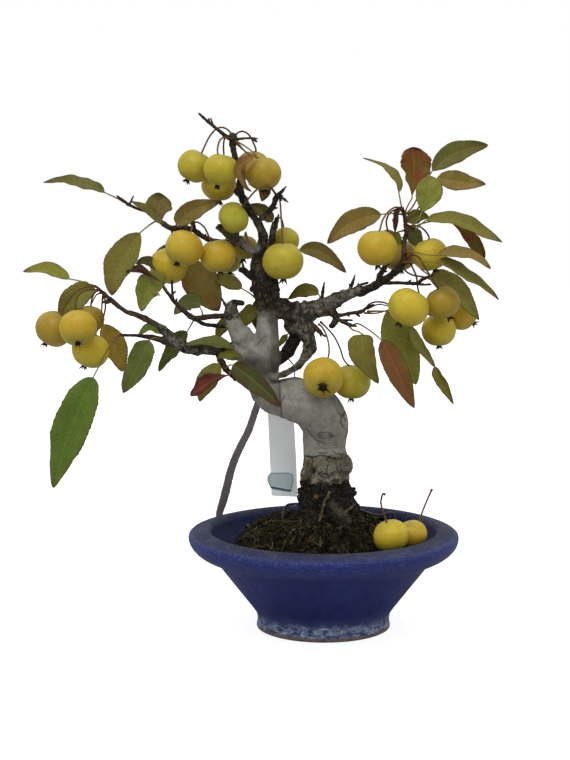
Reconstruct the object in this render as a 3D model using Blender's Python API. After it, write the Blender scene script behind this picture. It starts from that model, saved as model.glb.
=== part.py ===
"""Crabapple bonsai in a glazed round pot, with its label, its guy strap and its fallen fruit.

Units are metres and +Z is up. The origin is the middle of the pot's underside. X runs to the right
and -Y to the front. The tree is laid out on a front elevation: `seen(x, z, near)` takes millimetres
as they read on that elevation, drawn from a point 1.3 m in front of the pot, and brings the point
`near` millimetres forward along its sight line.
"""

import math

import bmesh
import bpy
from mathutils import Matrix, Vector

MM = 0.001
ELEVATION_EYE = Vector((-0.0271, -1.300, 0.350))
GAP = 0.3  # millimetres between touching pieces

# Pot, millimetres
LIP_RADIUS = 95.0
LIP_WIDEST_Z = 64.6
LIP_CREST_Z = 70.2
LIP_INNER_RADIUS = 78.8
FOOT_RADIUS = 46.8
FOOT_HEIGHT = 13.0
FOOT_INNER_RADIUS = 38.0
RECESS_DEPTH = 3.5
LAND_RADIUS = 15.0
WALL = 5.8
FLOOR_TOP_Z = 10.0
WALL_LOW = (50.0, 15.0)
WALL_HIGH = (77.0, 50.0)
DRAIN_RADIUS = 5.5
DRAIN_CIRCLE = 26.0
NOTCH_WIDTH = 9.0
NOTCH_HEIGHT = 2.4
POT_SEGMENTS = 40

# Soil, millimetres
SOIL_MOUND = [(0.0, 79.0), (9.0, 78.8), (19.0, 78.2), (29.0, 77.0), (38.0, 75.4), (46.0, 73.0), (52.0, 70.4),
              (57.0, 66.6), (62.0, 60.5)]
SOIL_LUMP = 0.7
SOIL_TROUGH_Z = 51.5
SOIL_BOTTOM_Z = FLOOR_TOP_Z + 2.2

# Drainage mesh, millimetres
MESH_HALF = 25.8
MESH_THICK = 1.2
MESH_CELLS = 5

# Fruit
FRUIT_SIDES = 9
FRUIT_RINGS = 7
FRUIT_SQUASH = 0.93
STALK_RADIUS = 0.75
CALYX_RADIUS = 1.7
CALYX_LENGTH = 2.2

# Leaves
LEAF_THICK = 0.7
PETIOLE_RADIUS = 0.75
LEAF_STEPS = 2


def clear_scene():
    """Remove every object, mesh and material that the file opened with."""
    for item in list(bpy.data.objects):
        bpy.data.objects.remove(item)
    for mesh in list(bpy.data.meshes):
        bpy.data.meshes.remove(mesh)
    for material in list(bpy.data.materials):
        bpy.data.materials.remove(material)


def seen(x, z, near=0.0):
    """The point, in metres, that the front elevation shows at (x, z), `near` mm towards the eye."""
    on_plane = Vector((x * MM, 0.0, z * MM))
    return on_plane + (ELEVATION_EYE - on_plane) * (near * MM / -ELEVATION_EYE.y)


def make_material(name, color, roughness):
    """A Principled material of a linear colour and a roughness; nothing on this tree is metallic."""
    material = bpy.data.materials.get(name)
    if material:
        return material
    material = bpy.data.materials.new(name)
    material.use_nodes = True
    shader = material.node_tree.nodes["Principled BSDF"]
    shader.inputs["Base Color"].default_value = (*color, 1.0)
    shader.inputs["Roughness"].default_value = roughness
    shader.inputs["Metallic"].default_value = 0.0
    return material


def add_object(name, shape, material=None):
    """Turn a bmesh into a smooth-shaded object of that name."""
    bmesh.ops.recalc_face_normals(shape, faces=shape.faces)
    mesh = bpy.data.meshes.new(name)
    shape.to_mesh(mesh)
    shape.free()
    item = bpy.data.objects.new(name, mesh)
    bpy.context.collection.objects.link(item)
    if material:
        mesh.materials.append(material)
    return item


def finish_shading(item, degrees=45.0):
    """Shade an object smooth except over sharp edges."""
    item.data.shade_smooth()
    item.data.set_sharp_from_angle(angle=math.radians(degrees))


def combine(target, operands, operation):
    """Join operands to a target, or cut them from it, and keep only the result."""
    for operand in operands:
        step = target.modifiers.new("join", "BOOLEAN")
        step.operation = operation
        step.solver = "EXACT"
        step.object = operand
    bpy.context.view_layer.update()
    evaluated = target.evaluated_get(bpy.context.evaluated_depsgraph_get())
    result = bpy.data.meshes.new_from_object(evaluated)
    target.modifiers.clear()
    result.name = target.name
    material = target.data.materials[0] if target.data.materials else None
    target.data = result
    target.data.materials.clear()
    if material:
        target.data.materials.append(material)
    return target


def keep_largest(item):
    """Drop the offcuts that a cut leaves, and keep the largest piece."""
    shape = bmesh.new()
    shape.from_mesh(item.data)
    left = set(shape.verts)
    pieces = []
    while left:
        piece = []
        edge_of_search = [left.pop()]
        while edge_of_search:
            vert = edge_of_search.pop()
            piece.append(vert)
            for edge in vert.link_edges:
                other = edge.other_vert(vert)
                if other in left:
                    left.remove(other)
                    edge_of_search.append(other)
        pieces.append(piece)
    pieces.sort(key=len)
    offcuts = [vert for piece in pieces[:-1] for vert in piece]
    bmesh.ops.delete(shape, geom=offcuts, context="VERTS")
    shape.to_mesh(item.data)
    shape.free()


def discard(items):
    """Remove construction shapes once they are used."""
    for item in items:
        bpy.data.objects.remove(item)


def smooth_route(points, steps):
    """Catmull-Rom points through a route of equal-length tuples, `steps` to a stretch."""
    count = len(points)
    if steps < 2 or count < 3:
        return [tuple(point) for point in points]
    route = []
    for index in range(count - 1):
        before = points[max(index - 1, 0)]
        start = points[index]
        end = points[index + 1]
        after = points[min(index + 2, count - 1)]
        for step in range(steps):
            t = step / steps
            route.append(tuple(
                0.5 * (2 * b + (c - a) * t + (2 * a - 5 * b + 4 * c - d) * t * t
                       + (3 * b - a - 3 * c + d) * t ** 3)
                for a, b, c, d in zip(before, start, end, after)))
    route.append(tuple(points[-1]))
    return route


def sweep(centres, rings_of):
    """A bmesh skin through a ring of points at each centre, carried along without twist."""
    shape = bmesh.new()
    rings = []
    side = None
    for index, centre in enumerate(centres):
        ahead = centres[min(index + 1, len(centres) - 1)]
        behind = centres[max(index - 1, 0)]
        along = (ahead - behind).normalized()
        if side is None:
            side = along.cross(Vector((0.0, 0.0, 1.0)))
            if side.length < 0.1:
                side = along.cross(Vector((1.0, 0.0, 0.0)))
        side = (side - along * side.dot(along)).normalized()
        up = along.cross(side)
        rings.append([shape.verts.new(centre + side * u + up * v) for u, v in rings_of(index)])
    for first, second in zip(rings, rings[1:]):
        count = len(first)
        for k in range(count):
            shape.faces.new((first[k], first[(k + 1) % count], second[(k + 1) % count], second[k]))
    shape.faces.new(rings[0])
    shape.faces.new(rings[-1])
    return shape


def tube(name, route, sides, grow=0.0, material=None):
    """A round tapering limb. Each point of its route is (x, z, near, radius) in millimetres."""
    centres = [seen(x, z, near) for x, z, near, _ in route]
    radii = [(radius + grow) * MM for _, _, _, radius in route]
    first = (centres[0] - centres[1]).normalized()
    last = (centres[-1] - centres[-2]).normalized()
    centres = [centres[0] + first * (radii[0] * 0.35 + grow * MM), *centres,
               centres[-1] + last * (radii[-1] * 0.35 + grow * MM)]
    radii = [radii[0] * 0.72, *radii, radii[-1] * 0.72]
    turns = [2 * math.pi * k / sides for k in range(sides)]
    shape = sweep(centres, lambda i: [(radii[i] * math.cos(a), radii[i] * math.sin(a)) for a in turns])
    return add_object(name, shape, material)


def ball(name, x, z, near, radius, stretch=(1.0, 1.0, 1.0), grow=0.0):
    """A swelling of the bark: a low ball, stretched along the axes."""
    shape = bmesh.new()
    bmesh.ops.create_icosphere(shape, subdivisions=2, radius=1.0)
    scale = Vector([(radius * s + grow) * MM for s in stretch])
    bmesh.ops.scale(shape, vec=scale, verts=shape.verts)
    bmesh.ops.translate(shape, vec=seen(x, z, near), verts=shape.verts)
    return add_object(name, shape)


# Pot

def wall_radius(z):
    """Outer radius of the flared wall at a height, in millimetres."""
    (r0, z0), (r1, z1) = WALL_LOW, WALL_HIGH
    return r0 + (r1 - r0) * (z - z0) / (z1 - z0)


def inner_radius(z):
    """Inner radius of the pot at a height, in millimetres."""
    return wall_radius(z) - WALL


def pot_profile():
    """The pot's turned outline from the foot's inner edge, up the outside and down the inside."""
    outside = [
        (FOOT_INNER_RADIUS, 0.0), (FOOT_RADIUS - 0.6, 0.0), (FOOT_RADIUS + 0.3, 1.0),
        (FOOT_RADIUS - 0.2, 5.0), (FOOT_RADIUS + 0.2, FOOT_HEIGHT - 3.0),
        (FOOT_RADIUS + 1.9, FOOT_HEIGHT), WALL_LOW, (wall_radius(32.0), 32.0), WALL_HIGH,
    ]
    lip = [
        (82.0, 51.3), (88.0, 54.2), (92.6, 58.0), (94.7, 61.8), (LIP_RADIUS, LIP_WIDEST_Z),
        (94.2, 66.8), (91.0, 68.5), (86.0, LIP_CREST_Z - 0.5), (82.0, LIP_CREST_Z), (80.0, 69.2),
        (LIP_INNER_RADIUS, 66.8), (77.8, 62.0),
    ]
    inside = [
        (inner_radius(54.0), 54.0), (inner_radius(34.0), 34.0), (inner_radius(16.0) + 0.5, 16.0),
        (40.5, FLOOR_TOP_Z + 1.2), (37.0, FLOOR_TOP_Z), (0.0, FLOOR_TOP_Z),
    ]
    return outside + lip + inside


def foot_profile():
    """The underside from the land in the middle out to the foot ring."""
    return [(0.0, 0.0), (LAND_RADIUS - 0.5, 0.0), (LAND_RADIUS, 0.5),
            (LAND_RADIUS + 1.2, RECESS_DEPTH), (FOOT_INNER_RADIUS - 1.4, RECESS_DEPTH)]


def turned(profile, segments):
    """A solid of revolution about Z from a closed outline that starts and ends on the axis."""
    shape = bmesh.new()
    rings = []
    for radius, z in profile:
        if radius == 0.0:
            rings.append([shape.verts.new((0.0, 0.0, z * MM))])
            continue
        rings.append([shape.verts.new((radius * MM * math.cos(a), radius * MM * math.sin(a), z * MM))
                      for a in (2 * math.pi * k / segments for k in range(segments))])
    for first, second in zip(rings, rings[1:]):
        for k in range(segments):
            after = (k + 1) % segments
            if len(first) == 1:
                shape.faces.new((first[0], second[after], second[k]))
            elif len(second) == 1:
                shape.faces.new((first[k], first[after], second[0]))
            else:
                shape.faces.new((first[k], first[after], second[after], second[k]))
    return shape


def drain_cutters(radius, low, high):
    """Upright round cutters, one for each drain hole."""
    cutters = []
    for k in range(4):
        turn = math.radians(45.0 + 90.0 * k)
        shape = bmesh.new()
        bmesh.ops.create_cone(shape, cap_ends=True, segments=16, radius1=radius * MM,
                              radius2=radius * MM, depth=(high - low) * MM)
        middle = Vector((DRAIN_CIRCLE * math.cos(turn), DRAIN_CIRCLE * math.sin(turn), (low + high) / 2))
        bmesh.ops.translate(shape, vec=middle * MM, verts=shape.verts)
        cutters.append(add_object(f"drain_cutter_{k}", shape))
    return cutters


def notch_cutters():
    """Blocks that cut the two water notches through the back of the foot ring."""
    cutters = []
    for k, degrees in enumerate((60.0, 120.0)):
        shape = bmesh.new()
        bmesh.ops.create_cube(shape, size=1.0)
        bmesh.ops.scale(shape, vec=Vector((14.0, NOTCH_WIDTH, 2 * NOTCH_HEIGHT)) * MM, verts=shape.verts)
        place = Matrix.Rotation(math.radians(degrees), 4, "Z") @ Matrix.Translation(
            (0.5 * (FOOT_RADIUS + FOOT_INNER_RADIUS) * MM, 0.0, 0.0))
        bmesh.ops.transform(shape, matrix=place, verts=shape.verts)
        cutters.append(add_object(f"notch_cutter_{k}", shape))
    return cutters


def build_pot():
    """The pot: foot ring, flared wall, rolled lip, drain holes and water notches."""
    glaze = make_material("blue_glaze", (0.026, 0.035, 0.125), 0.42)
    pot = add_object("pot", turned(foot_profile() + pot_profile(), POT_SEGMENTS), glaze)
    cutters = drain_cutters(DRAIN_RADIUS, -2.0, FLOOR_TOP_Z + 2.0) + notch_cutters()
    combine(pot, cutters, "DIFFERENCE")
    discard(cutters)
    finish_shading(pot, 35.0)
    return pot


def build_drainage_mesh():
    """The plastic mesh over the drain holes: a square grid of bars, cut from one sheet."""
    plastic = make_material("mesh_plastic", (0.02, 0.02, 0.022), 0.6)
    shape = bmesh.new()
    cells = 2 * MESH_CELLS + 1
    bmesh.ops.create_grid(shape, x_segments=cells, y_segments=cells, size=MESH_HALF * MM)
    pitch = 2 * MESH_HALF / cells
    holes = []
    for face in shape.faces:
        middle = face.calc_center_median() / MM
        column = round((middle.x + MESH_HALF) / pitch - 0.5)
        row = round((middle.y + MESH_HALF) / pitch - 0.5)
        if column % 2 and row % 2:
            holes.append(face)
    bmesh.ops.delete(shape, geom=holes, context="FACES")
    skin = bmesh.ops.extrude_face_region(shape, geom=list(shape.faces))
    raised = [part for part in skin["geom"] if isinstance(part, bmesh.types.BMVert)]
    bmesh.ops.translate(shape, vec=(0.0, 0.0, MESH_THICK * MM), verts=raised)
    bmesh.ops.translate(shape, vec=(0.0, 0.0, (FLOOR_TOP_Z + GAP) * MM), verts=shape.verts)
    return add_object("drainage_mesh", shape, plastic)


# Tree: every route point is (x, z, near, radius) in millimetres

TRUNK = {
    "column": [(3, 60, 0, 15), (3, 72, 0, 18.5), (2, 84, 0, 19.5), (1, 95, 0, 19), (1, 104, 0, 17.8),
               (1.5, 112, 0, 16.8), (1, 120, 0, 16), (0.3, 127, 0, 15.2), (0.5, 134, 0, 15.6),
               (1, 141, 1, 16.3), (0, 148, 3, 16.6)],
    "arch": [(0, 138, 1, 14), (0.5, 144.5, 3, 16.8), (-2.5, 151, 6, 16.8), (-8, 156.5, 8.5, 16.2),
             (-14.5, 159.8, 9, 15.6), (-21, 161.8, 7, 15.4), (-27.5, 162.5, 2.5, 13.9),
             (-34, 162.8, -3.5, 12.2), (-38.5, 163, -6.5, 11)],
    "riser": [(-38, 158, -8, 8), (-38.6, 163.5, -8, 10.9), (-41.5, 171, -8, 11.3), (-42.8, 179, -7, 11.6),
              (-42.8, 187, -5, 12.4), (-42, 194, -3, 12.2), (-40.5, 200, -1, 10), (-39.5, 207, 0, 8.3),
              (-39.3, 215, 0, 7.7), (-39.6, 222, 0, 7.2), (-40, 226.5, 0, 7.0)],
    "leader_foot": [(-40, 220, 0, 5), (-39.5, 229, 0, 8.6), (-39.5, 235, 0, 10.2), (-41.5, 241, 1, 9.2),
                    (-44, 247.5, 2, 6.8), (-45.5, 254, 3, 4.8), (-45, 261, 3, 4.1), (-43, 268, 4, 4.2),
                    (-42.2, 275, 5, 3.6), (-44, 281, 5, 3.3), (-46.8, 286, 6, 3.2)],
    "leader_top": [(-45.5, 284, 6, 2.4), (-50.5, 291, 6, 3.0), (-54, 297, 7, 3.0), (-57, 303, 8, 2.9),
                   (-58, 309, 8, 2.7), (-57.7, 315, 8, 2.4), (-59, 321, 8, 2.2), (-61, 328, 8, 2.3),
                   (-62.3, 335, 8, 2.4), (-63, 341, 8, 2.5), (-62.4, 344.5, 8, 1.6)],
}

LIMBS = {
    "right_limb": [(-36, 229, 0, 6), (-27, 224, 1, 7.5), (-17, 221.5, 3, 7.8), (-8, 224, 5, 7.4),
                   (1, 227, 7, 6.2), (10, 232, 9, 5.3), (20, 236, 11, 3.9), (27, 237.3, 12, 3.6),
                   (33, 240, 13, 3.2), (39, 243.2, 14, 3.1), (46, 248, 16, 2.6), (52.5, 254, 19, 2.7),
                   (55, 261, 20, 2.2), (55, 270, 20, 1.9), (56.4, 278, 20, 1.7), (55.6, 286, 20, 1.6),
                   (54.4, 293, 20, 1.4)],
    "front_limb": [(-37, 178, 2, 2.2), (-34, 177.5, 8, 2.4), (-28, 179.5, 12, 2.3), (-21, 182.8, 14, 2.6),
                   (-15.5, 188, 14, 3.2), (-11.5, 194, 12, 4.4), (-10, 201, 9, 5.0), (-12.5, 208, 7, 5.8),
                   (-14, 216, 5, 6.6)],
    "back_limb": [(-36, 186, -6, 4), (-27, 193, -8, 4.6), (-22, 201, -8, 5.0), (-18.5, 209, -6, 5.0),
                  (-17, 217, -2, 5.0)],
    "left_fork": [(-46, 193, 0, 7), (-54, 202.5, 1, 8.0), (-60.5, 211, 3, 6.6), (-63.5, 218.5, 5, 5.6),
                  (-64.5, 226, 5, 4.6)],
    "left_limb": [(-46, 192, 0, 8), (-60, 195, 1, 6.6), (-70, 197, 2, 5.4), (-80, 197, 4, 4.8),
                  (-88, 197, 6, 4.8), (-95, 197.4, 8, 4.5), (-101, 200.5, 10, 4.2), (-107, 206, 11, 3.7),
                  (-112.5, 211, 12, 3.0), (-118, 214.5, 13, 2.5), (-124, 218, 15, 2.3),
                  (-131, 221, 17, 2.0), (-138, 223.6, 19, 1.8), (-144, 228.4, 21, 1.7),
                  (-150, 233.5, 22, 1.6), (-155.5, 238.4, 23, 1.3)],
    "upper_left": [(-44, 262.5, 3, 2.8), (-52, 266.4, 2, 3.1), (-58, 270.5, -2, 3.2), (-66, 270.5, -11, 2.5),
                   (-75, 271.5, -14, 2.1), (-84, 275, -12, 2.0), (-90, 279.5, -7, 2.0), (-97, 280.8, -3, 2.1),
                   (-105, 280.6, 1, 2.1), (-110.5, 283.4, 3, 1.9), (-116, 288, 5, 1.5), (-122, 291.6, 7, 1.2),
                   (-130, 294.6, 9, 1.2), (-136, 297.4, 11, 1.4)],
    "middle_twig": [(-62, 220.5, 5, 2.6), (-71, 220, 7, 2.0), (-80, 219.4, 9, 2.0), (-89, 218.3, 11, 2.1),
                    (-93.5, 220.4, 12, 2.0), (-98, 224, 13, 1.7), (-103, 229, 15, 1.5), (-106.5, 233.5, 17, 1.4),
                    (-110.5, 239, 18, 1.1)],
    "under_twig": [(-60, 213.6, 5, 2.0), (-68, 213, 6, 1.6), (-76, 213.2, 7, 1.5), (-83, 214.2, 9, 1.5),
                   (-89.5, 217.4, 11, 1.2)],
    "lower_left_twig": [(-98, 199, 9, 3.0), (-107, 201.4, 11, 2.8), (-115, 203.8, 14, 2.3),
                        (-122, 205.2, 18, 1.9), (-130, 206.2, 22, 1.3), (-142, 206.6, 28, 1.1)],
    "leader_side": [(-42, 262, 4, 2.4), (-37.6, 268, 6, 2.6), (-36, 275, 7, 2.6), (-34.6, 281.5, 7, 2.4),
                    (-32.4, 287.5, 7, 1.6)],
    "upper_right": [(-46, 285, 6, 2.2), (-42, 288.5, 6, 2.1), (-38, 292, 7, 2.1), (-35, 296.4, 8, 2.0),
                    (-33, 302, 9, 2.0), (-30, 305, 10, 1.5), (-27.5, 307.8, 11, 0.9)],
    "upper_right_bud": [(-33, 301.6, 9, 0.9), (-29.6, 301.6, 12, 0.8), (-26.6, 299.6, 14, 1.1)],
    "top_twig": [(-62.3, 340.5, 8, 1.9), (-66.5, 343, 10, 1.5), (-73, 347.8, 12, 1.2), (-79, 352.6, 14, 1.1),
                 (-84, 357.0, 16, 0.9)],
    "top_twig_bud": [(-76.4, 350.6, 13, 1.1), (-77.2, 353.6, 13, 0.8)],
    "top_right_twig": [(-62, 340.8, 8, 1.5), (-57, 341.7, 6, 0.9), (-51, 342, 4, 0.9), (-47.6, 341.8, 3, 0.9)],
    "fork_hook": [(-65, 227, 5, 3.4), (-61, 229.2, 6, 2.4), (-55.8, 228.6, 7, 2.0)],
    "fork_thorn": [(-66.5, 224, 5, 1.6), (-69.6, 229.6, 5, 0.9)],
    "leader_spur": [(-47, 246, 2, 3.0), (-52, 248.6, 4, 2.7), (-56.4, 252, 6, 2.4), (-58.6, 251.6, 7, 1.7)],
    "leader_thorn": [(-55.4, 252, 6, 1.2), (-56.2, 256.2, 7, 0.8)],
    "upper_spur": [(-89.5, 279, -6, 1.6), (-90.4, 282.6, -4, 1.9), (-91, 287.4, -3, 0.9)],
    "upper_bud": [(-81.5, 272.6, -13, 1.3), (-81.6, 274.6, -12, 1.1)],
    "tip_bud_a": [(-135, 297, 11, 1.0), (-137.6, 299, 12, 1.1), (-140.4, 301.2, 13, 0.8)],
    "tip_bud_b": [(-134, 296.6, 11, 0.9), (-132, 300.8, 11, 0.8)],
    "limb_thorn": [(-148, 231.8, 22, 1.0), (-151.2, 230.2, 23, 0.8)],
    "limb_side": [(-142, 225.4, 20, 1.1), (-147, 229.4, 24, 0.9), (-149.6, 229, 26, 0.8)],
    "limb_stub": [(-104.4, 231, 16, 1.1), (-105, 236, 16, 0.9), (-105.2, 241.6, 16, 0.9)],
    "leaf_spur": [(-74, 195, 3, 2.2), (-72, 189.6, 7, 2.4), (-69, 184, 9, 2.3), (-65.6, 179.6, 9, 1.6),
                  (-63.4, 176.8, 9, 1.0)],
    "right_spur_a": [(-1.6, 230, 7, 1.4), (-1.2, 235, 8, 1.2), (-0.3, 240.6, 9, 1.0)],
    "right_spur_b": [(17.4, 237.4, 11, 1.6), (19, 241.4, 12, 1.3), (20.6, 246.4, 12, 0.8)],
    "right_spur_c": [(21, 239, 11, 1.3), (25, 241.4, 13, 1.1), (27.4, 242.2, 14, 1.1)],
    "right_spur_d": [(37, 243, 14, 2.0), (38.8, 248.6, 15, 2.0), (41, 252.8, 15, 1.8), (42.2, 254, 15, 1.6)],
    "right_twig": [(40, 242.8, 14, 1.6), (47, 242.8, 18, 1.3), (56, 242.7, 22, 1.2), (64, 242.6, 25, 1.3),
                   (68, 245.4, 27, 1.3), (73, 247.4, 28, 1.0)],
    "right_twig_end": [(62, 242.4, 24, 1.0), (67, 241.6, 26, 0.8), (71, 241.7, 27, 0.8)],
    "low_spur": [(2, 225, 7, 4.2), (7, 221, 9, 3.2), (8, 217, 10, 2.4), (5.8, 213.4, 11, 2.6),
                 (3.8, 212.8, 11, 1.8)],
    "low_twig_a": [(7, 219.8, 9, 1.8), (14, 220.8, 12, 1.4), (20, 222, 14, 1.4), (26, 223, 16, 1.5),
                   (29.4, 225.6, 17, 1.0), (32, 226.8, 18, 0.8)],
    "low_twig_b": [(8, 218, 10, 1.6), (13, 216, 13, 1.5), (17.5, 213.8, 16, 1.4), (20.5, 213, 18, 0.9)],
    "low_thorn": [(12, 217, 12, 1.0), (17, 217, 12, 0.8)],
    "mass_thorn": [(-7, 213, 9, 2.2), (-3.6, 209.6, 11, 1.7), (-1.4, 207.6, 12, 1.2)],
    "root_right": [(8, 90, 4, 9), (17, 82, 6, 7), (24, 75, 8, 5), (31, 66, 10, 3.5)],
    "root_front": [(4, 88, 10, 8), (9, 79, 18, 7), (15, 71, 26, 5), (22, 62, 33, 3.5)],
    "root_left": [(-5, 86, 2, 9), (-10, 77, 5, 8), (-17, 68, 11, 4), (-23, 62, 16, 3)],
    "root_front_left": [(-2, 84, 8, 9), (-6, 75, 13, 8), (-11, 67, 22, 4), (-17, 61, 30, 3)],
    "root_back": [(2, 88, -8, 8), (3, 78, -18, 7), (4, 69, -28, 4.5), (5, 61, -36, 3)],
    "root_back_left": [(-6, 86, -6, 8), (-14, 76, -16, 6), (-22, 66, -24, 4), (-28, 60, -28, 3)],
}

# Swellings of the bark: (x, z, near, radius, stretch along X, Y, Z)
SWELLINGS = {
    "graft_right": (12, 115, 5, 9.0, (1.0, 1.1, 1.05)),
    "graft_front": (1, 114, 10, 8.5, (1.2, 1.0, 1.15)),
    "graft_low": (6, 105.5, 9, 9.0, (1.3, 1.0, 0.7)),
    "graft_left": (-8, 108, 6, 8.5, (1.0, 1.0, 1.0)),
    "graft_back": (3, 112, -8, 10.0, (1.2, 1.0, 1.1)),
    "burl_right": (17, 95.5, 3, 6.5, (1.0, 1.1, 0.8)),
    "burl_nub": (22.4, 95.2, 4, 2.0, (1.0, 1.0, 1.0)),
    "burl_left": (-13, 93, 2, 6.8, (1.0, 1.1, 1.3)),
    "root_burl": (16, 84, 8, 9.0, (1.1, 1.0, 1.0)),
    "upper_knot": (-59.5, 272, 3, 4.2, (1.1, 1.0, 1.0)),
    "leader_knot": (-60, 305.4, 8, 2.4, (1.0, 1.0, 1.2)),
    "limb_knot": (13.6, 236, 10, 3.0, (1.1, 1.0, 0.9)),
    "crown_knot": (-62.8, 342.8, 8, 3.0, (1.0, 1.0, 1.1)),
    "mass_low": (-13, 211, 6, 7.4, (1.0, 1.0, 1.0)),
    "mass_left": (-22, 214, 1, 6.4, (1.0, 1.0, 1.1)),
    "fork_knot": (-58, 205, 3, 6.4, (1.0, 1.0, 0.9)),
    "fork_head": (-64.4, 226.4, 5, 4.6, (1.0, 0.9, 0.8)),
}


def tree_shapes(grow):
    """Every limb and swelling of the tree as its own shape, made larger by `grow` mm."""
    shapes = []
    for name, route in TRUNK.items():
        shapes.append(tube(f"shape_{name}", route, 12 if "leader" not in name else 8, grow))
    for name, route in LIMBS.items():
        thickest = max(radius for _, _, _, radius in route)
        sides = 5 if thickest < 2.2 else 6 if thickest < 4.5 else 8
        shapes.append(tube(f"shape_{name}", route, sides, grow))
    for name, (x, z, near, radius, stretch) in SWELLINGS.items():
        shapes.append(ball(f"shape_{name}", x, z, near, radius, stretch, grow))
    return shapes


def build_tree(name, grow=0.0, material=None):
    """The whole tree as one solid: trunk, limbs, twigs and roots grown together."""
    shapes = tree_shapes(grow)
    trunk = combine(shapes[0], shapes[1:], "UNION")
    discard(shapes[1:])
    trunk.name = name
    trunk.data.name = name
    if material:
        trunk.data.materials.append(material)
    return trunk


# Soil and what is bedded in it

def soil_lump(radius, turn):
    """Unevenness of the soil's surface, in millimetres, at a radius and a turn about the trunk."""
    share = min(radius / SOIL_MOUND[-1][0], 1.0)
    waves = math.sin(3 * turn + 0.15 * radius) + 0.7 * math.sin(5 * turn - 0.23 * radius + 1.0)
    return SOIL_LUMP * waves * share


def build_soil():
    """The soil: a flat-topped mound about the trunk with a lower trough against the pot's wall."""
    loam = make_material("bonsai_soil", (0.020, 0.016, 0.010), 0.95)
    shape = bmesh.new()
    segments = 32
    turns = [2 * math.pi * k / segments for k in range(segments)]

    def ring(radius, height_of):
        return [shape.verts.new(Vector((radius * math.cos(a), radius * math.sin(a), height_of(a))) * MM)
                for a in turns]

    bottom = shape.verts.new(Vector((0.0, 0.0, SOIL_BOTTOM_Z)) * MM)
    rings = [ring(inner_radius(SOIL_BOTTOM_Z + 5.0) - 6.0, lambda a: SOIL_BOTTOM_Z)]
    for z in (SOIL_BOTTOM_Z + 5.0, 30.0, SOIL_TROUGH_Z - 1.5):
        rings.append(ring(inner_radius(z) - 3 * GAP, lambda a, z=z: z))
    rings.append(ring(inner_radius(SOIL_TROUGH_Z) - 4 * GAP, lambda a: SOIL_TROUGH_Z + 0.8 * math.sin(4 * a)))
    rings.append(ring(SOIL_MOUND[-1][0] + 2.0, lambda a: SOIL_TROUGH_Z + 1.6 + math.sin(3 * a)))
    for radius, height in reversed(SOIL_MOUND[1:]):
        rings.append(ring(radius, lambda a, radius=radius, height=height: height + soil_lump(radius, a)))
    top = shape.verts.new(Vector((0.0, 0.0, SOIL_MOUND[0][1])) * MM)
    for k in range(segments):
        after = (k + 1) % segments
        shape.faces.new((bottom, rings[0][after], rings[0][k]))
        shape.faces.new((rings[-1][k], rings[-1][after], top))
        for first, second in zip(rings, rings[1:]):
            shape.faces.new((first[k], first[after], second[after], second[k]))
    return add_object("soil", shape, loam)


WIRE_ROUTE = [(-29.8, 61, 4, 0.9), (-29.2, 72, 3, 0.9), (-28.2, 81, 1, 0.9), (-26.2, 86, -2, 0.9),
              (-21.6, 87.4, -10, 0.9), (-13, 87.4, -19, 0.9), (0, 87, -24, 0.9), (14, 85.4, -22, 0.9),
              (25, 83.2, -13, 0.9), (34, 80, -4, 0.9), (40.4, 79.4, 1, 0.9), (44.8, 81, 3, 0.9),
              (48.4, 80.4, 1, 0.9), (50.4, 74.6, -1, 0.9), (50.8, 64, -2, 0.9), (50.8, 57, -2, 0.9)]


def build_anchor_wire():
    """The wire that ties the root ball down: up out of the soil, round the trunk's back and in again."""
    wire = make_material("wire_coating", (0.02, 0.02, 0.02), 0.5)
    return tube("anchor_wire", smooth_route(WIRE_ROUTE, 2), 6, 0.0, wire)


def wire_cutters():
    """The two holes in the soil that the wire's ends go down into."""
    return [tube("wire_hole_a", WIRE_ROUTE[:3], 8, 3 * GAP), tube("wire_hole_b", WIRE_ROUTE[-3:], 8, 3 * GAP)]


# Strap, label, sticker and tie

STRAP_WIDTH = 4.4
STRAP_THICK = 0.8
STRAP_HANG = [(-41.4, 181, -19.9), (-41.8, 174, -19.8), (-43.2, 167, -19.8), (-45.4, 160.6, -21.4),
              (-48.0, 153, -26), (-52.4, 140, -32), (-57.4, 130, -37), (-62, 120, -42), (-65.4, 110, -47),
              (-67.8, 100, -51.6), (-70.4, 90, -56), (-72.6, 83, -58.8)]
STRAP_TURN = math.radians(141.8)
STRAP_HOOK = [(96.4, 66), (96.6, 61), (94.2, 56.6), (90.6, 54.4), (86.4, 52.5), (82.2, 50.4),
              (78.8, 48.6), (76.4, 46.6)]  # radius and height along the lip's underside
STRAP_ON_TRUNK = seen(-42.3, 175.0, -7.6)


def strap_centres():
    """The strap's middle line: flat down the riser's back, across to the lip and hooked under it."""
    hang = [seen(*point) for point in STRAP_HANG]
    hook = [Vector((radius * math.cos(STRAP_TURN), radius * math.sin(STRAP_TURN), z)) * MM
            for radius, z in STRAP_HOOK]
    return hang + hook


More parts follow.
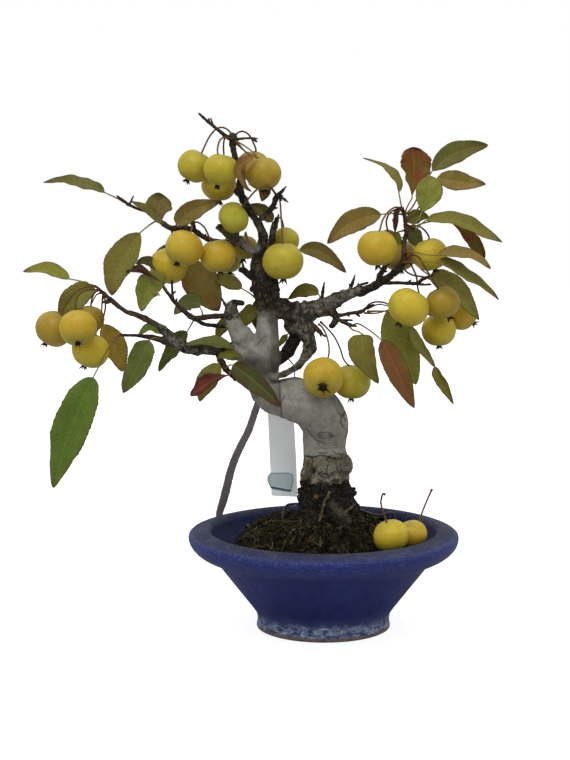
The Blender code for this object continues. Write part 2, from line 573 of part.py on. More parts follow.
def build_strap():
    """The flat guy strap that pulls the trunk towards the pot's lip."""
    webbing = make_material("strap_webbing", (0.12, 0.10, 0.11), 0.8)
    centres = strap_centres()
    half_width = STRAP_WIDTH * MM / 2
    half_thick = STRAP_THICK * MM / 2
    shape = bmesh.new()
    rings = []
    for index, centre in enumerate(centres):
        along = (centres[min(index + 1, len(centres) - 1)] - centres[max(index - 1, 0)]).normalized()
        from_trunk = Vector((centre.x - STRAP_ON_TRUNK.x, centre.y - STRAP_ON_TRUNK.y, 0.0)).normalized()
        from_pot = Vector((centre.x, centre.y, 0.0)).normalized()
        outward = from_trunk.lerp(from_pot, min(index / 10.0, 1.0))
        outward = (outward - along * outward.dot(along)).normalized()
        across = along.cross(outward)
        rings.append([shape.verts.new(centre + across * u + outward * v)
                      for u, v in ((-half_width, -half_thick), (half_width, -half_thick),
                                   (half_width, half_thick), (-half_width, half_thick))])
    for first, second in zip(rings, rings[1:]):
        for k in range(4):
            shape.faces.new((first[k], first[(k + 1) % 4], second[(k + 1) % 4], second[k]))
    shape.faces.new(rings[0])
    shape.faces.new(rings[-1])
    return add_object("guy_strap", shape, webbing)


LABEL_NEAR = -25.0
LABEL_THICK = 0.5
STICKER_THICK = 0.25
LABEL_OUTLINE = [(-36.6, 93.2), (-18.4, 92.4), (-19.2, 118.0), (-21.0, 150.0), (-21.4, 165.0), (-24.0, 168.6),
                 (-36.6, 169.0), (-39.6, 166.0), (-39.0, 150.0), (-37.6, 118.0)]
LABEL_HOLE = (-30.4, 163.0)
STICKER_OUTLINE = [(-37.4, 109.8), (-39.5, 106.6), (-39.6, 104.0), (-37.6, 99.4), (-36.4, 98.6), (-24.0, 96.2),
                   (-22.4, 97.2), (-20.9, 104.0), (-21.6, 108.6), (-24.6, 110.0)]


def plate(name, outline, near, thick, material):
    """A thin upright plate with that outline on the elevation, its front face `near` mm forward."""
    shape = bmesh.new()
    front = [shape.verts.new(seen(x, z, near)) for x, z in outline]
    back = [shape.verts.new(seen(x, z, near - thick)) for x, z in outline]
    count = len(outline)
    shape.faces.new(front)
    shape.faces.new(list(reversed(back)))
    for k in range(count):
        shape.faces.new((front[k], back[k], back[(k + 1) % count], front[(k + 1) % count]))
    return add_object(name, shape, material)


def build_label():
    """The plant label, with its tie hole, and the small price sticker on its lower end."""
    card = make_material("label_card", (0.60, 0.64, 0.66), 0.55)
    mint = make_material("sticker_paper", (0.42, 0.52, 0.52), 0.6)
    tag = plate("label_tag", LABEL_OUTLINE, LABEL_NEAR, LABEL_THICK, card)
    hole = tube("hole_cutter", [(*LABEL_HOLE, LABEL_NEAR - 3, 2.0), (*LABEL_HOLE, LABEL_NEAR + 3, 2.0)], 12)
    combine(tag, [hole], "DIFFERENCE")
    discard([hole])
    plate("price_sticker", STICKER_OUTLINE, LABEL_NEAR + GAP + STICKER_THICK, STICKER_THICK, mint)


TIE_ROUTE = [(-28.4, 194.4, -7.0), (-27.8, 193.6, -1.6), (-24.2, 189.4, -1.6), (-20.8, 184.6, -3.6),
             (-20.4, 178.6, -12.0), (-22.0, 172.6, -20.0), (-27.0, 167.4, -23.4), (-30.2, 163.4, -24.0),
             (-30.4, 162.4, -26.8), (-29.6, 164.6, -28.6), (-28.4, 168.6, -27.6)]


def build_tie(cutter):
    """The thin tie that the label hangs on, through its hole and up to the limb it is fixed to."""
    cord = make_material("label_cord", (0.03, 0.028, 0.026), 0.7)
    route = [(x, z, near, 0.45) for x, z, near in TIE_ROUTE]
    tie = tube("label_tie", smooth_route(route, 2), 6, 0.0, cord)
    combine(tie, [cutter], "DIFFERENCE")
    keep_largest(tie)
    return tie


# Fruit: centre (x, z, near), radius, calyx (dx, dz) on the elevation, calyx side, stalk route

FRUIT = {
    "01": ((-89, 323.0, 6), 12.0, (-6, -11), [(-62.3, 343, 8), (-66, 347.6, 6), (-70.5, 349.4, 7),
                                           (-75, 347.6, 8), (-79.4, 342, 8), (-83, 334.6, 7)]),
    "02": ((-71, 320.5, 24), 12.2, (-3, -13), [(-63.5, 341.5, 10), (-68.5, 342.5, 15), (-72, 340, 20),
                                            (-73.2, 332, 24)]),
    "03": ((-72.5, 310.0, -8), 12.0, (0, -14), [(-64, 341, 6), (-68, 342.2, 1), (-69.2, 337, -4),
                                             (-69, 330, -7), (-70, 322, -8)]),
    "04": ((-42, 318.0, 20), 12.5, (1, -15), [(-61.6, 339.4, 9), (-57.5, 335.8, 13), (-52, 331.4, 17),
                                            (-46.5, 329, 20)]),
    "05": ((-49, 323.0, -5), 11.5, (-1, -12), [(-61.6, 343.6, 8), (-58.5, 346.2, 5), (-54.8, 346.4, 1),
                                            (-51, 343.4, -2), (-48.6, 338.6, -4), (-47, 334, -5)]),
    "06": ((-62.5, 288.0, 15), 11.0, (-10, -7), [(-32.8, 303, 10), (-36.6, 307.6, 25), (-41, 309, 33),
                                             (-46.4, 307, 33), (-51.4, 301.8, 28), (-55.4, 296.4, 21)]),
    "08": ((-96.5, 267.0, 20), 13.2, (-5, -11), [(-91, 279.8, -6), (-91.4, 282, 0), (-91.2, 282, 8),
                                             (-91.4, 279.6, 14)]),
    "09": ((-107.5, 254.5, -2), 13.2, (-5.5, -12), [(-105, 279, 0), (-104.6, 273, -2.4), (-105.4, 266.6, -2.6)]),
    "10": ((-73.5, 261.5, 6), 12.5, (2, -14), [(-90.4, 284.6, -4), (-87, 284.6, -2), (-83, 281.6, 1),
                                            (-80.4, 277, 4), (-78.6, 272.6, 6)]),
    "11": ((-67, 259.0, -34), 10.5, (2, -10), [(-67.5, 271, -12), (-67.6, 273.4, -20), (-67.4, 272, -28),
                                            (-67.2, 268.6, -33)]),
    "12": ((-28.5, 258.0, 18), 14.2, (0.5, -15), [(-31.4, 303, 9), (-30.4, 298, 12), (-29.8, 289, 15),
                                               (-29.2, 280, 17), (-28.8, 271, 18)]),
    "13": ((-27, 272.0, -10), 9.8, (1, -8), [(-33.2, 285.4, 5), (-31.6, 288, -1), (-29.4, 286.6, -7),
                                           (-28.0, 281, -10)]),
    "14": ((-55, 267.5, -20), 9.2, (-1, -9), [(-52, 267, 0), (-53, 273, -7), (-54, 277.6, -15),
                                           (-54.6, 276.6, -19)]),
    "15": ((-187, 211.0, 22), 13.3, (-8, -13), [(-153.6, 236.8, 22), (-157, 239.4, 19.6), (-162, 240.6, 19.4),
                                            (-170, 237.8, 19.4), (-177, 231, 20), (-181.4, 223.4, 21)]),
    "16": ((-170.5, 211.5, 44), 13.3, (0.4, -10), [(-154.6, 237.4, 23), (-158.6, 238.2, 30), (-164.4, 237.8, 36),
                                               (-169.6, 234.6, 41), (-171.8, 230, 43), (-171.6, 224.4, 44)]),
    "17": ((-162, 196.0, 22), 13.3, (-6, -14), [(-152.2, 235, 22), (-151.4, 226, 22), (-154, 216, 22),
                                            (-158, 208.6, 22)]),
    "18": ((-162, 218.0, 4), 10.0, (-2, -9), [(-152.6, 236, 21.6), (-155.6, 237.6, 14), (-159.4, 235, 7),
                                           (-161.4, 228, 4)]),
    "19": ((36.5, 267.0, 34), 13.8, (0.5, -13), [(53.6, 292, 20), (49.6, 295, 24), (44.4, 292.4, 29),
                                            (40.2, 286.4, 33), (38.0, 279, 34)]),
    "20": ((51.5, 262.0, 2), 12.0, (1, -11), [(54.2, 292.2, 19), (49.8, 293.6, 12), (44.6, 290.6, 6),
                                           (42.6, 284, 3), (45.0, 275.6, 2), (47.4, 272.6, 2)]),
    "21": ((73, 262.5, 20), 12.2, (4, -12), [(56.2, 280, 20), (60.4, 282.4, 18), (66, 281.4, 17),
                                          (70.4, 277.6, 18), (72.2, 273.4, 19.6)]),
    "22": ((58.5, 226.0, 40), 14.3, (-7, -13), [(28.4, 224.4, 17), (31, 228, 21), (35.4, 229.6, 27),
                                            (41, 229.4, 35), (46.6, 228.4, 39)]),
    "23": ((82, 229.0, 26), 12.2, (5, -11), [(55.2, 258.4, 21), (60, 262, 29), (65, 260.6, 33),
                                          (70, 252.6, 33), (77.6, 241.4, 28)]),
    "24": ((79.5, 210.0, 8), 12.2, (0.5, -13), [(54, 254.6, 20), (58.6, 256.8, 17), (61.6, 252, 13),
                                             (63.8, 246.6, 11), (65.0, 238, 9), (70.6, 222.6, 8)]),
    "25": ((95.5, 221.0, -8), 11.3, (9, -7), [(52.6, 255, 18), (57, 250.4, 9), (62, 248, 0),
                                           (70, 246.6, -6), (80, 242, -10), (88, 234.6, -9)]),
    "27": ((-0.5, 177.0, 31), 14.3, (-0.5, -5), [(-3.6, 214, 9), (-1.6, 212.4, 14), (1.4, 207, 20),
                                             (3.2, 200, 26), (3.2, 192.4, 30)]),
    "28": ((19.5, 174.0, 10), 13.3, (-0.5, -14.5), [(-2.6, 216, 7), (2.4, 211, 10), (7, 205.6, 10),
                                                (11, 197.6, 10), (14.2, 188.6, 10)]),
}

FALLEN = {
    "29": ((47.5, 64.4, 44), 12.7, (4, -12), [(43.2, 93.8, 44), (41.6, 94.6, 44), (40.2, 89, 44), (41.4, 83, 44),
                                          (43.6, 76.6, 44)]),
    "30": ((62.2, 65.6, 25), 11.0, (3, -10), [(76, 98, 20), (73, 91, 22), (69.8, 83, 24), (66.4, 74, 25)]),
}


def fruit_body(radius, axis):
    """A fruit's flesh about the origin: a squashed ball with a dimple at the stalk and at the calyx."""
    shape = bmesh.new()
    bmesh.ops.create_uvsphere(shape, u_segments=FRUIT_SIDES, v_segments=FRUIT_RINGS, radius=1.0)
    for vert in shape.verts:
        height = vert.co.z
        rim = math.sqrt(max(0.0, 1.0 - height * height))
        dimple = 0.11 if height > 0 else 0.07
        fall = dimple * math.exp(-(rim / 0.34) ** 2)
        vert.co.z = (abs(height) * FRUIT_SQUASH - fall) * (1.0 if height > 0 else -1.0)
    turn = Vector((0.0, 0.0, -1.0)).rotation_difference(axis).to_matrix().to_4x4()
    bmesh.ops.transform(shape, matrix=turn @ Matrix.Scale(radius * MM, 4), verts=shape.verts)
    return shape


def fruit_axis(radius, calyx, hidden=False):
    """The unit vector from a fruit's middle to its calyx, from the calyx's offset on the elevation."""
    dx, dz = calyx
    across = math.hypot(dx, dz)
    forward = math.sqrt(max(0.0, (radius * 0.96) ** 2 - across ** 2))
    return Vector((dx, forward if hidden else -forward, dz)).normalized()


def fruit_solid(name, spec, grow=0.0):
    """One fruit with its stalk and the dried calyx at its eye, as one solid made larger by `grow` mm."""
    (x, z, near), radius, calyx, stalk = spec
    radius = radius * (1.0 - near / (-ELEVATION_EYE.y / MM))
    skin = make_material("fruit_skin", (0.48, 0.36, 0.035), 0.45)
    axis = fruit_axis(radius, calyx)
    centre = seen(x, z, near)
    fruit = add_object(name, fruit_body(radius + grow, axis), skin)
    fruit.data.transform(Matrix.Translation(centre))
    foot = centre - axis * (radius * FRUIT_SQUASH * 0.6 * MM)
    stem = add_object("stem", bmesh_tube([seen(*point) for point in stalk] + [foot],
                                         (STALK_RADIUS + grow) * MM, 4))
    eye = centre + axis * (radius * FRUIT_SQUASH * 0.7 * MM)
    end = centre + axis * ((radius * FRUIT_SQUASH + CALYX_LENGTH + grow) * MM)
    nub = add_object("nub", bmesh_tube([eye, eye.lerp(end, 0.8), end], (CALYX_RADIUS + grow) * MM, 5))
    combine(fruit, [stem, nub], "UNION")
    discard([stem, nub])
    return fruit


def build_fruit(label, spec, cutter=None):
    """One fruit, trimmed where its stalk meets the twig that it hangs from."""
    fruit = fruit_solid(f"apple_{label}", spec)
    if cutter:
        combine(fruit, [cutter], "DIFFERENCE")
        keep_largest(fruit)
    finish_shading(fruit, 50.0)
    return fruit


def bmesh_tube(points, radius, sides):
    """A bmesh tube of one radius through points in metres."""
    turns = [2 * math.pi * k / sides for k in range(sides)]
    return sweep(points, lambda i: [(radius * math.cos(a), radius * math.sin(a)) for a in turns])


# Leaves: blade axis, full width, roll of the blade about its axis in degrees, cup, petiole route

LEAVES = {
    "01": ([(-151, 305, 14), (-163, 310, 14), (-177, 312.4, 12), (-193, 312, 9)], 15, 55, 0.25,
           [(-137.6, 298.4, 12), (-143, 301.4, 13), (-151, 305, 14)]),
    "02": ([(-127, 277.4, 16), (-135, 266, 18), (-143, 251, 21), (-147, 234, 24)], 22, 5, 0.2,
           [(-110.6, 284, 4), (-115, 285.6, 7), (-120.6, 282.6, 12), (-127, 277.4, 16)]),
    "03": ([(-176, 245.6, 30), (-186, 249.6, 31), (-197, 251.6, 32), (-208, 250.6, 33)], 13, 45, 0.3,
           [(-155, 238.2, 23), (-158, 240.8, 26), (-163, 242.2, 29), (-169, 244.2, 30), (-176, 245.6, 30)]),
    "04": ([(-111, 241, 19), (-117.5, 242.6, 20), (-123.5, 236, 21), (-126.5, 223, 21)], 22, 0, 0.2,
           [(-108.6, 236.6, 18.6), (-110, 239.6, 21), (-111, 241, 19)]),
    "05": ([(-160.6, 177, 40), (-169, 160, 40), (-178, 137, 38), (-185, 116, 36), (-190.4, 98, 34)], 27, 5, 0.18,
           [(-142, 206.6, 30), (-147.6, 200.4, 37), (-152, 193.4, 40), (-156, 185.6, 41), (-160.6, 177, 40)]),
    "06": ([(-121.6, 203, 21), (-126, 193, 23), (-132, 180, 24), (-140, 166, 24)], 17, 15, 0.2,
           [(-113, 202.6, 14), (-116.6, 204.6, 19), (-121.6, 203, 21)]),
    "07": ([(-94, 259, -19), (-89, 249, -20), (-81, 236, -18), (-73, 223.4, -15)], 28, 0, 0.12,
           [(-92, 279.6, -7), (-96, 274, -14), (-96, 266, -18), (-94, 259, -19)]),
    "08": ([(-63.4, 185.6, 13), (-55, 180, 16), (-42, 169, 20), (-30, 156, 23)], 20, 5, 0.2,
           [(-68.6, 183, 11), (-66, 185.4, 13), (-63.4, 185.6, 13)]),
    "09": ([(-73, 186.6, 13), (-78, 178, 15), (-83, 169, 16), (-86.6, 160, 16)], 17, 25, 0.25,
           [(-71.6, 190, 8), (-74.2, 189.4, 11), (-73, 186.6, 13)]),
    "10": ([(-102, 283.6, 6), (-94, 290.6, 8), (-84, 295.6, 8), (-71.6, 298.6, 7)], 15, 10, 0.2,
           [(-99, 281, 0), (-101.6, 282, 3), (-102, 283.6, 6)]),
    "11": ([(-17, 266, 1), (-6, 265.6, 3), (5, 259.4, 6), (15, 250, 9)], 11, 10, 0.25,
           [(-42, 262, 1), (-34, 265.6, 2.2), (-26, 265, 1.2), (-17, 266, 1)]),
    "12": ([(60, 301, 14), (60.6, 311, 11), (61.4, 323, 8), (60, 336, 7)], 21, 15, 0.2,
           [(55, 287.6, 19), (56.4, 294, 16), (60, 301, 14)]),
    "13": ([(74, 320, 17), (85, 329.4, 12), (97, 334.6, 9), (112.4, 337.6, 6)], 15.5, 5, 0.2,
           [(55, 289, 20), (61, 296, 22), (67, 308, 22), (74, 320, 17)]),
    "14": ([(78, 315.6, 22), (88, 313, 23), (99, 311.6, 24), (111, 311, 24)], 14, 10, 0.2,
           [(55.4, 285.4, 20), (62, 291, 25), (70, 303, 25), (78, 315.6, 22)]),
    "15": ([(67, 291, 31), (69, 298, 32), (71.4, 307, 31), (72, 316.6, 28)], 19, 0, 0.15,
           [(56, 279.6, 21), (61, 283, 27), (65, 287.4, 30), (67, 291, 31)]),
    "16": ([(70, 286, 32), (84, 287, 34), (103, 280.6, 38), (122.6, 271, 42)], 13, 50, 0.25,
           [(56.4, 278, 21), (62, 279, 26), (66, 283, 30), (70, 286, 32)]),
    "17": ([(78, 262, 40), (90, 263, 42), (103, 260.4, 45), (115, 252.6, 47)], 12, 62, 0.2,
           [(55, 264, 20), (61, 264.4, 33), (70, 262.4, 40), (78, 262, 40)]),
    "18": ([(77, 257, 44), (90, 252.4, 42), (105, 243.6, 38), (121, 231, 34)], 13, 66, 0.2,
           [(54, 257, 21), (61, 257.6, 35), (69, 257.6, 43), (77, 257, 44)]),
    "19": ([(39, 290, 16), (27, 288, 14), (14, 281.6, 12), (2, 270, 12)], 17, 0, 0.2,
           [(54.6, 290, 19), (46.4, 290.8, 17), (39, 290, 16)]),
    "20": ([(27, 207, 30), (27, 197, 33), (32, 184, 33), (38, 172.6, 32)], 19, 10, 0.2,
           [(17.2, 213.2, 16), (19.6, 210.4, 21), (23.6, 209, 26), (27, 207, 30)]),
    "21": ([(40, 203, 41), (46.6, 190, 42), (54.6, 173, 41), (63, 155.4, 39)], 21, 5, 0.2,
           [(20.2, 213.4, 18), (24, 214.4, 30), (32, 209.6, 39), (40, 203, 41)]),
    "22": ([(44, 224, 20), (50, 208, 20), (57.6, 190, 19), (64, 172, 17)], 25, 5, 0.15,
           [(27.6, 222, 17), (34, 221.6, 18), (40, 222.6, 19), (44, 224, 20)]),
    "23": ([(73, 248, 8), (84, 242.6, 9), (96, 232.6, 9), (107.4, 217, 8)], 17, 20, 0.25,
           [(55.6, 259.6, 17), (63, 256, 9), (68, 251.4, 7), (73, 248, 8)]),
}


def leaf_width(t):
    """Share of a leaf's full width at a share t of its length, from the base to the pointed tip."""
    return max(0.0, math.sin(math.pi * t ** 0.82)) ** 0.8 * (1.0 - 0.25 * t)


def build_leaf(label, spec, cutter):
    """One leaf: a thin cupped blade on a round petiole, trimmed where it meets the twig."""
    axis, width, roll, cup, petiole = spec
    green = make_material("leaf_green", (0.10, 0.11, 0.022), 0.6)
    points = [Vector(p) for p in smooth_route([tuple(seen(*p)) for p in axis], LEAF_STEPS)]
    count = len(points)
    shape = bmesh.new()
    rings = []
    half_thick = LEAF_THICK * MM / 2
    for index, centre in enumerate(points):
        t = index / (count - 1)
        along = (points[min(index + 1, count - 1)] - points[max(index - 1, 0)]).normalized()
        to_eye = (ELEVATION_EYE - centre).normalized()
        flat = along.cross(to_eye).normalized()
        side = (Matrix.Rotation(math.radians(roll), 3, along) @ flat)
        face = side.cross(along).normalized()
        half = max(width * leaf_width(t), 1.6) * MM / 2
        lift = face * (half * cup)
        across = [(-1.0, 1.0), (0.0, 0.0), (1.0, 1.0)]
        ring = [centre + side * (half * u) + lift * v - face * half_thick for u, v in across]
        ring += [centre + side * (half * u) + lift * v + face * half_thick for u, v in reversed(across)]
        rings.append([shape.verts.new(point) for point in ring])
    for first, second in zip(rings, rings[1:]):
        for k in range(6):
            shape.faces.new((first[k], first[(k + 1) % 6], second[(k + 1) % 6], second[k]))
    shape.faces.new(rings[0])
    shape.faces.new(rings[-1])
    bmesh.ops.triangulate(shape, faces=shape.faces)
    leaf = add_object(f"leaf_{label}", shape, green)
    inward = points[2]
    route = [tuple(seen(*p)) for p in petiole] + [tuple(inward)]
    stalk = add_object("petiole", bmesh_tube([Vector(p) for p in route], PETIOLE_RADIUS * MM, 4))
    combine(leaf, [stalk], "UNION")
    discard([stalk])
    combine(leaf, [cutter], "DIFFERENCE")
    keep_largest(leaf)
    finish_shading(leaf, 60.0)
    return leaf


def main():
    """Build every piece of the potted tree."""
    clear_scene()
    bark = make_material("bark", (0.16, 0.14, 0.11), 0.85)
    build_pot()
    build_drainage_mesh()
    soil = build_soil()
    finish_shading(build_tree("tree", 0.0, bark), 60.0)
    around_tree = build_tree("around_tree", GAP)
    build_anchor_wire()
    holes = wire_cutters()
    holes += [fruit_solid(f"bed_{label}", spec, 1.2 * GAP) for label, spec in FALLEN.items()]
    combine(soil, [*holes, around_tree], "DIFFERENCE")
    discard(holes)
    keep_largest(soil)
    finish_shading(soil, 50.0)
    build_strap()
    build_label()
    build_tie(around_tree)
    for label, spec in FRUIT.items():
        build_fruit(label, spec, around_tree)
    for label, spec in FALLEN.items():
        build_fruit(label, spec)
    for label, spec in LEAVES.items():
        build_leaf(label, spec, around_tree)
    discard([around_tree])


main()
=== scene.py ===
import logging
import math
import random
from dataclasses import dataclass, field
from enum import Enum
from functools import partial
from typing import Callable, Iterable, Sequence

import bmesh
import bpy
import numpy as np
from mathutils import Matrix, Vector, noise


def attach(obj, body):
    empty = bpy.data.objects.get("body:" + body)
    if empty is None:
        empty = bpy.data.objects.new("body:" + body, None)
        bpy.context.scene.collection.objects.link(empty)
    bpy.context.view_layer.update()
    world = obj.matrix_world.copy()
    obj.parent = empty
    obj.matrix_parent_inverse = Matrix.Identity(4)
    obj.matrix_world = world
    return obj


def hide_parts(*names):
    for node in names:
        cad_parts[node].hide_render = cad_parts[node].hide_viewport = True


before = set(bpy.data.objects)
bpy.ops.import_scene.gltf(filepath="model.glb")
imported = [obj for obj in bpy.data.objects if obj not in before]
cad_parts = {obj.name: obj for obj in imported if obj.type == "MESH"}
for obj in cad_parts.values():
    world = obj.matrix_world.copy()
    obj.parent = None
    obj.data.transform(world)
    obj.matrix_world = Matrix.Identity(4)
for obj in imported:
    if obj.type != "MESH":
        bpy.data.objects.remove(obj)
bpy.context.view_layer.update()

# The looks of a crabapple bonsai: bark, leaves, fruit, soil, glazed pot, label and strap. Units are
# metres in the meshes and millimetres in the tables. Places on the tree are read off a front
# elevation: seen(x, z, near) brings a point `near` mm forward along its sight line.

LOG = logging.getLogger("bonsai")
MM = 0.001
ELEVATION_EYE = Vector((-0.0271, -1.300, 0.350))
BODY = "root"

Shape = bmesh.types.BMesh
Material = bpy.types.Material
Socket = bpy.types.NodeSocket
Colour = tuple[float, float, float]
Place = tuple[float, float, float]
RoutePoint = tuple[float, float, float, float]


def srgb(red: int, green: int, blue: int) -> Colour:
    """A linear colour from sRGB values of 0 to 255.

    Args:
        red, green, blue: the display values.

    Returns:
        The linear red, green and blue.
    """
    def linear(value: int) -> float:
        share = value / 255.0
        return share / 12.92 if share <= 0.04045 else ((share + 0.055) / 1.055) ** 2.4

    return linear(red), linear(green), linear(blue)


def seen(x: float, z: float, near: float = 0.0) -> Vector:
    """The point, in metres, that the front elevation shows at (x, z), `near` mm towards the eye.

    Args:
        x, z: millimetres on the elevation.
        near: millimetres towards the eye.

    Returns:
        The point.
    """
    on_plane = Vector((x * MM, 0.0, z * MM))
    return on_plane + (ELEVATION_EYE - on_plane) * (near * MM / -ELEVATION_EYE.y)


def smooth_route(points: Sequence[tuple], steps: int) -> list[tuple]:
    """Catmull-Rom points through a route.

    Args:
        points: tuples of equal length.
        steps: how many points each stretch gets.

    Returns:
        The finer route.
    """
    count = len(points)
    route = []
    for index in range(count - 1):
        before = points[max(index - 1, 0)]
        start = points[index]
        end = points[index + 1]
        after = points[min(index + 2, count - 1)]
        for step in range(steps):
            t = step / steps
            route.append(tuple(
                0.5 * (2 * b + (c - a) * t + (2 * a - 5 * b + 4 * c - d) * t * t
                       + (3 * b - a - 3 * c + d) * t ** 3)
                for a, b, c, d in zip(before, start, end, after)))
    route.append(tuple(points[-1]))
    return route


def walk(centres: Sequence[Vector]) -> tuple[list[Vector], list[float]]:
    """The direction of a route at each of its points, and their distances from its start in millimetres."""
    last = len(centres) - 1
    ahead = [(centres[min(index + 1, last)] - centres[max(index - 1, 0)]).normalized() for index in range(last + 1)]
    stations = [0.0]
    for first, second in zip(centres, centres[1:]):
        stations.append(stations[-1] + (second - first).length / MM)
    return ahead, stations


def share_between(low: float, high: float, value: float) -> float:
    """0 up to `low`, 1 from `high` on, and straight between them."""
    return min(max((value - low) / (high - low), 0.0), 1.0)


def smoothstep(low: float, high: float, value: np.ndarray) -> np.ndarray:
    """A smooth 0 to 1 ramp of an array between two values."""
    share = np.clip((value - low) / (high - low), 0.0, 1.0)
    return share * share * (3.0 - 2.0 * share)


def fractal(points: np.ndarray, scale: float, octaves: int, offset: float) -> np.ndarray:
    """Fractal noise, about -1 to 1, at points in millimetres.

    Args:
        points: an array of N places.
        scale: noise cells to a millimetre.
        octaves: layers of detail.
        offset: moves the pattern, so that two calls differ.

    Returns:
        N values.
    """
    shift = Vector((offset, 1.7 * offset, -0.6 * offset))
    return np.array([noise.fractal(Vector(point) * scale + shift, 1.0, 2.1, octaves) for point in points])


def cells(points: np.ndarray, scale: float, offset: float) -> np.ndarray:
    """How near each point is to the wall between two Voronoi cells, 0 on the wall.

    Args:
        points: an array of N places in millimetres.
        scale: cells to a millimetre.
        offset: moves the pattern.

    Returns:
        N values, about 0 to 1.
    """
    shift = Vector((offset, -offset, 0.4 * offset))
    values = []
    for point in points:
        distances = noise.voronoi(Vector(point) * scale + shift)[0]
        values.append(distances[1] - distances[0])
    return np.array(values)


# Shader helpers

class Graph:
    """Lays out the nodes of one shader tree."""

    def __init__(self, tree: bpy.types.NodeTree) -> None:
        """Take the tree that nodes are added to."""
        self.tree = tree

    def node(self, kind: str, **settings: object) -> bpy.types.Node:
        """Add a node of a type, with its settings."""
        item = self.tree.nodes.new(kind)
        for key, value in settings.items():
            setattr(item, key, value)
        return item

    def feed(self, socket: Socket, value: object) -> None:
        """Link a socket to another, or set its value."""
        if isinstance(value, Socket):
            self.tree.links.new(value, socket)
        elif isinstance(value, tuple) and len(value) == 3 and socket.type == "RGBA":
            socket.default_value = (*value, 1.0)
        else:
            socket.default_value = value

    def coords(self) -> Socket:
        """The object coordinates, in metres."""
        return self.node("ShaderNodeTexCoord").outputs["Object"]

    def scaled(self, vector: object, scale: tuple[float, float, float]) -> Socket:
        """Coordinates stretched by a Mapping node."""
        item = self.node("ShaderNodeMapping")
        self.feed(item.inputs["Vector"], vector)
        item.inputs["Scale"].default_value = scale
        return item.outputs["Vector"]

    def noise(self, vector: object, scale: float, detail: float = 4.0, roughness: float = 0.55,
              distortion: float = 0.0) -> Socket:
        """Fractal noise of 0 to 1 at a scale in cells to a metre."""
        item = self.node("ShaderNodeTexNoise")
        self.feed(item.inputs["Vector"], vector)
        for name, value in (("Scale", scale), ("Detail", detail), ("Roughness", roughness),
                            ("Distortion", distortion)):
            self.feed(item.inputs[name], value)
        return item.outputs["Fac"]

    def voronoi(self, vector: object, scale: object, feature: str = "F1") -> Socket:
        """The distance that a Voronoi texture gives."""
        item = self.node("ShaderNodeTexVoronoi", feature=feature)
        self.feed(item.inputs["Vector"], vector)
        self.feed(item.inputs["Scale"], scale)
        return item.outputs["Distance"]

    def math(self, operation: str, first: object, second: object = 0.0, clamp: bool = False) -> Socket:
        """One Math node."""
        item = self.node("ShaderNodeMath", operation=operation, use_clamp=clamp)
        self.feed(item.inputs[0], first)
        self.feed(item.inputs[1], second)
        return item.outputs[0]

    def ramp(self, value: object, low: float, high: float, start: float = 0.0, end: float = 1.0) -> Socket:
        """A smooth step of a value from `start` to `end` between two of its values."""
        item = self.node("ShaderNodeMapRange", interpolation_type="SMOOTHSTEP")
        self.feed(item.inputs["Value"], value)
        for name, number in (("From Min", low), ("From Max", high), ("To Min", start), ("To Max", end)):
            self.feed(item.inputs[name], number)
        return item.outputs["Result"]

    def mix(self, share: object, first: object, second: object, blend: str = "MIX") -> Socket:
        """A mix of two colours."""
        item = self.node("ShaderNodeMix", data_type="RGBA", blend_type=blend)
        self.feed(item.inputs[0], share)
        self.feed(item.inputs[6], first)
        self.feed(item.inputs[7], second)
        return item.outputs[2]

    def attribute(self, name: str) -> bpy.types.Node:
        """An attribute of the mesh."""
        return self.node("ShaderNodeAttribute", attribute_name=name)

    def parts(self, vector: object) -> bpy.types.NodeSocketVirtual:
        """The X, Y and Z outputs of a vector or a colour."""
        item = self.node("ShaderNodeSeparateXYZ")
        self.feed(item.inputs[0], vector)
        return item.outputs

    def bump(self, height: object, distance: float, strength: float = 1.0) -> Socket:
        """A normal bent by a height, `distance` metres from its lowest to its highest."""
        item = self.node("ShaderNodeBump")
        self.feed(item.inputs["Height"], height)
        item.inputs["Distance"].default_value = distance
        item.inputs["Strength"].default_value = strength
        return item.outputs["Normal"]

    def group(self, tree: bpy.types.NodeTree, output: str, **inputs: object) -> Socket:
        """Place a shader group and return one output. Input names take spaces for underscores."""
        item = self.node("ShaderNodeGroup", node_tree=tree)
        for key, value in inputs.items():
            self.feed(item.inputs[key.replace("_", " ")], value)
        return item.outputs[output]

    def times(self, first: object, second: object) -> Socket:
        """Two values multiplied."""
        return self.math("MULTIPLY", first, second)

    def wash(self, colour: object, mask: object, share: float, tone: object, blend: str = "MIX") -> Socket:
        """A colour with a tone laid over it by a share of a mask."""
        return self.mix(self.times(mask, share), colour, tone, blend)

    def mottle(self, effects: "Effects", vector: object, scale: float, low: float, high: float) -> Socket:
        """A mask of soft patches, at a scale in cells to a metre."""
        return self.group(effects.mottle, "Mask", Vector=vector, Scale=scale, Low=low, High=high)

    def specks(self, effects: "Effects", vector: object, scale: float, size: float) -> Socket:
        """A mask of small specks, at a scale in cells to a metre."""
        return self.group(effects.specks, "Mask", Vector=vector, Scale=scale, Size=size)

    def relief(self, effects: "Effects", vector: object, scale: float, grain: float) -> Socket:
        """A fine uneven height, at a scale in cells to a metre."""
        return self.group(effects.relief, "Height", Vector=vector, Scale=scale, Grain=grain)

    def roughen(self, shader: bpy.types.Node, effects: "Effects", vector: object, scale: float, grain: float,
                depth: float) -> None:
        """Bend a shader's normal by fine relief, `depth` metres from its lowest to its highest."""
        self.feed(shader.inputs["Normal"], self.bump(self.relief(effects, vector, scale, grain), depth))


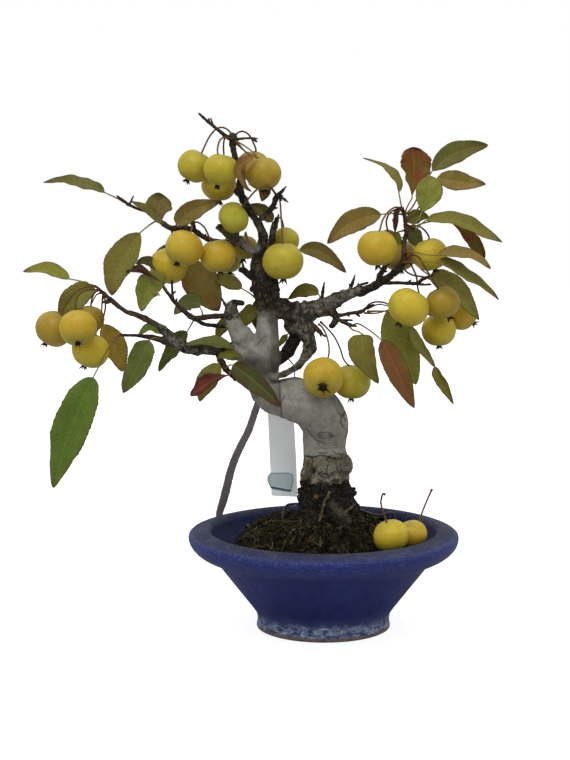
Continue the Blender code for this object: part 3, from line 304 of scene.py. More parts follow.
def new_group(name: str, inputs: dict[str, tuple[str, float]],
              outputs: Sequence[str]) -> tuple[bpy.types.NodeTree, bpy.types.Node, bpy.types.Node]:
    """An empty shader group.

    Args:
        name: the group's name.
        inputs: socket type and default value by socket name.
        outputs: names of the value outputs.

    Returns:
        The tree, its input node and its output node.
    """
    tree = bpy.data.node_groups.new(name, "ShaderNodeTree")
    for key, (kind, value) in inputs.items():
        socket = tree.interface.new_socket(name=key, in_out="INPUT", socket_type=kind)
        if kind == "NodeSocketFloat":
            socket.default_value = value
    for key in outputs:
        tree.interface.new_socket(name=key, in_out="OUTPUT", socket_type="NodeSocketFloat")
    return tree, tree.nodes.new("NodeGroupInput"), tree.nodes.new("NodeGroupOutput")


def mottle_group() -> bpy.types.NodeTree:
    """Soft patches at two scales: what sun, age and handling leave on any surface."""
    tree, source, sink = new_group(
        "mottle", {"Vector": ("NodeSocketVector", 0.0), "Scale": ("NodeSocketFloat", 100.0),
                   "Low": ("NodeSocketFloat", 0.4), "High": ("NodeSocketFloat", 0.6)}, ["Mask"])
    graph = Graph(tree)
    wide = graph.noise(source.outputs["Vector"], source.outputs["Scale"], 3.0, 0.6, 0.6)
    fine = graph.noise(source.outputs["Vector"], graph.times(source.outputs["Scale"], 4.3), 4.0)
    both = graph.math("ADD", graph.times(wide, 0.65), graph.times(fine, 0.35))
    mask = graph.ramp(both, source.outputs["Low"], source.outputs["High"])
    tree.links.new(mask, sink.inputs["Mask"])
    return tree


def speck_group() -> bpy.types.NodeTree:
    """Small round specks of uneven size, such as pores, lenticels and glaze pits."""
    tree, source, sink = new_group(
        "specks", {"Vector": ("NodeSocketVector", 0.0), "Scale": ("NodeSocketFloat", 500.0),
                   "Size": ("NodeSocketFloat", 0.2)}, ["Mask"])
    graph = Graph(tree)
    distance = graph.voronoi(source.outputs["Vector"], source.outputs["Scale"])
    patchy = graph.noise(source.outputs["Vector"], graph.times(source.outputs["Scale"], 0.31), 2.0)
    size = graph.times(source.outputs["Size"], graph.times(patchy, 2.0))
    inside = graph.math("SUBTRACT", size, distance)
    mask = graph.ramp(inside, 0.0, 0.08)
    tree.links.new(mask, sink.inputs["Mask"])
    return tree


def relief_group() -> bpy.types.NodeTree:
    """Fine uneven relief for bump: a grain and a softer lumpiness under it."""
    tree, source, sink = new_group(
        "relief", {"Vector": ("NodeSocketVector", 0.0), "Scale": ("NodeSocketFloat", 900.0),
                   "Grain": ("NodeSocketFloat", 0.5)}, ["Height"])
    graph = Graph(tree)
    soft = graph.noise(source.outputs["Vector"], source.outputs["Scale"], 3.0)
    grain = graph.noise(source.outputs["Vector"], graph.times(source.outputs["Scale"], 5.1), 3.0, 0.7)
    height = graph.math("ADD", soft, graph.times(grain, source.outputs["Grain"]))
    tree.links.new(height, sink.inputs["Height"])
    return tree


@dataclass
class Effects:
    """The shader groups that several finishes share."""

    mottle: bpy.types.NodeTree = field(default_factory=mottle_group)
    specks: bpy.types.NodeTree = field(default_factory=speck_group)
    relief: bpy.types.NodeTree = field(default_factory=relief_group)


def new_material(name: str, roughness: float, specular: float = 0.5) -> tuple[
        Material, Graph, bpy.types.Node]:
    """A material with a Principled shader.

    Args:
        name: the material's name.
        roughness: of the whole surface.
        specular: the specular level, 0.5 as for most surfaces.

    Returns:
        The material, the graph of its tree and its Principled node.
    """
    material = bpy.data.materials.new(name)
    material.use_nodes = True
    shader = material.node_tree.nodes["Principled BSDF"]
    shader.inputs["Roughness"].default_value = roughness
    shader.inputs["Specular IOR Level"].default_value = specular
    shader.inputs["Metallic"].default_value = 0.0
    return material, Graph(material.node_tree), shader


@dataclass(frozen=True)
class BarkFinish:
    """Bark, coloured point by point by BarkPainter and grained here."""

    name: str = "bark_skin"
    grain_scale: float = 1500.0
    grain_depth: float = 0.00022

    def material(self, effects: Effects) -> Material:
        """Build the material from the mesh's bark attribute."""
        material, graph, shader = new_material(self.name, 0.86, 0.12)
        vector = graph.coords()
        tint = graph.attribute("bark").outputs["Color"]
        pale = graph.mottle(effects, vector, 900.0, 0.46, 0.62)
        pores = graph.specks(effects, vector, 1100.0, 0.24)
        colour = graph.wash(tint, pale, 0.12, srgb(176, 172, 158))
        cloud = graph.mottle(effects, vector, 120.0, 0.42, 0.62)
        colour = graph.wash(colour, cloud, 0.50, (0.58, 0.57, 0.53), "MULTIPLY")
        light = graph.mottle(effects, vector, 210.0, 0.54, 0.70)
        colour = graph.wash(colour, light, 0.40, (1.55, 1.55, 1.60), "MULTIPLY")
        colour = graph.wash(colour, pores, 0.34, srgb(34, 30, 24))
        spots = graph.specks(effects, vector, 520.0, 0.20)
        colour = graph.wash(colour, spots, 0.30, srgb(52, 48, 40))
        graph.feed(shader.inputs["Base Color"], colour)
        graph.roughen(shader, effects, vector, self.grain_scale, 0.6, self.grain_depth)
        return material


@dataclass(frozen=True)
class LeafFinish:
    """Leaf blades: midrib, side veins, mottling, dry margins and a paler underside."""

    name: str = "leaf_skin"
    vein_spacing: float = 4.1
    vein_rise: float = 0.85

    def material(self, effects: Effects) -> Material:
        """Build the material from the blade attributes: across, along and margin in millimetres."""
        material, graph, shader = new_material(self.name, 0.60, 0.22)
        vector = graph.coords()
        tint = graph.attribute("tint").outputs["Color"]
        blade = graph.attribute("blade")
        across, along, margin = graph.parts(blade.outputs["Color"])
        under = blade.outputs["Alpha"]
        beside = graph.math("ABSOLUTE", across)
        wander = graph.times(graph.math("SUBTRACT", graph.noise(vector, 260.0, 2.0), 0.5), 1.6)
        climb = graph.math("SUBTRACT", graph.math("ADD", along, wander), graph.times(beside, self.vein_rise))
        step = graph.math("FRACT", graph.math("DIVIDE", climb, self.vein_spacing))
        from_vein = graph.math("ABSOLUTE", graph.math("SUBTRACT", step, 0.5))
        veins = graph.ramp(from_vein, 0.02, 0.11, 1.0, 0.0)
        veins = graph.times(veins, graph.ramp(margin, 0.4, 3.0))
        midrib = graph.ramp(beside, 0.15, 0.60, 1.0, 0.0)
        net = graph.ramp(graph.voronoi(vector, 900.0, "DISTANCE_TO_EDGE"), 0.0, 0.10, 1.0, 0.0)
        blotch = graph.mottle(effects, vector, 180.0, 0.40, 0.62)
        fleck = graph.mottle(effects, vector, 750.0, 0.44, 0.60)
        colour = graph.wash(tint, blotch, 0.30, (0.42, 0.42, 0.36), "MULTIPLY")
        colour = graph.wash(colour, fleck, 0.20, (1.30, 1.22, 1.05), "MULTIPLY")
        colour = graph.wash(colour, net, 0.08, (0.62, 0.60, 0.50), "MULTIPLY")
        colour = graph.wash(colour, veins, 0.12, srgb(52, 58, 26))
        colour = graph.wash(colour, midrib, 0.20, srgb(164, 150, 84))
        colour = graph.wash(colour, under, 0.30, srgb(150, 150, 116))
        rim = graph.ramp(graph.math("ADD", margin, graph.times(wander, 0.5)), 0.15, 0.9, 1.0, 0.0)
        colour = graph.wash(colour, rim, 0.55, srgb(92, 52, 28))
        graph.feed(shader.inputs["Base Color"], colour)
        dips = graph.times(graph.math("MAXIMUM", veins, midrib), -0.8)
        grain = graph.relief(effects, vector, 700.0, 0.3)
        height = graph.math("ADD", graph.math("ADD", dips, grain), graph.times(net, -0.3))
        graph.feed(shader.inputs["Normal"], graph.bump(height, 0.00015))
        return material


@dataclass(frozen=True)
class TintFinish:
    """A surface coloured by its own tint attribute: petioles, stalks, calyces, moss, fibres and grit."""

    name: str
    roughness: float = 0.7
    grain_scale: float = 1400.0
    grain_depth: float = 0.00012
    contrast: float = 0.35
    specular: float = 0.2

    def material(self, effects: Effects) -> Material:
        """Build the material."""
        material, graph, shader = new_material(self.name, self.roughness, self.specular)
        vector = graph.coords()
        tint = graph.attribute("tint").outputs["Color"]
        patch = graph.mottle(effects, vector, self.grain_scale * 0.5, 0.42, 0.60)
        colour = graph.wash(tint, patch, self.contrast, (0.38, 0.36, 0.33), "MULTIPLY")
        graph.feed(shader.inputs["Base Color"], colour)
        graph.roughen(shader, effects, vector, self.grain_scale, 0.6, self.grain_depth)
        return material


@dataclass(frozen=True)
class FruitFinish:
    """Ripe crabapple skin: waxy, with fine lenticels and a soft bloom."""

    name: str = "fruit_wax"

    def material(self, effects: Effects) -> Material:
        """Build the material from the fruit's tint attribute."""
        material, graph, shader = new_material(self.name, 0.46, 0.28)
        vector = graph.coords()
        tint = graph.attribute("tint").outputs["Color"]
        cloud = graph.mottle(effects, vector, 130.0, 0.38, 0.66)
        dots = graph.specks(effects, vector, 520.0, 0.13)
        dust = graph.mottle(effects, vector, 900.0, 0.48, 0.64)
        colour = graph.wash(tint, cloud, 0.60, (0.80, 0.71, 0.50), "MULTIPLY")
        colour = graph.wash(colour, dots, 0.30, srgb(214, 200, 104))
        colour = graph.wash(colour, dust, 0.08, srgb(220, 206, 120))
        graph.feed(shader.inputs["Base Color"], colour)
        graph.feed(shader.inputs["Roughness"], graph.ramp(cloud, 0.0, 1.0, 0.38, 0.52))
        graph.roughen(shader, effects, vector, 420.0, 0.25, 0.00010)
        return material


@dataclass(frozen=True)
class GlazeFinish:
    """Matt cobalt glaze, worn grey on the lip, with a lime bloom above a bare clay foot; the inside of the bowl is
    darkened as painted shade.
    """

    name: str = "cobalt_glaze"
    foot_line: float = 0.0027
    bloom_top: float = 0.0125
    lip_line: float = 0.0560
    crest_line: float = 0.0673

    def material(self, effects: Effects) -> Material:
        """Build the material from object coordinates: height tells foot, wall and lip apart."""
        material, graph, shader = new_material(self.name, 0.52, 0.20)
        vector = graph.coords()
        height = graph.parts(vector)[2]
        ragged = graph.times(graph.math("SUBTRACT", graph.noise(vector, 90.0, 5.0, 0.6), 0.5), 0.010)
        level = graph.math("ADD", height, ragged)
        cloud = graph.mottle(effects, vector, 34.0, 0.38, 0.64)
        brush = graph.mottle(effects, graph.scaled(vector, (1.0, 1.0, 3.2)), 120.0, 0.42, 0.62)
        fine = graph.mottle(effects, vector, 520.0, 0.44, 0.62)
        pits = graph.specks(effects, vector, 330.0, 0.12)
        wear = graph.specks(effects, vector, 620.0, 0.26)
        scuffs = graph.mottle(effects, graph.scaled(vector, (2.6, 2.6, 0.6)), 170.0, 0.62, 0.70)
        colour = graph.mix(cloud, srgb(27, 35, 92), srgb(38, 48, 112))
        colour = graph.wash(colour, brush, 0.30, srgb(46, 56, 118))
        colour = graph.wash(colour, fine, 0.25, srgb(22, 29, 74))
        colour = graph.wash(colour, pits, 0.40, srgb(66, 76, 124))
        edge = graph.ramp(level, self.lip_line - 0.002, self.lip_line + 0.003)
        colour = graph.wash(colour, edge, 0.60, graph.mix(brush, srgb(34, 45, 106), srgb(54, 66, 126)))
        steady = graph.math("ADD", height, graph.times(ragged, 0.35))
        crest = graph.ramp(steady, self.crest_line - 0.0010, self.crest_line + 0.0012)
        x, y, _ = graph.parts(vector)
        radius = graph.math("SQRT", graph.math("ADD", graph.times(x, x), graph.times(y, y)))
        # The inside of the bowl, below the lip, is darkened towards srgb(26, 29, 48): painted shade.
        inner = graph.ramp(graph.math("SUBTRACT", radius, graph.times(height, 0.768)), 0.0330, 0.0350, 0.55, 0.0)
        colour = graph.mix(inner, colour, srgb(26, 29, 48))
        dusty = graph.mix(cloud, srgb(40, 43, 64), srgb(66, 69, 88))
        dusty = graph.wash(dusty, fine, 0.5, srgb(38, 42, 70))
        colour = graph.wash(colour, crest, 0.85, dusty)
        rubbed = graph.times(graph.times(wear, edge), 0.50)
        colour = graph.mix(rubbed, colour, srgb(104, 112, 142))
        colour = graph.wash(colour, scuffs, 0.45, srgb(110, 118, 150))
        haze = graph.ramp(level, 0.0100, 0.0200, 0.42, 0.0)
        colour = graph.mix(haze, colour, srgb(86, 102, 146))
        in_bloom = graph.times(graph.ramp(level, 0.0010, 0.0040),
                              graph.ramp(level, self.bloom_top - 0.004, self.bloom_top, 1.0, 0.0))
        lime = graph.mottle(effects, graph.scaled(vector, (1.0, 1.0, 2.4)), 150.0, 0.42, 0.60)
        runs = graph.mottle(effects, graph.scaled(vector, (2.4, 2.4, 0.5)), 150.0, 0.36, 0.60)
        lime = graph.times(lime, graph.ramp(runs, 0.0, 1.0, 0.45, 1.0))
        colour = graph.mix(graph.times(graph.times(in_bloom, lime), 0.90), colour, srgb(182, 196, 216))
        clay = graph.ramp(graph.math("ADD", height, graph.times(ragged, 0.18)), self.foot_line - 0.0006,
                          self.foot_line + 0.0006, 1.0, 0.0)
        earthen = graph.mix(fine, srgb(140, 122, 110), srgb(92, 80, 76))
        colour = graph.mix(clay, colour, earthen)
        graph.feed(shader.inputs["Base Color"], colour)
        rough = graph.ramp(brush, 0.0, 1.0, 0.46, 0.60)
        rough = graph.math("MAXIMUM", rough, graph.times(crest, 0.72))
        graph.feed(shader.inputs["Roughness"], rough)
        bumps = graph.relief(effects, vector, 180.0, 0.4)
        bumps = graph.math("SUBTRACT", bumps, graph.times(pits, 0.5))
        graph.feed(shader.inputs["Normal"], graph.bump(bumps, 0.00045))
        return material


@dataclass(frozen=True)
class CardFinish:
    """Card, paper or plastic sheet, a little soiled, with a glow of its own colour that brightens it as if lit:
    painted light.
    """

    name: str
    face: Colour
    soil: Colour
    roughness: float = 0.5
    # through: the strength of a glow of the sheet's own colour that brightens it as if lit: painted light.
    through: float = 0.0

    def material(self, effects: Effects) -> Material:
        """Build the material."""
        material, graph, shader = new_material(self.name, self.roughness, 0.45)
        vector = graph.coords()
        smudge = graph.mottle(effects, vector, 70.0, 0.44, 0.70)
        streak = graph.mottle(effects, graph.scaled(vector, (6.0, 6.0, 0.7)), 120.0, 0.52, 0.70)
        specks = graph.specks(effects, vector, 420.0, 0.10)
        colour = graph.wash(self.face, smudge, 0.40, self.soil)
        colour = graph.wash(colour, streak, 0.25, self.soil)
        colour = graph.wash(colour, specks, 0.5, srgb(96, 90, 78))
        graph.feed(shader.inputs["Base Color"], colour)
        # The sheet glows in its own colour with the strength through: painted light.
        graph.feed(shader.inputs["Emission Color"], colour)
        shader.inputs["Emission Strength"].default_value = self.through
        graph.roughen(shader, effects, vector, 260.0, 0.5, 0.00010)
        return material


@dataclass(frozen=True)
class WebbingFinish:
    """Flat woven webbing, patterned along the strap's own length."""

    name: str = "grey_webbing"

    def material(self, effects: Effects) -> Material:
        """Build the material from the blade attribute: across and along in millimetres."""
        material, graph, shader = new_material(self.name, 0.85, 0.2)
        vector = graph.coords()
        across, along, _ = graph.parts(graph.attribute("blade").outputs["Color"])
        warp = graph.math("SINE", graph.times(across, 9.0))
        weft = graph.math("SINE", graph.math("ADD", graph.times(along, 6.0), graph.times(warp, 1.2)))
        weave = graph.ramp(weft, -0.8, 0.8)
        worn = graph.mottle(effects, vector, 160.0, 0.40, 0.62)
        colour = graph.mix(weave, srgb(150, 140, 144), srgb(176, 166, 171))
        colour = graph.wash(colour, worn, 0.35, srgb(126, 116, 118))
        graph.feed(shader.inputs["Base Color"], colour)
        height = graph.math("ADD", weave, graph.ramp(warp, -0.9, 0.9))
        graph.feed(shader.inputs["Normal"], graph.bump(height, 0.00018))
        return material


@dataclass(frozen=True)
class PlainFinish:
    """A dark coated wire or moulded plastic with dust in its grain."""

    name: str
    base: Colour
    dusty: Colour
    roughness: float = 0.5

    def material(self, effects: Effects) -> Material:
        """Build the material."""
        material, graph, shader = new_material(self.name, self.roughness, 0.4)
        vector = graph.coords()
        dust = graph.mottle(effects, vector, 300.0, 0.45, 0.66)
        graph.feed(shader.inputs["Base Color"], graph.wash(self.base, dust, 0.6, self.dusty))
        graph.roughen(shader, effects, vector, 900.0, 0.4, 0.00010)
        return material


# Mesh helpers

def meshed(name: str, shape: Shape) -> bpy.types.Mesh:
    """A mesh made from a bmesh, which is freed."""
    mesh = bpy.data.meshes.new(name)
    shape.to_mesh(mesh)
    shape.free()
    return mesh


def placed(name: str, data: bpy.types.ID) -> bpy.types.Object:
    """A new object in the scene."""
    item = bpy.data.objects.new(name, data)
    bpy.context.scene.collection.objects.link(item)
    return item


def add_piece(name: str, shape: Shape, materials: Sequence[Material],
              replaces: Sequence[str] = ()) -> bpy.types.Object:
    """Turn a bmesh into a piece that rides on the part.

    Args:
        name: the piece's name.
        shape: its bmesh, which is freed.
        materials: its materials, by material index.
        replaces: the CAD nodes that it stands for.

    Returns:
        The object.
    """
    mesh = meshed(name, shape)
    for material in materials:
        mesh.materials.append(material)
    mesh.shade_smooth()
    piece = placed(name, mesh)
    return dress(piece, replaces)


def dress(piece: bpy.types.Object, replaces: Sequence[str] = ()) -> bpy.types.Object:
    """Ride a finished object on the part, hide the CAD parts that it stands for, and log its vertex count."""
    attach(piece, BODY)
    if replaces:
        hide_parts(*replaces)
    LOG.info("%s: %d vertices", piece.name, len(piece.data.vertices))
    return piece


def bake(item: bpy.types.Object) -> bpy.types.Mesh:
    """The mesh of an object as its modifiers make it; the object is removed."""
    bpy.context.view_layer.update()
    evaluated = item.evaluated_get(bpy.context.evaluated_depsgraph_get())
    mesh = bpy.data.meshes.new_from_object(evaluated)
    bpy.data.objects.remove(item)
    return mesh


def cut(item: bpy.types.Object, cutters: Sequence[bpy.types.Object], finish: Material) -> bpy.types.Mesh:
    """An object's mesh, in one material, with cutters taken out of it; all these objects are removed."""
    for cutter in cutters:
        step = item.modifiers.new("cut", "BOOLEAN")
        step.operation = "DIFFERENCE"
        step.solver = "EXACT"
        step.object = cutter
    mesh = bake(item)
    for cutter in cutters:
        bpy.data.objects.remove(cutter)
    mesh.materials.clear()
    mesh.materials.append(finish)
    return mesh


def tubes(routes: Iterable[Sequence[tuple[Vector, float]]], roundness: int) -> Shape:
    """Round closed tubes along routes of (centre, radius) in metres.

    Args:
        routes: one list of centres and radii for each tube.
        roundness: the bevel resolution: 0 gives 4 sides, 1 gives 6 and 2 gives 8.

    Returns:
        A bmesh that holds every tube.
    """
    curve = bpy.data.curves.new("routes", "CURVE")
    curve.dimensions = "3D"
    curve.bevel_depth = 1.0
    curve.bevel_resolution = roundness
    curve.use_fill_caps = True
    curve.twist_mode = "MINIMUM"
    for route in routes:
        spline = curve.splines.new("POLY")
        spline.points.add(len(route) - 1)
        for point, (centre, radius) in zip(spline.points, route):
            point.co = (*centre, 1.0)
            point.radius = radius
    item = placed("routes", curve)
    mesh = bake(item)
    bpy.data.curves.remove(curve)
    shape = bmesh.new()
    shape.from_mesh(mesh)
    bpy.data.meshes.remove(mesh)
    bmesh.ops.remove_doubles(shape, verts=shape.verts, dist=1e-6)
    bmesh.ops.recalc_face_normals(shape, faces=shape.faces)
    return shape


def paint(shape: Shape, name: str, colour_of: Callable[[bmesh.types.BMVert], Sequence[float]]) -> None:
    """Give every vertex of a bmesh a colour attribute of four numbers."""
    layer = shape.verts.layers.float_color.get(name) or shape.verts.layers.float_color.new(name)
    for vert in shape.verts:
        values = colour_of(vert)
        vert[layer] = (*values, 1.0) if len(values) == 3 else tuple(values)


def blend(first: Sequence[float], second: Sequence[float], share: float) -> Colour:
    """A mix of two colours."""
    share = share_between(0.0, 1.0, share)
    return tuple(a + (b - a) * share for a, b in zip(first, second))


def ribbon(centres: Sequence[Vector], place: Callable[[int, float], Vector], cells_across: int,
           thickness: float) -> tuple[Shape, list[bmesh.types.BMVert]]:
    """A thin closed sheet along a route, made from a flat grid that is bent into place.

    Args:
        centres: the route, one point for each row.
        place: the point at a row and at -1 to 1 across it.
        cells_across: how many faces span the width.
        thickness: in metres.

    Returns:
        The bmesh and its underside's vertices. A `spot` layer keeps (row, across) of each vertex.
    """
    rows = len(centres) - 1
    shape = bmesh.new()
    bmesh.ops.create_grid(shape, x_segments=cells_across, y_segments=rows, size=1.0)
    spot = shape.verts.layers.float_vector.new("spot")
    for vert in shape.verts:
        row = round((vert.co.y + 1.0) * 0.5 * rows)
        across = vert.co.x
        vert[spot] = (row, across, 0.0)
        vert.co = place(row, across)
    shape.normal_update()
    back = list(shape.verts)
    facing = {tuple(vert.co): vert.normal.copy() for vert in back}
    skin = bmesh.ops.extrude_face_region(shape, geom=list(shape.faces))
    front = [part for part in skin["geom"] if isinstance(part, bmesh.types.BMVert)]
    for vert in front:
        vert.co += facing[tuple(vert.co)] * (thickness / 2)
    for vert in back:
        vert.co -= facing[tuple(vert.co)] * (thickness / 2)
    bmesh.ops.recalc_face_normals(shape, faces=shape.faces)
    return shape, back

# Tables of the CAD model: routes are (x, z, near, radius) in millimetres on the elevation
TRUNK = {
    "column": [(3, 60, 0, 15), (3, 72, 0, 18.5), (2, 84, 0, 19.5), (1, 95, 0, 19), (1, 104, 0, 17.8),
        (1.5, 112, 0, 16.8), (1, 120, 0, 16), (0.3, 127, 0, 15.2), (0.5, 134, 0, 15.6), (1, 141, 1, 16.3),
        (0, 148, 3, 16.6)],
    "arch": [(0, 138, 1, 14), (0.5, 144.5, 3, 16.8), (-2.5, 151, 6, 16.8), (-8, 156.5, 8.5, 16.2),
        (-14.5, 159.8, 9, 15.6), (-21, 161.8, 7, 15.4), (-27.5, 162.5, 2.5, 13.9), (-34, 162.8, -3.5, 12.2),
        (-38.5, 163, -6.5, 11)],
    "riser": [(-38, 158, -8, 8), (-38.6, 163.5, -8, 10.9), (-41.5, 171, -8, 11.3), (-42.8, 179, -7, 11.6),
        (-42.8, 187, -5, 12.4), (-42, 194, -3, 12.2), (-40.5, 200, -1, 10), (-39.5, 207, 0, 8.3),
        (-39.3, 215, 0, 7.7), (-39.6, 222, 0, 7.2), (-40, 226.5, 0, 7)],
    "leader_foot": [(-40, 220, 0, 5), (-39.5, 229, 0, 8.6), (-39.5, 235, 0, 10.2), (-41.5, 241, 1, 9.2),
        (-44, 247.5, 2, 6.8), (-45.5, 254, 3, 4.8), (-45, 261, 3, 4.1), (-43, 268, 4, 4.2), (-42.2, 275, 5, 3.6),
        (-44, 281, 5, 3.3), (-46.8, 286, 6, 3.2)],
    "leader_top": [(-45.5, 284, 6, 2.4), (-50.5, 291, 6, 3), (-54, 297, 7, 3), (-57, 303, 8, 2.9),
        (-58, 309, 8, 2.7), (-57.7, 315, 8, 2.4), (-59, 321, 8, 2.2), (-61, 328, 8, 2.3), (-62.3, 335, 8, 2.4),
        (-63, 341, 8, 2.5), (-62.4, 344.5, 8, 1.6)],
}
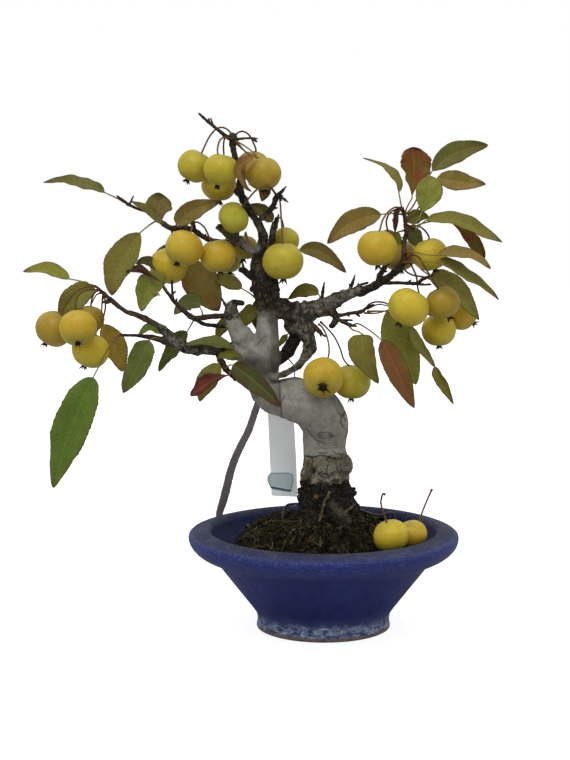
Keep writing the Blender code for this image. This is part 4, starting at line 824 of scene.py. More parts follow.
LIMBS = {
    "right_limb": [(-36, 229, 0, 6), (-27, 224, 1, 7.5), (-17, 221.5, 3, 7.8), (-8, 224, 5, 7.4), (1, 227, 7, 6.2),
        (10, 232, 9, 5.3), (20, 236, 11, 3.9), (27, 237.3, 12, 3.6), (33, 240, 13, 3.2), (39, 243.2, 14, 3.1),
        (46, 248, 16, 2.6), (52.5, 254, 19, 2.7), (55, 261, 20, 2.2), (55, 270, 20, 1.9), (56.4, 278, 20, 1.7),
        (55.6, 286, 20, 1.6), (54.4, 293, 20, 1.4)],
    "front_limb": [(-37, 178, 2, 2.2), (-34, 177.5, 8, 2.4), (-28, 179.5, 12, 2.3), (-21, 182.8, 14, 2.6),
        (-15.5, 188, 14, 3.2), (-11.5, 194, 12, 4.4), (-10, 201, 9, 5), (-12.5, 208, 7, 5.8), (-14, 216, 5, 6.6)],
    "back_limb": [(-36, 186, -6, 4), (-27, 193, -8, 4.6), (-22, 201, -8, 5), (-18.5, 209, -6, 5),
        (-17, 217, -2, 5)],
    "left_fork": [(-46, 193, 0, 7), (-54, 202.5, 1, 8), (-60.5, 211, 3, 6.6), (-63.5, 218.5, 5, 5.6),
        (-64.5, 226, 5, 4.6)],
    "left_limb": [(-46, 192, 0, 8), (-60, 195, 1, 6.6), (-70, 197, 2, 5.4), (-80, 197, 4, 4.8), (-88, 197, 6, 4.8),
        (-95, 197.4, 8, 4.5), (-101, 200.5, 10, 4.2), (-107, 206, 11, 3.7), (-112.5, 211, 12, 3),
        (-118, 214.5, 13, 2.5), (-124, 218, 15, 2.3), (-131, 221, 17, 2), (-138, 223.6, 19, 1.8),
        (-144, 228.4, 21, 1.7), (-150, 233.5, 22, 1.6), (-155.5, 238.4, 23, 1.3)],
    "upper_left": [(-44, 262.5, 3, 2.8), (-52, 266.4, 2, 3.1), (-58, 270.5, -2, 3.2), (-66, 270.5, -11, 2.5),
        (-75, 271.5, -14, 2.1), (-84, 275, -12, 2), (-90, 279.5, -7, 2), (-97, 280.8, -3, 2.1),
        (-105, 280.6, 1, 2.1), (-110.5, 283.4, 3, 1.9), (-116, 288, 5, 1.5), (-122, 291.6, 7, 1.2),
        (-130, 294.6, 9, 1.2), (-136, 297.4, 11, 1.4)],
    "middle_twig": [(-62, 220.5, 5, 2.6), (-71, 220, 7, 2), (-80, 219.4, 9, 2), (-89, 218.3, 11, 2.1),
        (-93.5, 220.4, 12, 2), (-98, 224, 13, 1.7), (-103, 229, 15, 1.5), (-106.5, 233.5, 17, 1.4),
        (-110.5, 239, 18, 1.1)],
    "under_twig": [(-60, 213.6, 5, 2), (-68, 213, 6, 1.6), (-76, 213.2, 7, 1.5), (-83, 214.2, 9, 1.5),
        (-89.5, 217.4, 11, 1.2)],
    "lower_left_twig": [(-98, 199, 9, 3), (-107, 201.4, 11, 2.8), (-115, 203.8, 14, 2.3), (-122, 205.2, 18, 1.9),
        (-130, 206.2, 22, 1.3), (-142, 206.6, 28, 1.1)],
    "leader_side": [(-42, 262, 4, 2.4), (-37.6, 268, 6, 2.6), (-36, 275, 7, 2.6), (-34.6, 281.5, 7, 2.4),
        (-32.4, 287.5, 7, 1.6)],
    "upper_right": [(-46, 285, 6, 2.2), (-42, 288.5, 6, 2.1), (-38, 292, 7, 2.1), (-35, 296.4, 8, 2),
        (-33, 302, 9, 2), (-30, 305, 10, 1.5), (-27.5, 307.8, 11, 0.9)],
    "upper_right_bud": [(-33, 301.6, 9, 0.9), (-29.6, 301.6, 12, 0.8), (-26.6, 299.6, 14, 1.1)],
    "top_twig": [(-62.3, 340.5, 8, 1.9), (-66.5, 343, 10, 1.5), (-73, 347.8, 12, 1.2), (-79, 352.6, 14, 1.1),
        (-84, 357, 16, 0.9)],
    "top_twig_bud": [(-76.4, 350.6, 13, 1.1), (-77.2, 353.6, 13, 0.8)],
    "top_right_twig": [(-62, 340.8, 8, 1.5), (-57, 341.7, 6, 0.9), (-51, 342, 4, 0.9), (-47.6, 341.8, 3, 0.9)],
    "fork_hook": [(-65, 227, 5, 3.4), (-61, 229.2, 6, 2.4), (-55.8, 228.6, 7, 2)],
    "fork_thorn": [(-66.5, 224, 5, 1.6), (-69.6, 229.6, 5, 0.9)],
    "leader_spur": [(-47, 246, 2, 3), (-52, 248.6, 4, 2.7), (-56.4, 252, 6, 2.4), (-58.6, 251.6, 7, 1.7)],
    "leader_thorn": [(-55.4, 252, 6, 1.2), (-56.2, 256.2, 7, 0.8)],
    "upper_spur": [(-89.5, 279, -6, 1.6), (-90.4, 282.6, -4, 1.9), (-91, 287.4, -3, 0.9)],
    "upper_bud": [(-81.5, 272.6, -13, 1.3), (-81.6, 274.6, -12, 1.1)],
    "tip_bud_a": [(-135, 297, 11, 1), (-137.6, 299, 12, 1.1), (-140.4, 301.2, 13, 0.8)],
    "tip_bud_b": [(-134, 296.6, 11, 0.9), (-132, 300.8, 11, 0.8)],
    "limb_thorn": [(-148, 231.8, 22, 1), (-151.2, 230.2, 23, 0.8)],
    "limb_side": [(-142, 225.4, 20, 1.1), (-147, 229.4, 24, 0.9), (-149.6, 229, 26, 0.8)],
    "limb_stub": [(-104.4, 231, 16, 1.1), (-105, 236, 16, 0.9), (-105.2, 241.6, 16, 0.9)],
    "leaf_spur": [(-74, 195, 3, 2.2), (-72, 189.6, 7, 2.4), (-69, 184, 9, 2.3), (-65.6, 179.6, 9, 1.6),
        (-63.4, 176.8, 9, 1)],
    "right_spur_a": [(-1.6, 230, 7, 1.4), (-1.2, 235, 8, 1.2), (-0.3, 240.6, 9, 1)],
    "right_spur_b": [(17.4, 237.4, 11, 1.6), (19, 241.4, 12, 1.3), (20.6, 246.4, 12, 0.8)],
    "right_spur_c": [(21, 239, 11, 1.3), (25, 241.4, 13, 1.1), (27.4, 242.2, 14, 1.1)],
    "right_spur_d": [(37, 243, 14, 2), (38.8, 248.6, 15, 2), (41, 252.8, 15, 1.8), (42.2, 254, 15, 1.6)],
    "right_twig": [(40, 242.8, 14, 1.6), (47, 242.8, 18, 1.3), (56, 242.7, 22, 1.2), (64, 242.6, 25, 1.3),
        (68, 245.4, 27, 1.3), (73, 247.4, 28, 1)],
    "right_twig_end": [(62, 242.4, 24, 1), (67, 241.6, 26, 0.8), (71, 241.7, 27, 0.8)],
    "low_spur": [(2, 225, 7, 4.2), (7, 221, 9, 3.2), (8, 217, 10, 2.4), (5.8, 213.4, 11, 2.6),
        (3.8, 212.8, 11, 1.8)],
    "low_twig_a": [(7, 219.8, 9, 1.8), (14, 220.8, 12, 1.4), (20, 222, 14, 1.4), (26, 223, 16, 1.5),
        (29.4, 225.6, 17, 1), (32, 226.8, 18, 0.8)],
    "low_twig_b": [(8, 218, 10, 1.6), (13, 216, 13, 1.5), (17.5, 213.8, 16, 1.4), (20.5, 213, 18, 0.9)],
    "low_thorn": [(12, 217, 12, 1), (17, 217, 12, 0.8)],
    "mass_thorn": [(-7, 213, 9, 2.2), (-3.6, 209.6, 11, 1.7), (-1.4, 207.6, 12, 1.2)],
    "root_right": [(8, 90, 4, 9), (17, 82, 6, 7), (24, 75, 8, 5), (31, 66, 10, 3.5)],
    "root_front": [(4, 88, 10, 8), (9, 79, 18, 7), (15, 71, 26, 5), (22, 62, 33, 3.5)],
    "root_left": [(-5, 86, 2, 9), (-10, 77, 5, 8), (-17, 68, 11, 4), (-23, 62, 16, 3)],
    "root_front_left": [(-2, 84, 8, 9), (-6, 75, 13, 8), (-11, 67, 22, 4), (-17, 61, 30, 3)],
    "root_back": [(2, 88, -8, 8), (3, 78, -18, 7), (4, 69, -28, 4.5), (5, 61, -36, 3)],
    "root_back_left": [(-6, 86, -6, 8), (-14, 76, -16, 6), (-22, 66, -24, 4), (-28, 60, -28, 3)],
}

# Swellings of the bark: x, z, near, radius and stretch along X, Y and Z
SWELLINGS = {
    "graft_right": (12, 115, 5, 9, (1, 1.1, 1.05)),
    "graft_front": (1, 114, 10, 8.5, (1.2, 1, 1.15)),
    "graft_low": (6, 105.5, 9, 9, (1.3, 1, 0.7)),
    "graft_left": (-8, 108, 6, 8.5, (1, 1, 1)),
    "graft_back": (3, 112, -8, 10, (1.2, 1, 1.1)),
    "burl_right": (17, 95.5, 3, 6.5, (1, 1.1, 0.8)),
    "burl_nub": (22.4, 95.2, 4, 2, (1, 1, 1)),
    "burl_left": (-13, 93, 2, 6.8, (1, 1.1, 1.3)),
    "root_burl": (16, 84, 8, 9, (1.1, 1, 1)),
    "upper_knot": (-59.5, 272, 3, 4.2, (1.1, 1, 1)),
    "leader_knot": (-60, 305.4, 8, 2.4, (1, 1, 1.2)),
    "limb_knot": (13.6, 236, 10, 3, (1.1, 1, 0.9)),
    "crown_knot": (-62.8, 342.8, 8, 3, (1, 1, 1.1)),
    "mass_low": (-13, 211, 6, 7.4, (1, 1, 1)),
    "mass_left": (-22, 214, 1, 6.4, (1, 1, 1.1)),
    "fork_knot": (-58, 205, 3, 6.4, (1, 1, 0.9)),
    "fork_head": (-64.4, 226.4, 5, 4.6, (1, 0.9, 0.8)),
}

# Soil: radius and height
SOIL_MOUND = [(0, 79), (9, 78.8), (19, 78.2), (29, 77), (38, 75.4), (46, 73), (52, 70.4), (57, 66.6), (62, 60.5)]
WIRE_ROUTE = [(-29.8, 61, 4, 0.9), (-29.2, 72, 3, 0.9), (-28.2, 81, 1, 0.9), (-26.2, 86, -2, 0.9),
    (-21.6, 87.4, -10, 0.9), (-13, 87.4, -19, 0.9), (0, 87, -24, 0.9), (14, 85.4, -22, 0.9), (25, 83.2, -13, 0.9),
    (34, 80, -4, 0.9), (40.4, 79.4, 1, 0.9), (44.8, 81, 3, 0.9), (48.4, 80.4, 1, 0.9), (50.4, 74.6, -1, 0.9),
    (50.8, 64, -2, 0.9), (50.8, 57, -2, 0.9)]
STRAP_HANG = [(-41.4, 181, -19.9), (-41.8, 174, -19.8), (-43.2, 167, -19.8), (-45.4, 160.6, -21.4), (-48, 153, -26),
    (-52.4, 140, -32), (-57.4, 130, -37), (-62, 120, -42), (-65.4, 110, -47), (-67.8, 100, -51.6), (-70.4, 90, -56),
    (-72.6, 83, -58.8)]
STRAP_HOOK = [(96.4, 66), (96.6, 61), (94.2, 56.6), (90.6, 54.4), (86.4, 52.5), (82.2, 50.4), (78.8, 48.6),
    (76.4, 46.6)]
LABEL_OUTLINE = [(-36.6, 93.2), (-18.4, 92.4), (-19.2, 118), (-21, 150), (-21.4, 165), (-24, 168.6), (-36.6, 169),
    (-39.6, 166), (-39, 150), (-37.6, 118)]
LABEL_HOLE = (-30.4, 163)
STICKER_OUTLINE = [(-37.4, 109.8), (-39.5, 106.6), (-39.6, 104), (-37.6, 99.4), (-36.4, 98.6), (-24, 96.2),
    (-22.4, 97.2), (-20.9, 104), (-21.6, 108.6), (-24.6, 110)]
TIE_ROUTE = [(-28.4, 194.4, -7), (-27.8, 193.6, -1.6), (-24.2, 189.4, -1.6), (-20.8, 184.6, -3.6),
    (-20.4, 178.6, -12), (-22, 172.6, -20), (-27, 167.4, -23.4), (-30.2, 163.4, -24), (-30.4, 162.4, -26.8),
    (-29.6, 164.6, -28.6), (-28.4, 168.6, -27.6)]

# Fruit: centre, radius, offset of the calyx on the elevation, stalk route
FRUIT = {
    "01": ((-89, 323, 6), 12, (-6, -11), [(-62.3, 343, 8), (-66, 347.6, 6), (-70.5, 349.4, 7), (-75, 347.6, 8),
        (-79.4, 342, 8), (-83, 334.6, 7)]),
    "02": ((-71, 320.5, 24), 12.2, (-3, -13), [(-63.5, 341.5, 10), (-68.5, 342.5, 15), (-72, 340, 20),
        (-73.2, 332, 24)]),
    "03": ((-72.5, 310, -8), 12, (0, -14), [(-64, 341, 6), (-68, 342.2, 1), (-69.2, 337, -4), (-69, 330, -7),
        (-70, 322, -8)]),
    "04": ((-42, 318, 20), 12.5, (1, -15), [(-61.6, 339.4, 9), (-57.5, 335.8, 13), (-52, 331.4, 17),
        (-46.5, 329, 20)]),
    "05": ((-49, 323, -5), 11.5, (-1, -12), [(-61.6, 343.6, 8), (-58.5, 346.2, 5), (-54.8, 346.4, 1),
        (-51, 343.4, -2), (-48.6, 338.6, -4), (-47, 334, -5)]),
    "06": ((-62.5, 288, 15), 11, (-10, -7), [(-32.8, 303, 10), (-36.6, 307.6, 25), (-41, 309, 33), (-46.4, 307, 33),
        (-51.4, 301.8, 28), (-55.4, 296.4, 21)]),
    "08": ((-96.5, 267, 20), 13.2, (-5, -11), [(-91, 279.8, -6), (-91.4, 282, 0), (-91.2, 282, 8),
        (-91.4, 279.6, 14)]),
    "09": ((-107.5, 254.5, -2), 13.2, (-5.5, -12), [(-105, 279, 0), (-104.6, 273, -2.4), (-105.4, 266.6, -2.6)]),
    "10": ((-73.5, 261.5, 6), 12.5, (2, -14), [(-90.4, 284.6, -4), (-87, 284.6, -2), (-83, 281.6, 1),
        (-80.4, 277, 4), (-78.6, 272.6, 6)]),
    "11": ((-67, 259, -34), 10.5, (2, -10), [(-67.5, 271, -12), (-67.6, 273.4, -20), (-67.4, 272, -28),
        (-67.2, 268.6, -33)]),
    "12": ((-28.5, 258, 18), 14.2, (0.5, -15), [(-31.4, 303, 9), (-30.4, 298, 12), (-29.8, 289, 15),
        (-29.2, 280, 17), (-28.8, 271, 18)]),
    "13": ((-27, 272, -10), 9.8, (1, -8), [(-33.2, 285.4, 5), (-31.6, 288, -1), (-29.4, 286.6, -7),
        (-28, 281, -10)]),
    "14": ((-55, 267.5, -20), 9.2, (-1, -9), [(-52, 267, 0), (-53, 273, -7), (-54, 277.6, -15),
        (-54.6, 276.6, -19)]),
    "15": ((-187, 211, 22), 13.3, (-8, -13), [(-153.6, 236.8, 22), (-157, 239.4, 19.6), (-162, 240.6, 19.4),
        (-170, 237.8, 19.4), (-177, 231, 20), (-181.4, 223.4, 21)]),
    "16": ((-170.5, 211.5, 44), 13.3, (0.4, -10), [(-154.6, 237.4, 23), (-158.6, 238.2, 30), (-164.4, 237.8, 36),
        (-169.6, 234.6, 41), (-171.8, 230, 43), (-171.6, 224.4, 44)]),
    "17": ((-162, 196, 22), 13.3, (-6, -14), [(-152.2, 235, 22), (-151.4, 226, 22), (-154, 216, 22),
        (-158, 208.6, 22)]),
    "18": ((-162, 218, 4), 10, (-2, -9), [(-152.6, 236, 21.6), (-155.6, 237.6, 14), (-159.4, 235, 7),
        (-161.4, 228, 4)]),
    "19": ((36.5, 267, 34), 13.8, (0.5, -13), [(53.6, 292, 20), (49.6, 295, 24), (44.4, 292.4, 29),
        (40.2, 286.4, 33), (38, 279, 34)]),
    "20": ((51.5, 262, 2), 12, (1, -11), [(54.2, 292.2, 19), (49.8, 293.6, 12), (44.6, 290.6, 6), (42.6, 284, 3),
        (45, 275.6, 2), (47.4, 272.6, 2)]),
    "21": ((73, 262.5, 20), 12.2, (4, -12), [(56.2, 280, 20), (60.4, 282.4, 18), (66, 281.4, 17), (70.4, 277.6, 18),
        (72.2, 273.4, 19.6)]),
    "22": ((58.5, 226, 40), 14.3, (-7, -13), [(28.4, 224.4, 17), (31, 228, 21), (35.4, 229.6, 27), (41, 229.4, 35),
        (46.6, 228.4, 39)]),
    "23": ((82, 229, 26), 12.2, (5, -11), [(55.2, 258.4, 21), (60, 262, 29), (65, 260.6, 33), (70, 252.6, 33),
        (77.6, 241.4, 28)]),
    "24": ((79.5, 210, 8), 12.2, (0.5, -13), [(54, 254.6, 20), (58.6, 256.8, 17), (61.6, 252, 13),
        (63.8, 246.6, 11), (65, 238, 9), (70.6, 222.6, 8)]),
    "25": ((95.5, 221, -8), 11.3, (9, -7), [(52.6, 255, 18), (57, 250.4, 9), (62, 248, 0), (70, 246.6, -6),
        (80, 242, -10), (88, 234.6, -9)]),
    "27": ((-0.5, 177, 31), 14.3, (-0.5, -5), [(-3.6, 214, 9), (-1.6, 212.4, 14), (1.4, 207, 20), (3.2, 200, 26),
        (3.2, 192.4, 30)]),
    "28": ((19.5, 174, 10), 13.3, (-0.5, -14.5), [(-2.6, 216, 7), (2.4, 211, 10), (7, 205.6, 10), (11, 197.6, 10),
        (14.2, 188.6, 10)]),
}
FALLEN = {
    "29": ((47.5, 64.4, 44), 12.7, (4, -12), [(43.2, 93.8, 44), (41.6, 94.6, 44), (40.2, 89, 44), (41.4, 83, 44),
        (43.6, 76.6, 44)]),
    "30": ((62.2, 65.6, 25), 11, (3, -10), [(76, 98, 20), (73, 91, 22), (69.8, 83, 24), (66.4, 74, 25)]),
}

# Leaves: blade axis, width, roll of the blade about it in degrees, cup, petiole
LEAVES = {
    "01": ([(-151, 305, 14), (-163, 310, 14), (-177, 312.4, 12), (-193, 312, 9)], 13, 52, 0.25,
        [(-137.6, 298.4, 12), (-143, 301.4, 13), (-151, 305, 14)]),
    "02": ([(-127, 277.4, 16), (-135, 266, 18), (-143, 251, 21), (-147, 234, 24)], 22, 5, 0.2, [(-110.6, 284, 4),
        (-115, 285.6, 7), (-120.6, 282.6, 12), (-127, 277.4, 16)]),
    "03": ([(-176, 245.6, 30), (-186, 249.6, 31), (-197, 251.6, 32), (-208, 250.6, 33)], 13, 45, 0.3,
        [(-155, 238.2, 23), (-158, 240.8, 26), (-163, 242.2, 29), (-169, 244.2, 30), (-176, 245.6, 30)]),
    "04": ([(-111, 241, 19), (-117.5, 242.6, 20), (-123.5, 236, 21), (-126.5, 223, 21)], 22, 0, 0.2,
        [(-108.6, 236.6, 18.6), (-110, 239.6, 21), (-111, 241, 19)]),
    "05": ([(-160.6, 177, 40), (-169, 160, 40), (-178, 137, 38), (-185, 116, 36), (-190.4, 98, 34)], 27, 5, 0.18,
        [(-142, 206.6, 30), (-147.6, 200.4, 37), (-152, 193.4, 40), (-156, 185.6, 41), (-160.6, 177, 40)]),
    "06": ([(-121.6, 203, 21), (-126, 193, 23), (-132, 180, 24), (-140, 166, 24)], 20, 20, 0.2, [(-113, 202.6, 14),
        (-116.6, 204.6, 19), (-121.6, 203, 21)]),
    "07": ([(-94, 259, -19), (-89, 249, -20), (-81, 236, -18), (-73, 223.4, -15)], 28, 0, 0.12, [(-92, 279.6, -7),
        (-96, 274, -14), (-96, 266, -18), (-94, 259, -19)]),
    "08": ([(-63.4, 185.6, 13), (-55, 180, 16), (-42, 169, 20), (-30, 156, 23)], 16.5, 8, 0.2, [(-68.6, 183, 11),
        (-66, 185.4, 13), (-63.4, 185.6, 13)]),
    "09": ([(-73, 186.6, 13), (-78, 178, 15), (-83, 169, 16), (-86.6, 160, 16)], 17, 25, 0.25, [(-71.6, 190, 8),
        (-74.2, 189.4, 11), (-73, 186.6, 13)]),
    "10": ([(-102, 283.6, 6), (-94, 290.6, 8), (-84, 295.6, 8), (-71.6, 298.6, 7)], 15, 10, 0.2, [(-99, 281, 0),
        (-101.6, 282, 3), (-102, 283.6, 6)]),
    "11": ([(-17, 266, 1), (-6, 265.6, 3), (5, 259.4, 6), (15, 250, 9)], 12, -15, 0.25, [(-42, 262, 1),
        (-34, 265.6, 2.2), (-26, 265, 1.2), (-17, 266, 1)]),
    "12": ([(60, 301, 14), (60.6, 311, 11), (61.4, 323, 8), (60, 336, 7)], 29, 8, 0.2, [(55, 287.6, 19),
        (56.4, 294, 16), (60, 301, 14)]),
    "13": ([(74, 320, 17), (85, 329.4, 12), (97, 334.6, 9), (112.4, 337.6, 6)], 16, -12, 0.2, [(55, 289, 20),
        (61, 296, 22), (67, 308, 22), (74, 320, 17)]),
    "14": ([(78, 315.6, 22), (88, 313, 23), (99, 311.6, 24), (111, 311, 24)], 14, -10, 0.2, [(55.4, 285.4, 20),
        (62, 291, 25), (70, 303, 25), (78, 315.6, 22)]),
    "15": ([(67, 291, 31), (69, 298, 32), (71.4, 307, 31), (72, 316.6, 28)], 21, 0, 0.15, [(56, 279.6, 21),
        (61, 283, 27), (65, 287.4, 30), (67, 291, 31)]),
    "16": ([(70, 286, 32), (84, 287, 34), (103, 280.6, 38), (122.6, 271, 42)], 15, -48, 0.25, [(56.4, 278, 21),
        (62, 279, 26), (66, 283, 30), (70, 286, 32)]),
    "17": ([(78, 262, 40), (90, 263, 42), (103, 260.4, 45), (115, 252.6, 47)], 14, -56, 0.2, [(55, 264, 20),
        (61, 264.4, 33), (70, 262.4, 40), (78, 262, 40)]),
    "18": ([(77, 257, 44), (90, 252.4, 42), (105, 243.6, 38), (121, 231, 34)], 15, -58, 0.2, [(54, 257, 21),
        (61, 257.6, 35), (69, 257.6, 43), (77, 257, 44)]),
    "19": ([(39, 290, 16), (27, 288, 14), (14, 281.6, 12), (2, 270, 12)], 17, 0, 0.2, [(54.6, 290, 19),
        (46.4, 290.8, 17), (39, 290, 16)]),
    "20": ([(27, 207, 30), (27, 197, 33), (32, 184, 33), (38, 172.6, 32)], 19, 10, 0.2, [(17.2, 213.2, 16),
        (19.6, 210.4, 21), (23.6, 209, 26), (27, 207, 30)]),
    "21": ([(40, 203, 41), (46.6, 190, 42), (54.6, 173, 41), (63, 155.4, 39)], 17.5, -12, 0.2, [(20.2, 213.4, 18),
        (24, 214.4, 30), (32, 209.6, 39), (40, 203, 41)]),
    "22": ([(44, 224, 20), (50, 208, 20), (57.6, 190, 19), (64, 172, 17)], 25, 5, 0.15, [(27.6, 222, 17),
        (34, 221.6, 18), (40, 222.6, 19), (44, 224, 20)]),
    "23": ([(73, 248, 8), (84, 242.6, 9), (96, 232.6, 9), (107.4, 217, 8)], 18, -20, 0.25, [(55.6, 259.6, 17),
        (63, 256, 9), (68, 251.4, 7), (73, 248, 8)]),
}


# Tree

@dataclass(frozen=True)
class BarkKind:
    """How one stretch of bark looks: its colours, and the depth in millimetres of its relief."""

    pale: Colour
    dark: Colour
    shade: float
    lumps: float
    grit: float
    cracks: float
    folds: float


class Bark(Enum):
    """The kinds of bark on the tree."""

    SMOOTH = BarkKind(srgb(172, 171, 161), srgb(106, 103, 90), 0.34, 0.45, 0.06, 0.03, 0.06)
    CALLUS = BarkKind(srgb(160, 154, 134), srgb(62, 54, 42), 0.34, 0.60, 0.16, 0.22, 0.80)
    ROOT = BarkKind(srgb(70, 62, 44), srgb(12, 10, 7), 0.80, 1.50, 0.42, 0.60, 0.55)
    SCALY = BarkKind(srgb(112, 98, 82), srgb(28, 22, 17), 0.60, 0.60, 0.30, 0.50, 0.15)
    KNOBBY = BarkKind(srgb(152, 146, 132), srgb(38, 32, 25), 0.50, 0.75, 0.22, 0.35, 0.25)
    PURPLE = BarkKind(srgb(106, 88, 76), srgb(38, 28, 24), 0.55, 0.35, 0.16, 0.20, 0.20)
    TWIG = BarkKind(srgb(92, 68, 54), srgb(32, 21, 18), 0.60, 0.20, 0.15, 0.15, 0.12)
    # BLACK is near-black bark. On back_limb, which sits behind the trunk, the black is painted shade.
    BLACK = BarkKind(srgb(64, 55, 45), srgb(18, 14, 11), 0.65, 0.45, 0.25, 0.25, 0.20)


LIMBS_BY_BARK = {
    Bark.SMOOTH: "arch",
    Bark.SCALY: "leader_foot leader_top low_spur leader_side upper_right",
    Bark.KNOBBY: "front_limb",
    Bark.BLACK: "back_limb under_twig fork_hook leader_spur",
    Bark.PURPLE: "upper_left",
    Bark.ROOT: "root_right root_front root_left root_front_left root_back root_back_left",
}
LIMB_BARK = {limb: bark for bark, limbs in LIMBS_BY_BARK.items() for limb in limbs.split()}


def bark_at(name: str, x: float, z: float) -> Bark:
    """The kind of bark at a place on a limb.

    Args:
        name: the limb.
        x, z: where, on the elevation in millimetres.

    Returns:
        The kind.
    """
    if name == "column":
        return Bark.ROOT if z < 101.5 else Bark.CALLUS if z < 121.5 else Bark.SMOOTH
    if name == "riser":
        return Bark.SMOOTH if z < 224.5 else Bark.SCALY
    if name == "right_limb":
        return Bark.SCALY if x < -20 or x > 24 else Bark.KNOBBY
    if name == "left_limb":
        return Bark.SMOOTH if x > -63 else Bark.KNOBBY if x > -118 else Bark.PURPLE
    if name == "upper_left" and x > -66:
        return Bark.KNOBBY
    if name == "left_fork":
        return Bark.SMOOTH if z < 218 else Bark.KNOBBY
    if name == "front_limb" and x < -31:
        return Bark.SMOOTH
    return LIMB_BARK.get(name, Bark.TWIG)


class MarkKind(Enum):
    """The shapes that a bark mark can have on the elevation."""

    SPOT = "spot"
    RING = "ring"
    SWIRL = "swirl"
    STROKE = "stroke"


@dataclass(frozen=True)
class Mark:
    """A feature of the bark, or a patch of painted shade on it. Sizes are millimetres; a stroke's size is its width;
    depth digs in.
    """

    kind: MarkKind
    points: tuple[tuple[float, float], ...]
    size: tuple[float, float]
    colour: Colour
    strength: float = 0.8
    depth: float = 0.0

    def weight(self, x: np.ndarray, z: np.ndarray, ragged: np.ndarray) -> np.ndarray:
        """How strongly the mark shows at places on the elevation.

        Args:
            x, z: the places.
            ragged: noise that roughens its edge.

        Returns:
            Values of 0 to 1.
        """
        if self.kind is MarkKind.STROKE:
            nearest = np.full(x.shape, 1e6)
            for (ax, az), (bx, bz) in zip(self.points, self.points[1:]):
                dx, dz = bx - ax, bz - az
                t = np.clip(((x - ax) * dx + (z - az) * dz) / (dx * dx + dz * dz), 0.0, 1.0)
                nearest = np.minimum(nearest, np.hypot(x - ax - t * dx, z - az - t * dz))
            return 1.0 - smoothstep(0.35, 1.0, nearest / self.size[0] * 1.6 + 0.35 * ragged)
        (cx, cz), = self.points
        reach = np.hypot((x - cx) / self.size[0], (z - cz) / self.size[1]) + 0.16 * ragged
        if self.kind is MarkKind.RING:
            return np.exp(-((reach - 1.0) / 0.17) ** 2)
        if self.kind is MarkKind.SWIRL:
            return (0.5 + 0.5 * np.cos(2 * math.pi * reach * self.size[0] / 1.5)) * (1 - smoothstep(0.75, 1.1, reach))
        return 1.0 - smoothstep(0.55, 1.1, reach)


DARK_FOLD = srgb(46, 40, 32)
HOLLOW = srgb(26, 21, 16)
SOFT_SCAR = srgb(66, 61, 51)
TAN_ROOT = srgb(116, 101, 70)
RUST_PEEL = srgb(116, 84, 52)


def oval(kind: MarkKind, x: float, z: float, rx: float, rz: float, colour: Colour, strength: float = 0.8,
         depth: float = 0.0) -> Mark:
    """A mark with one centre: a filled oval, an outline, or folds that run round it."""
    return Mark(kind, ((x, z),), (rx, rz), colour, strength, depth)


spot = partial(oval, MarkKind.SPOT)
ring = partial(oval, MarkKind.RING)
swirl = partial(oval, MarkKind.SWIRL)


def stroke(width: float, colour: Colour, strength: float, depth: float, *points: tuple[float, float]) -> Mark:
    """A crack, crease or raised strip through points."""
    return Mark(MarkKind.STROKE, points, (width, width), colour, strength, depth)


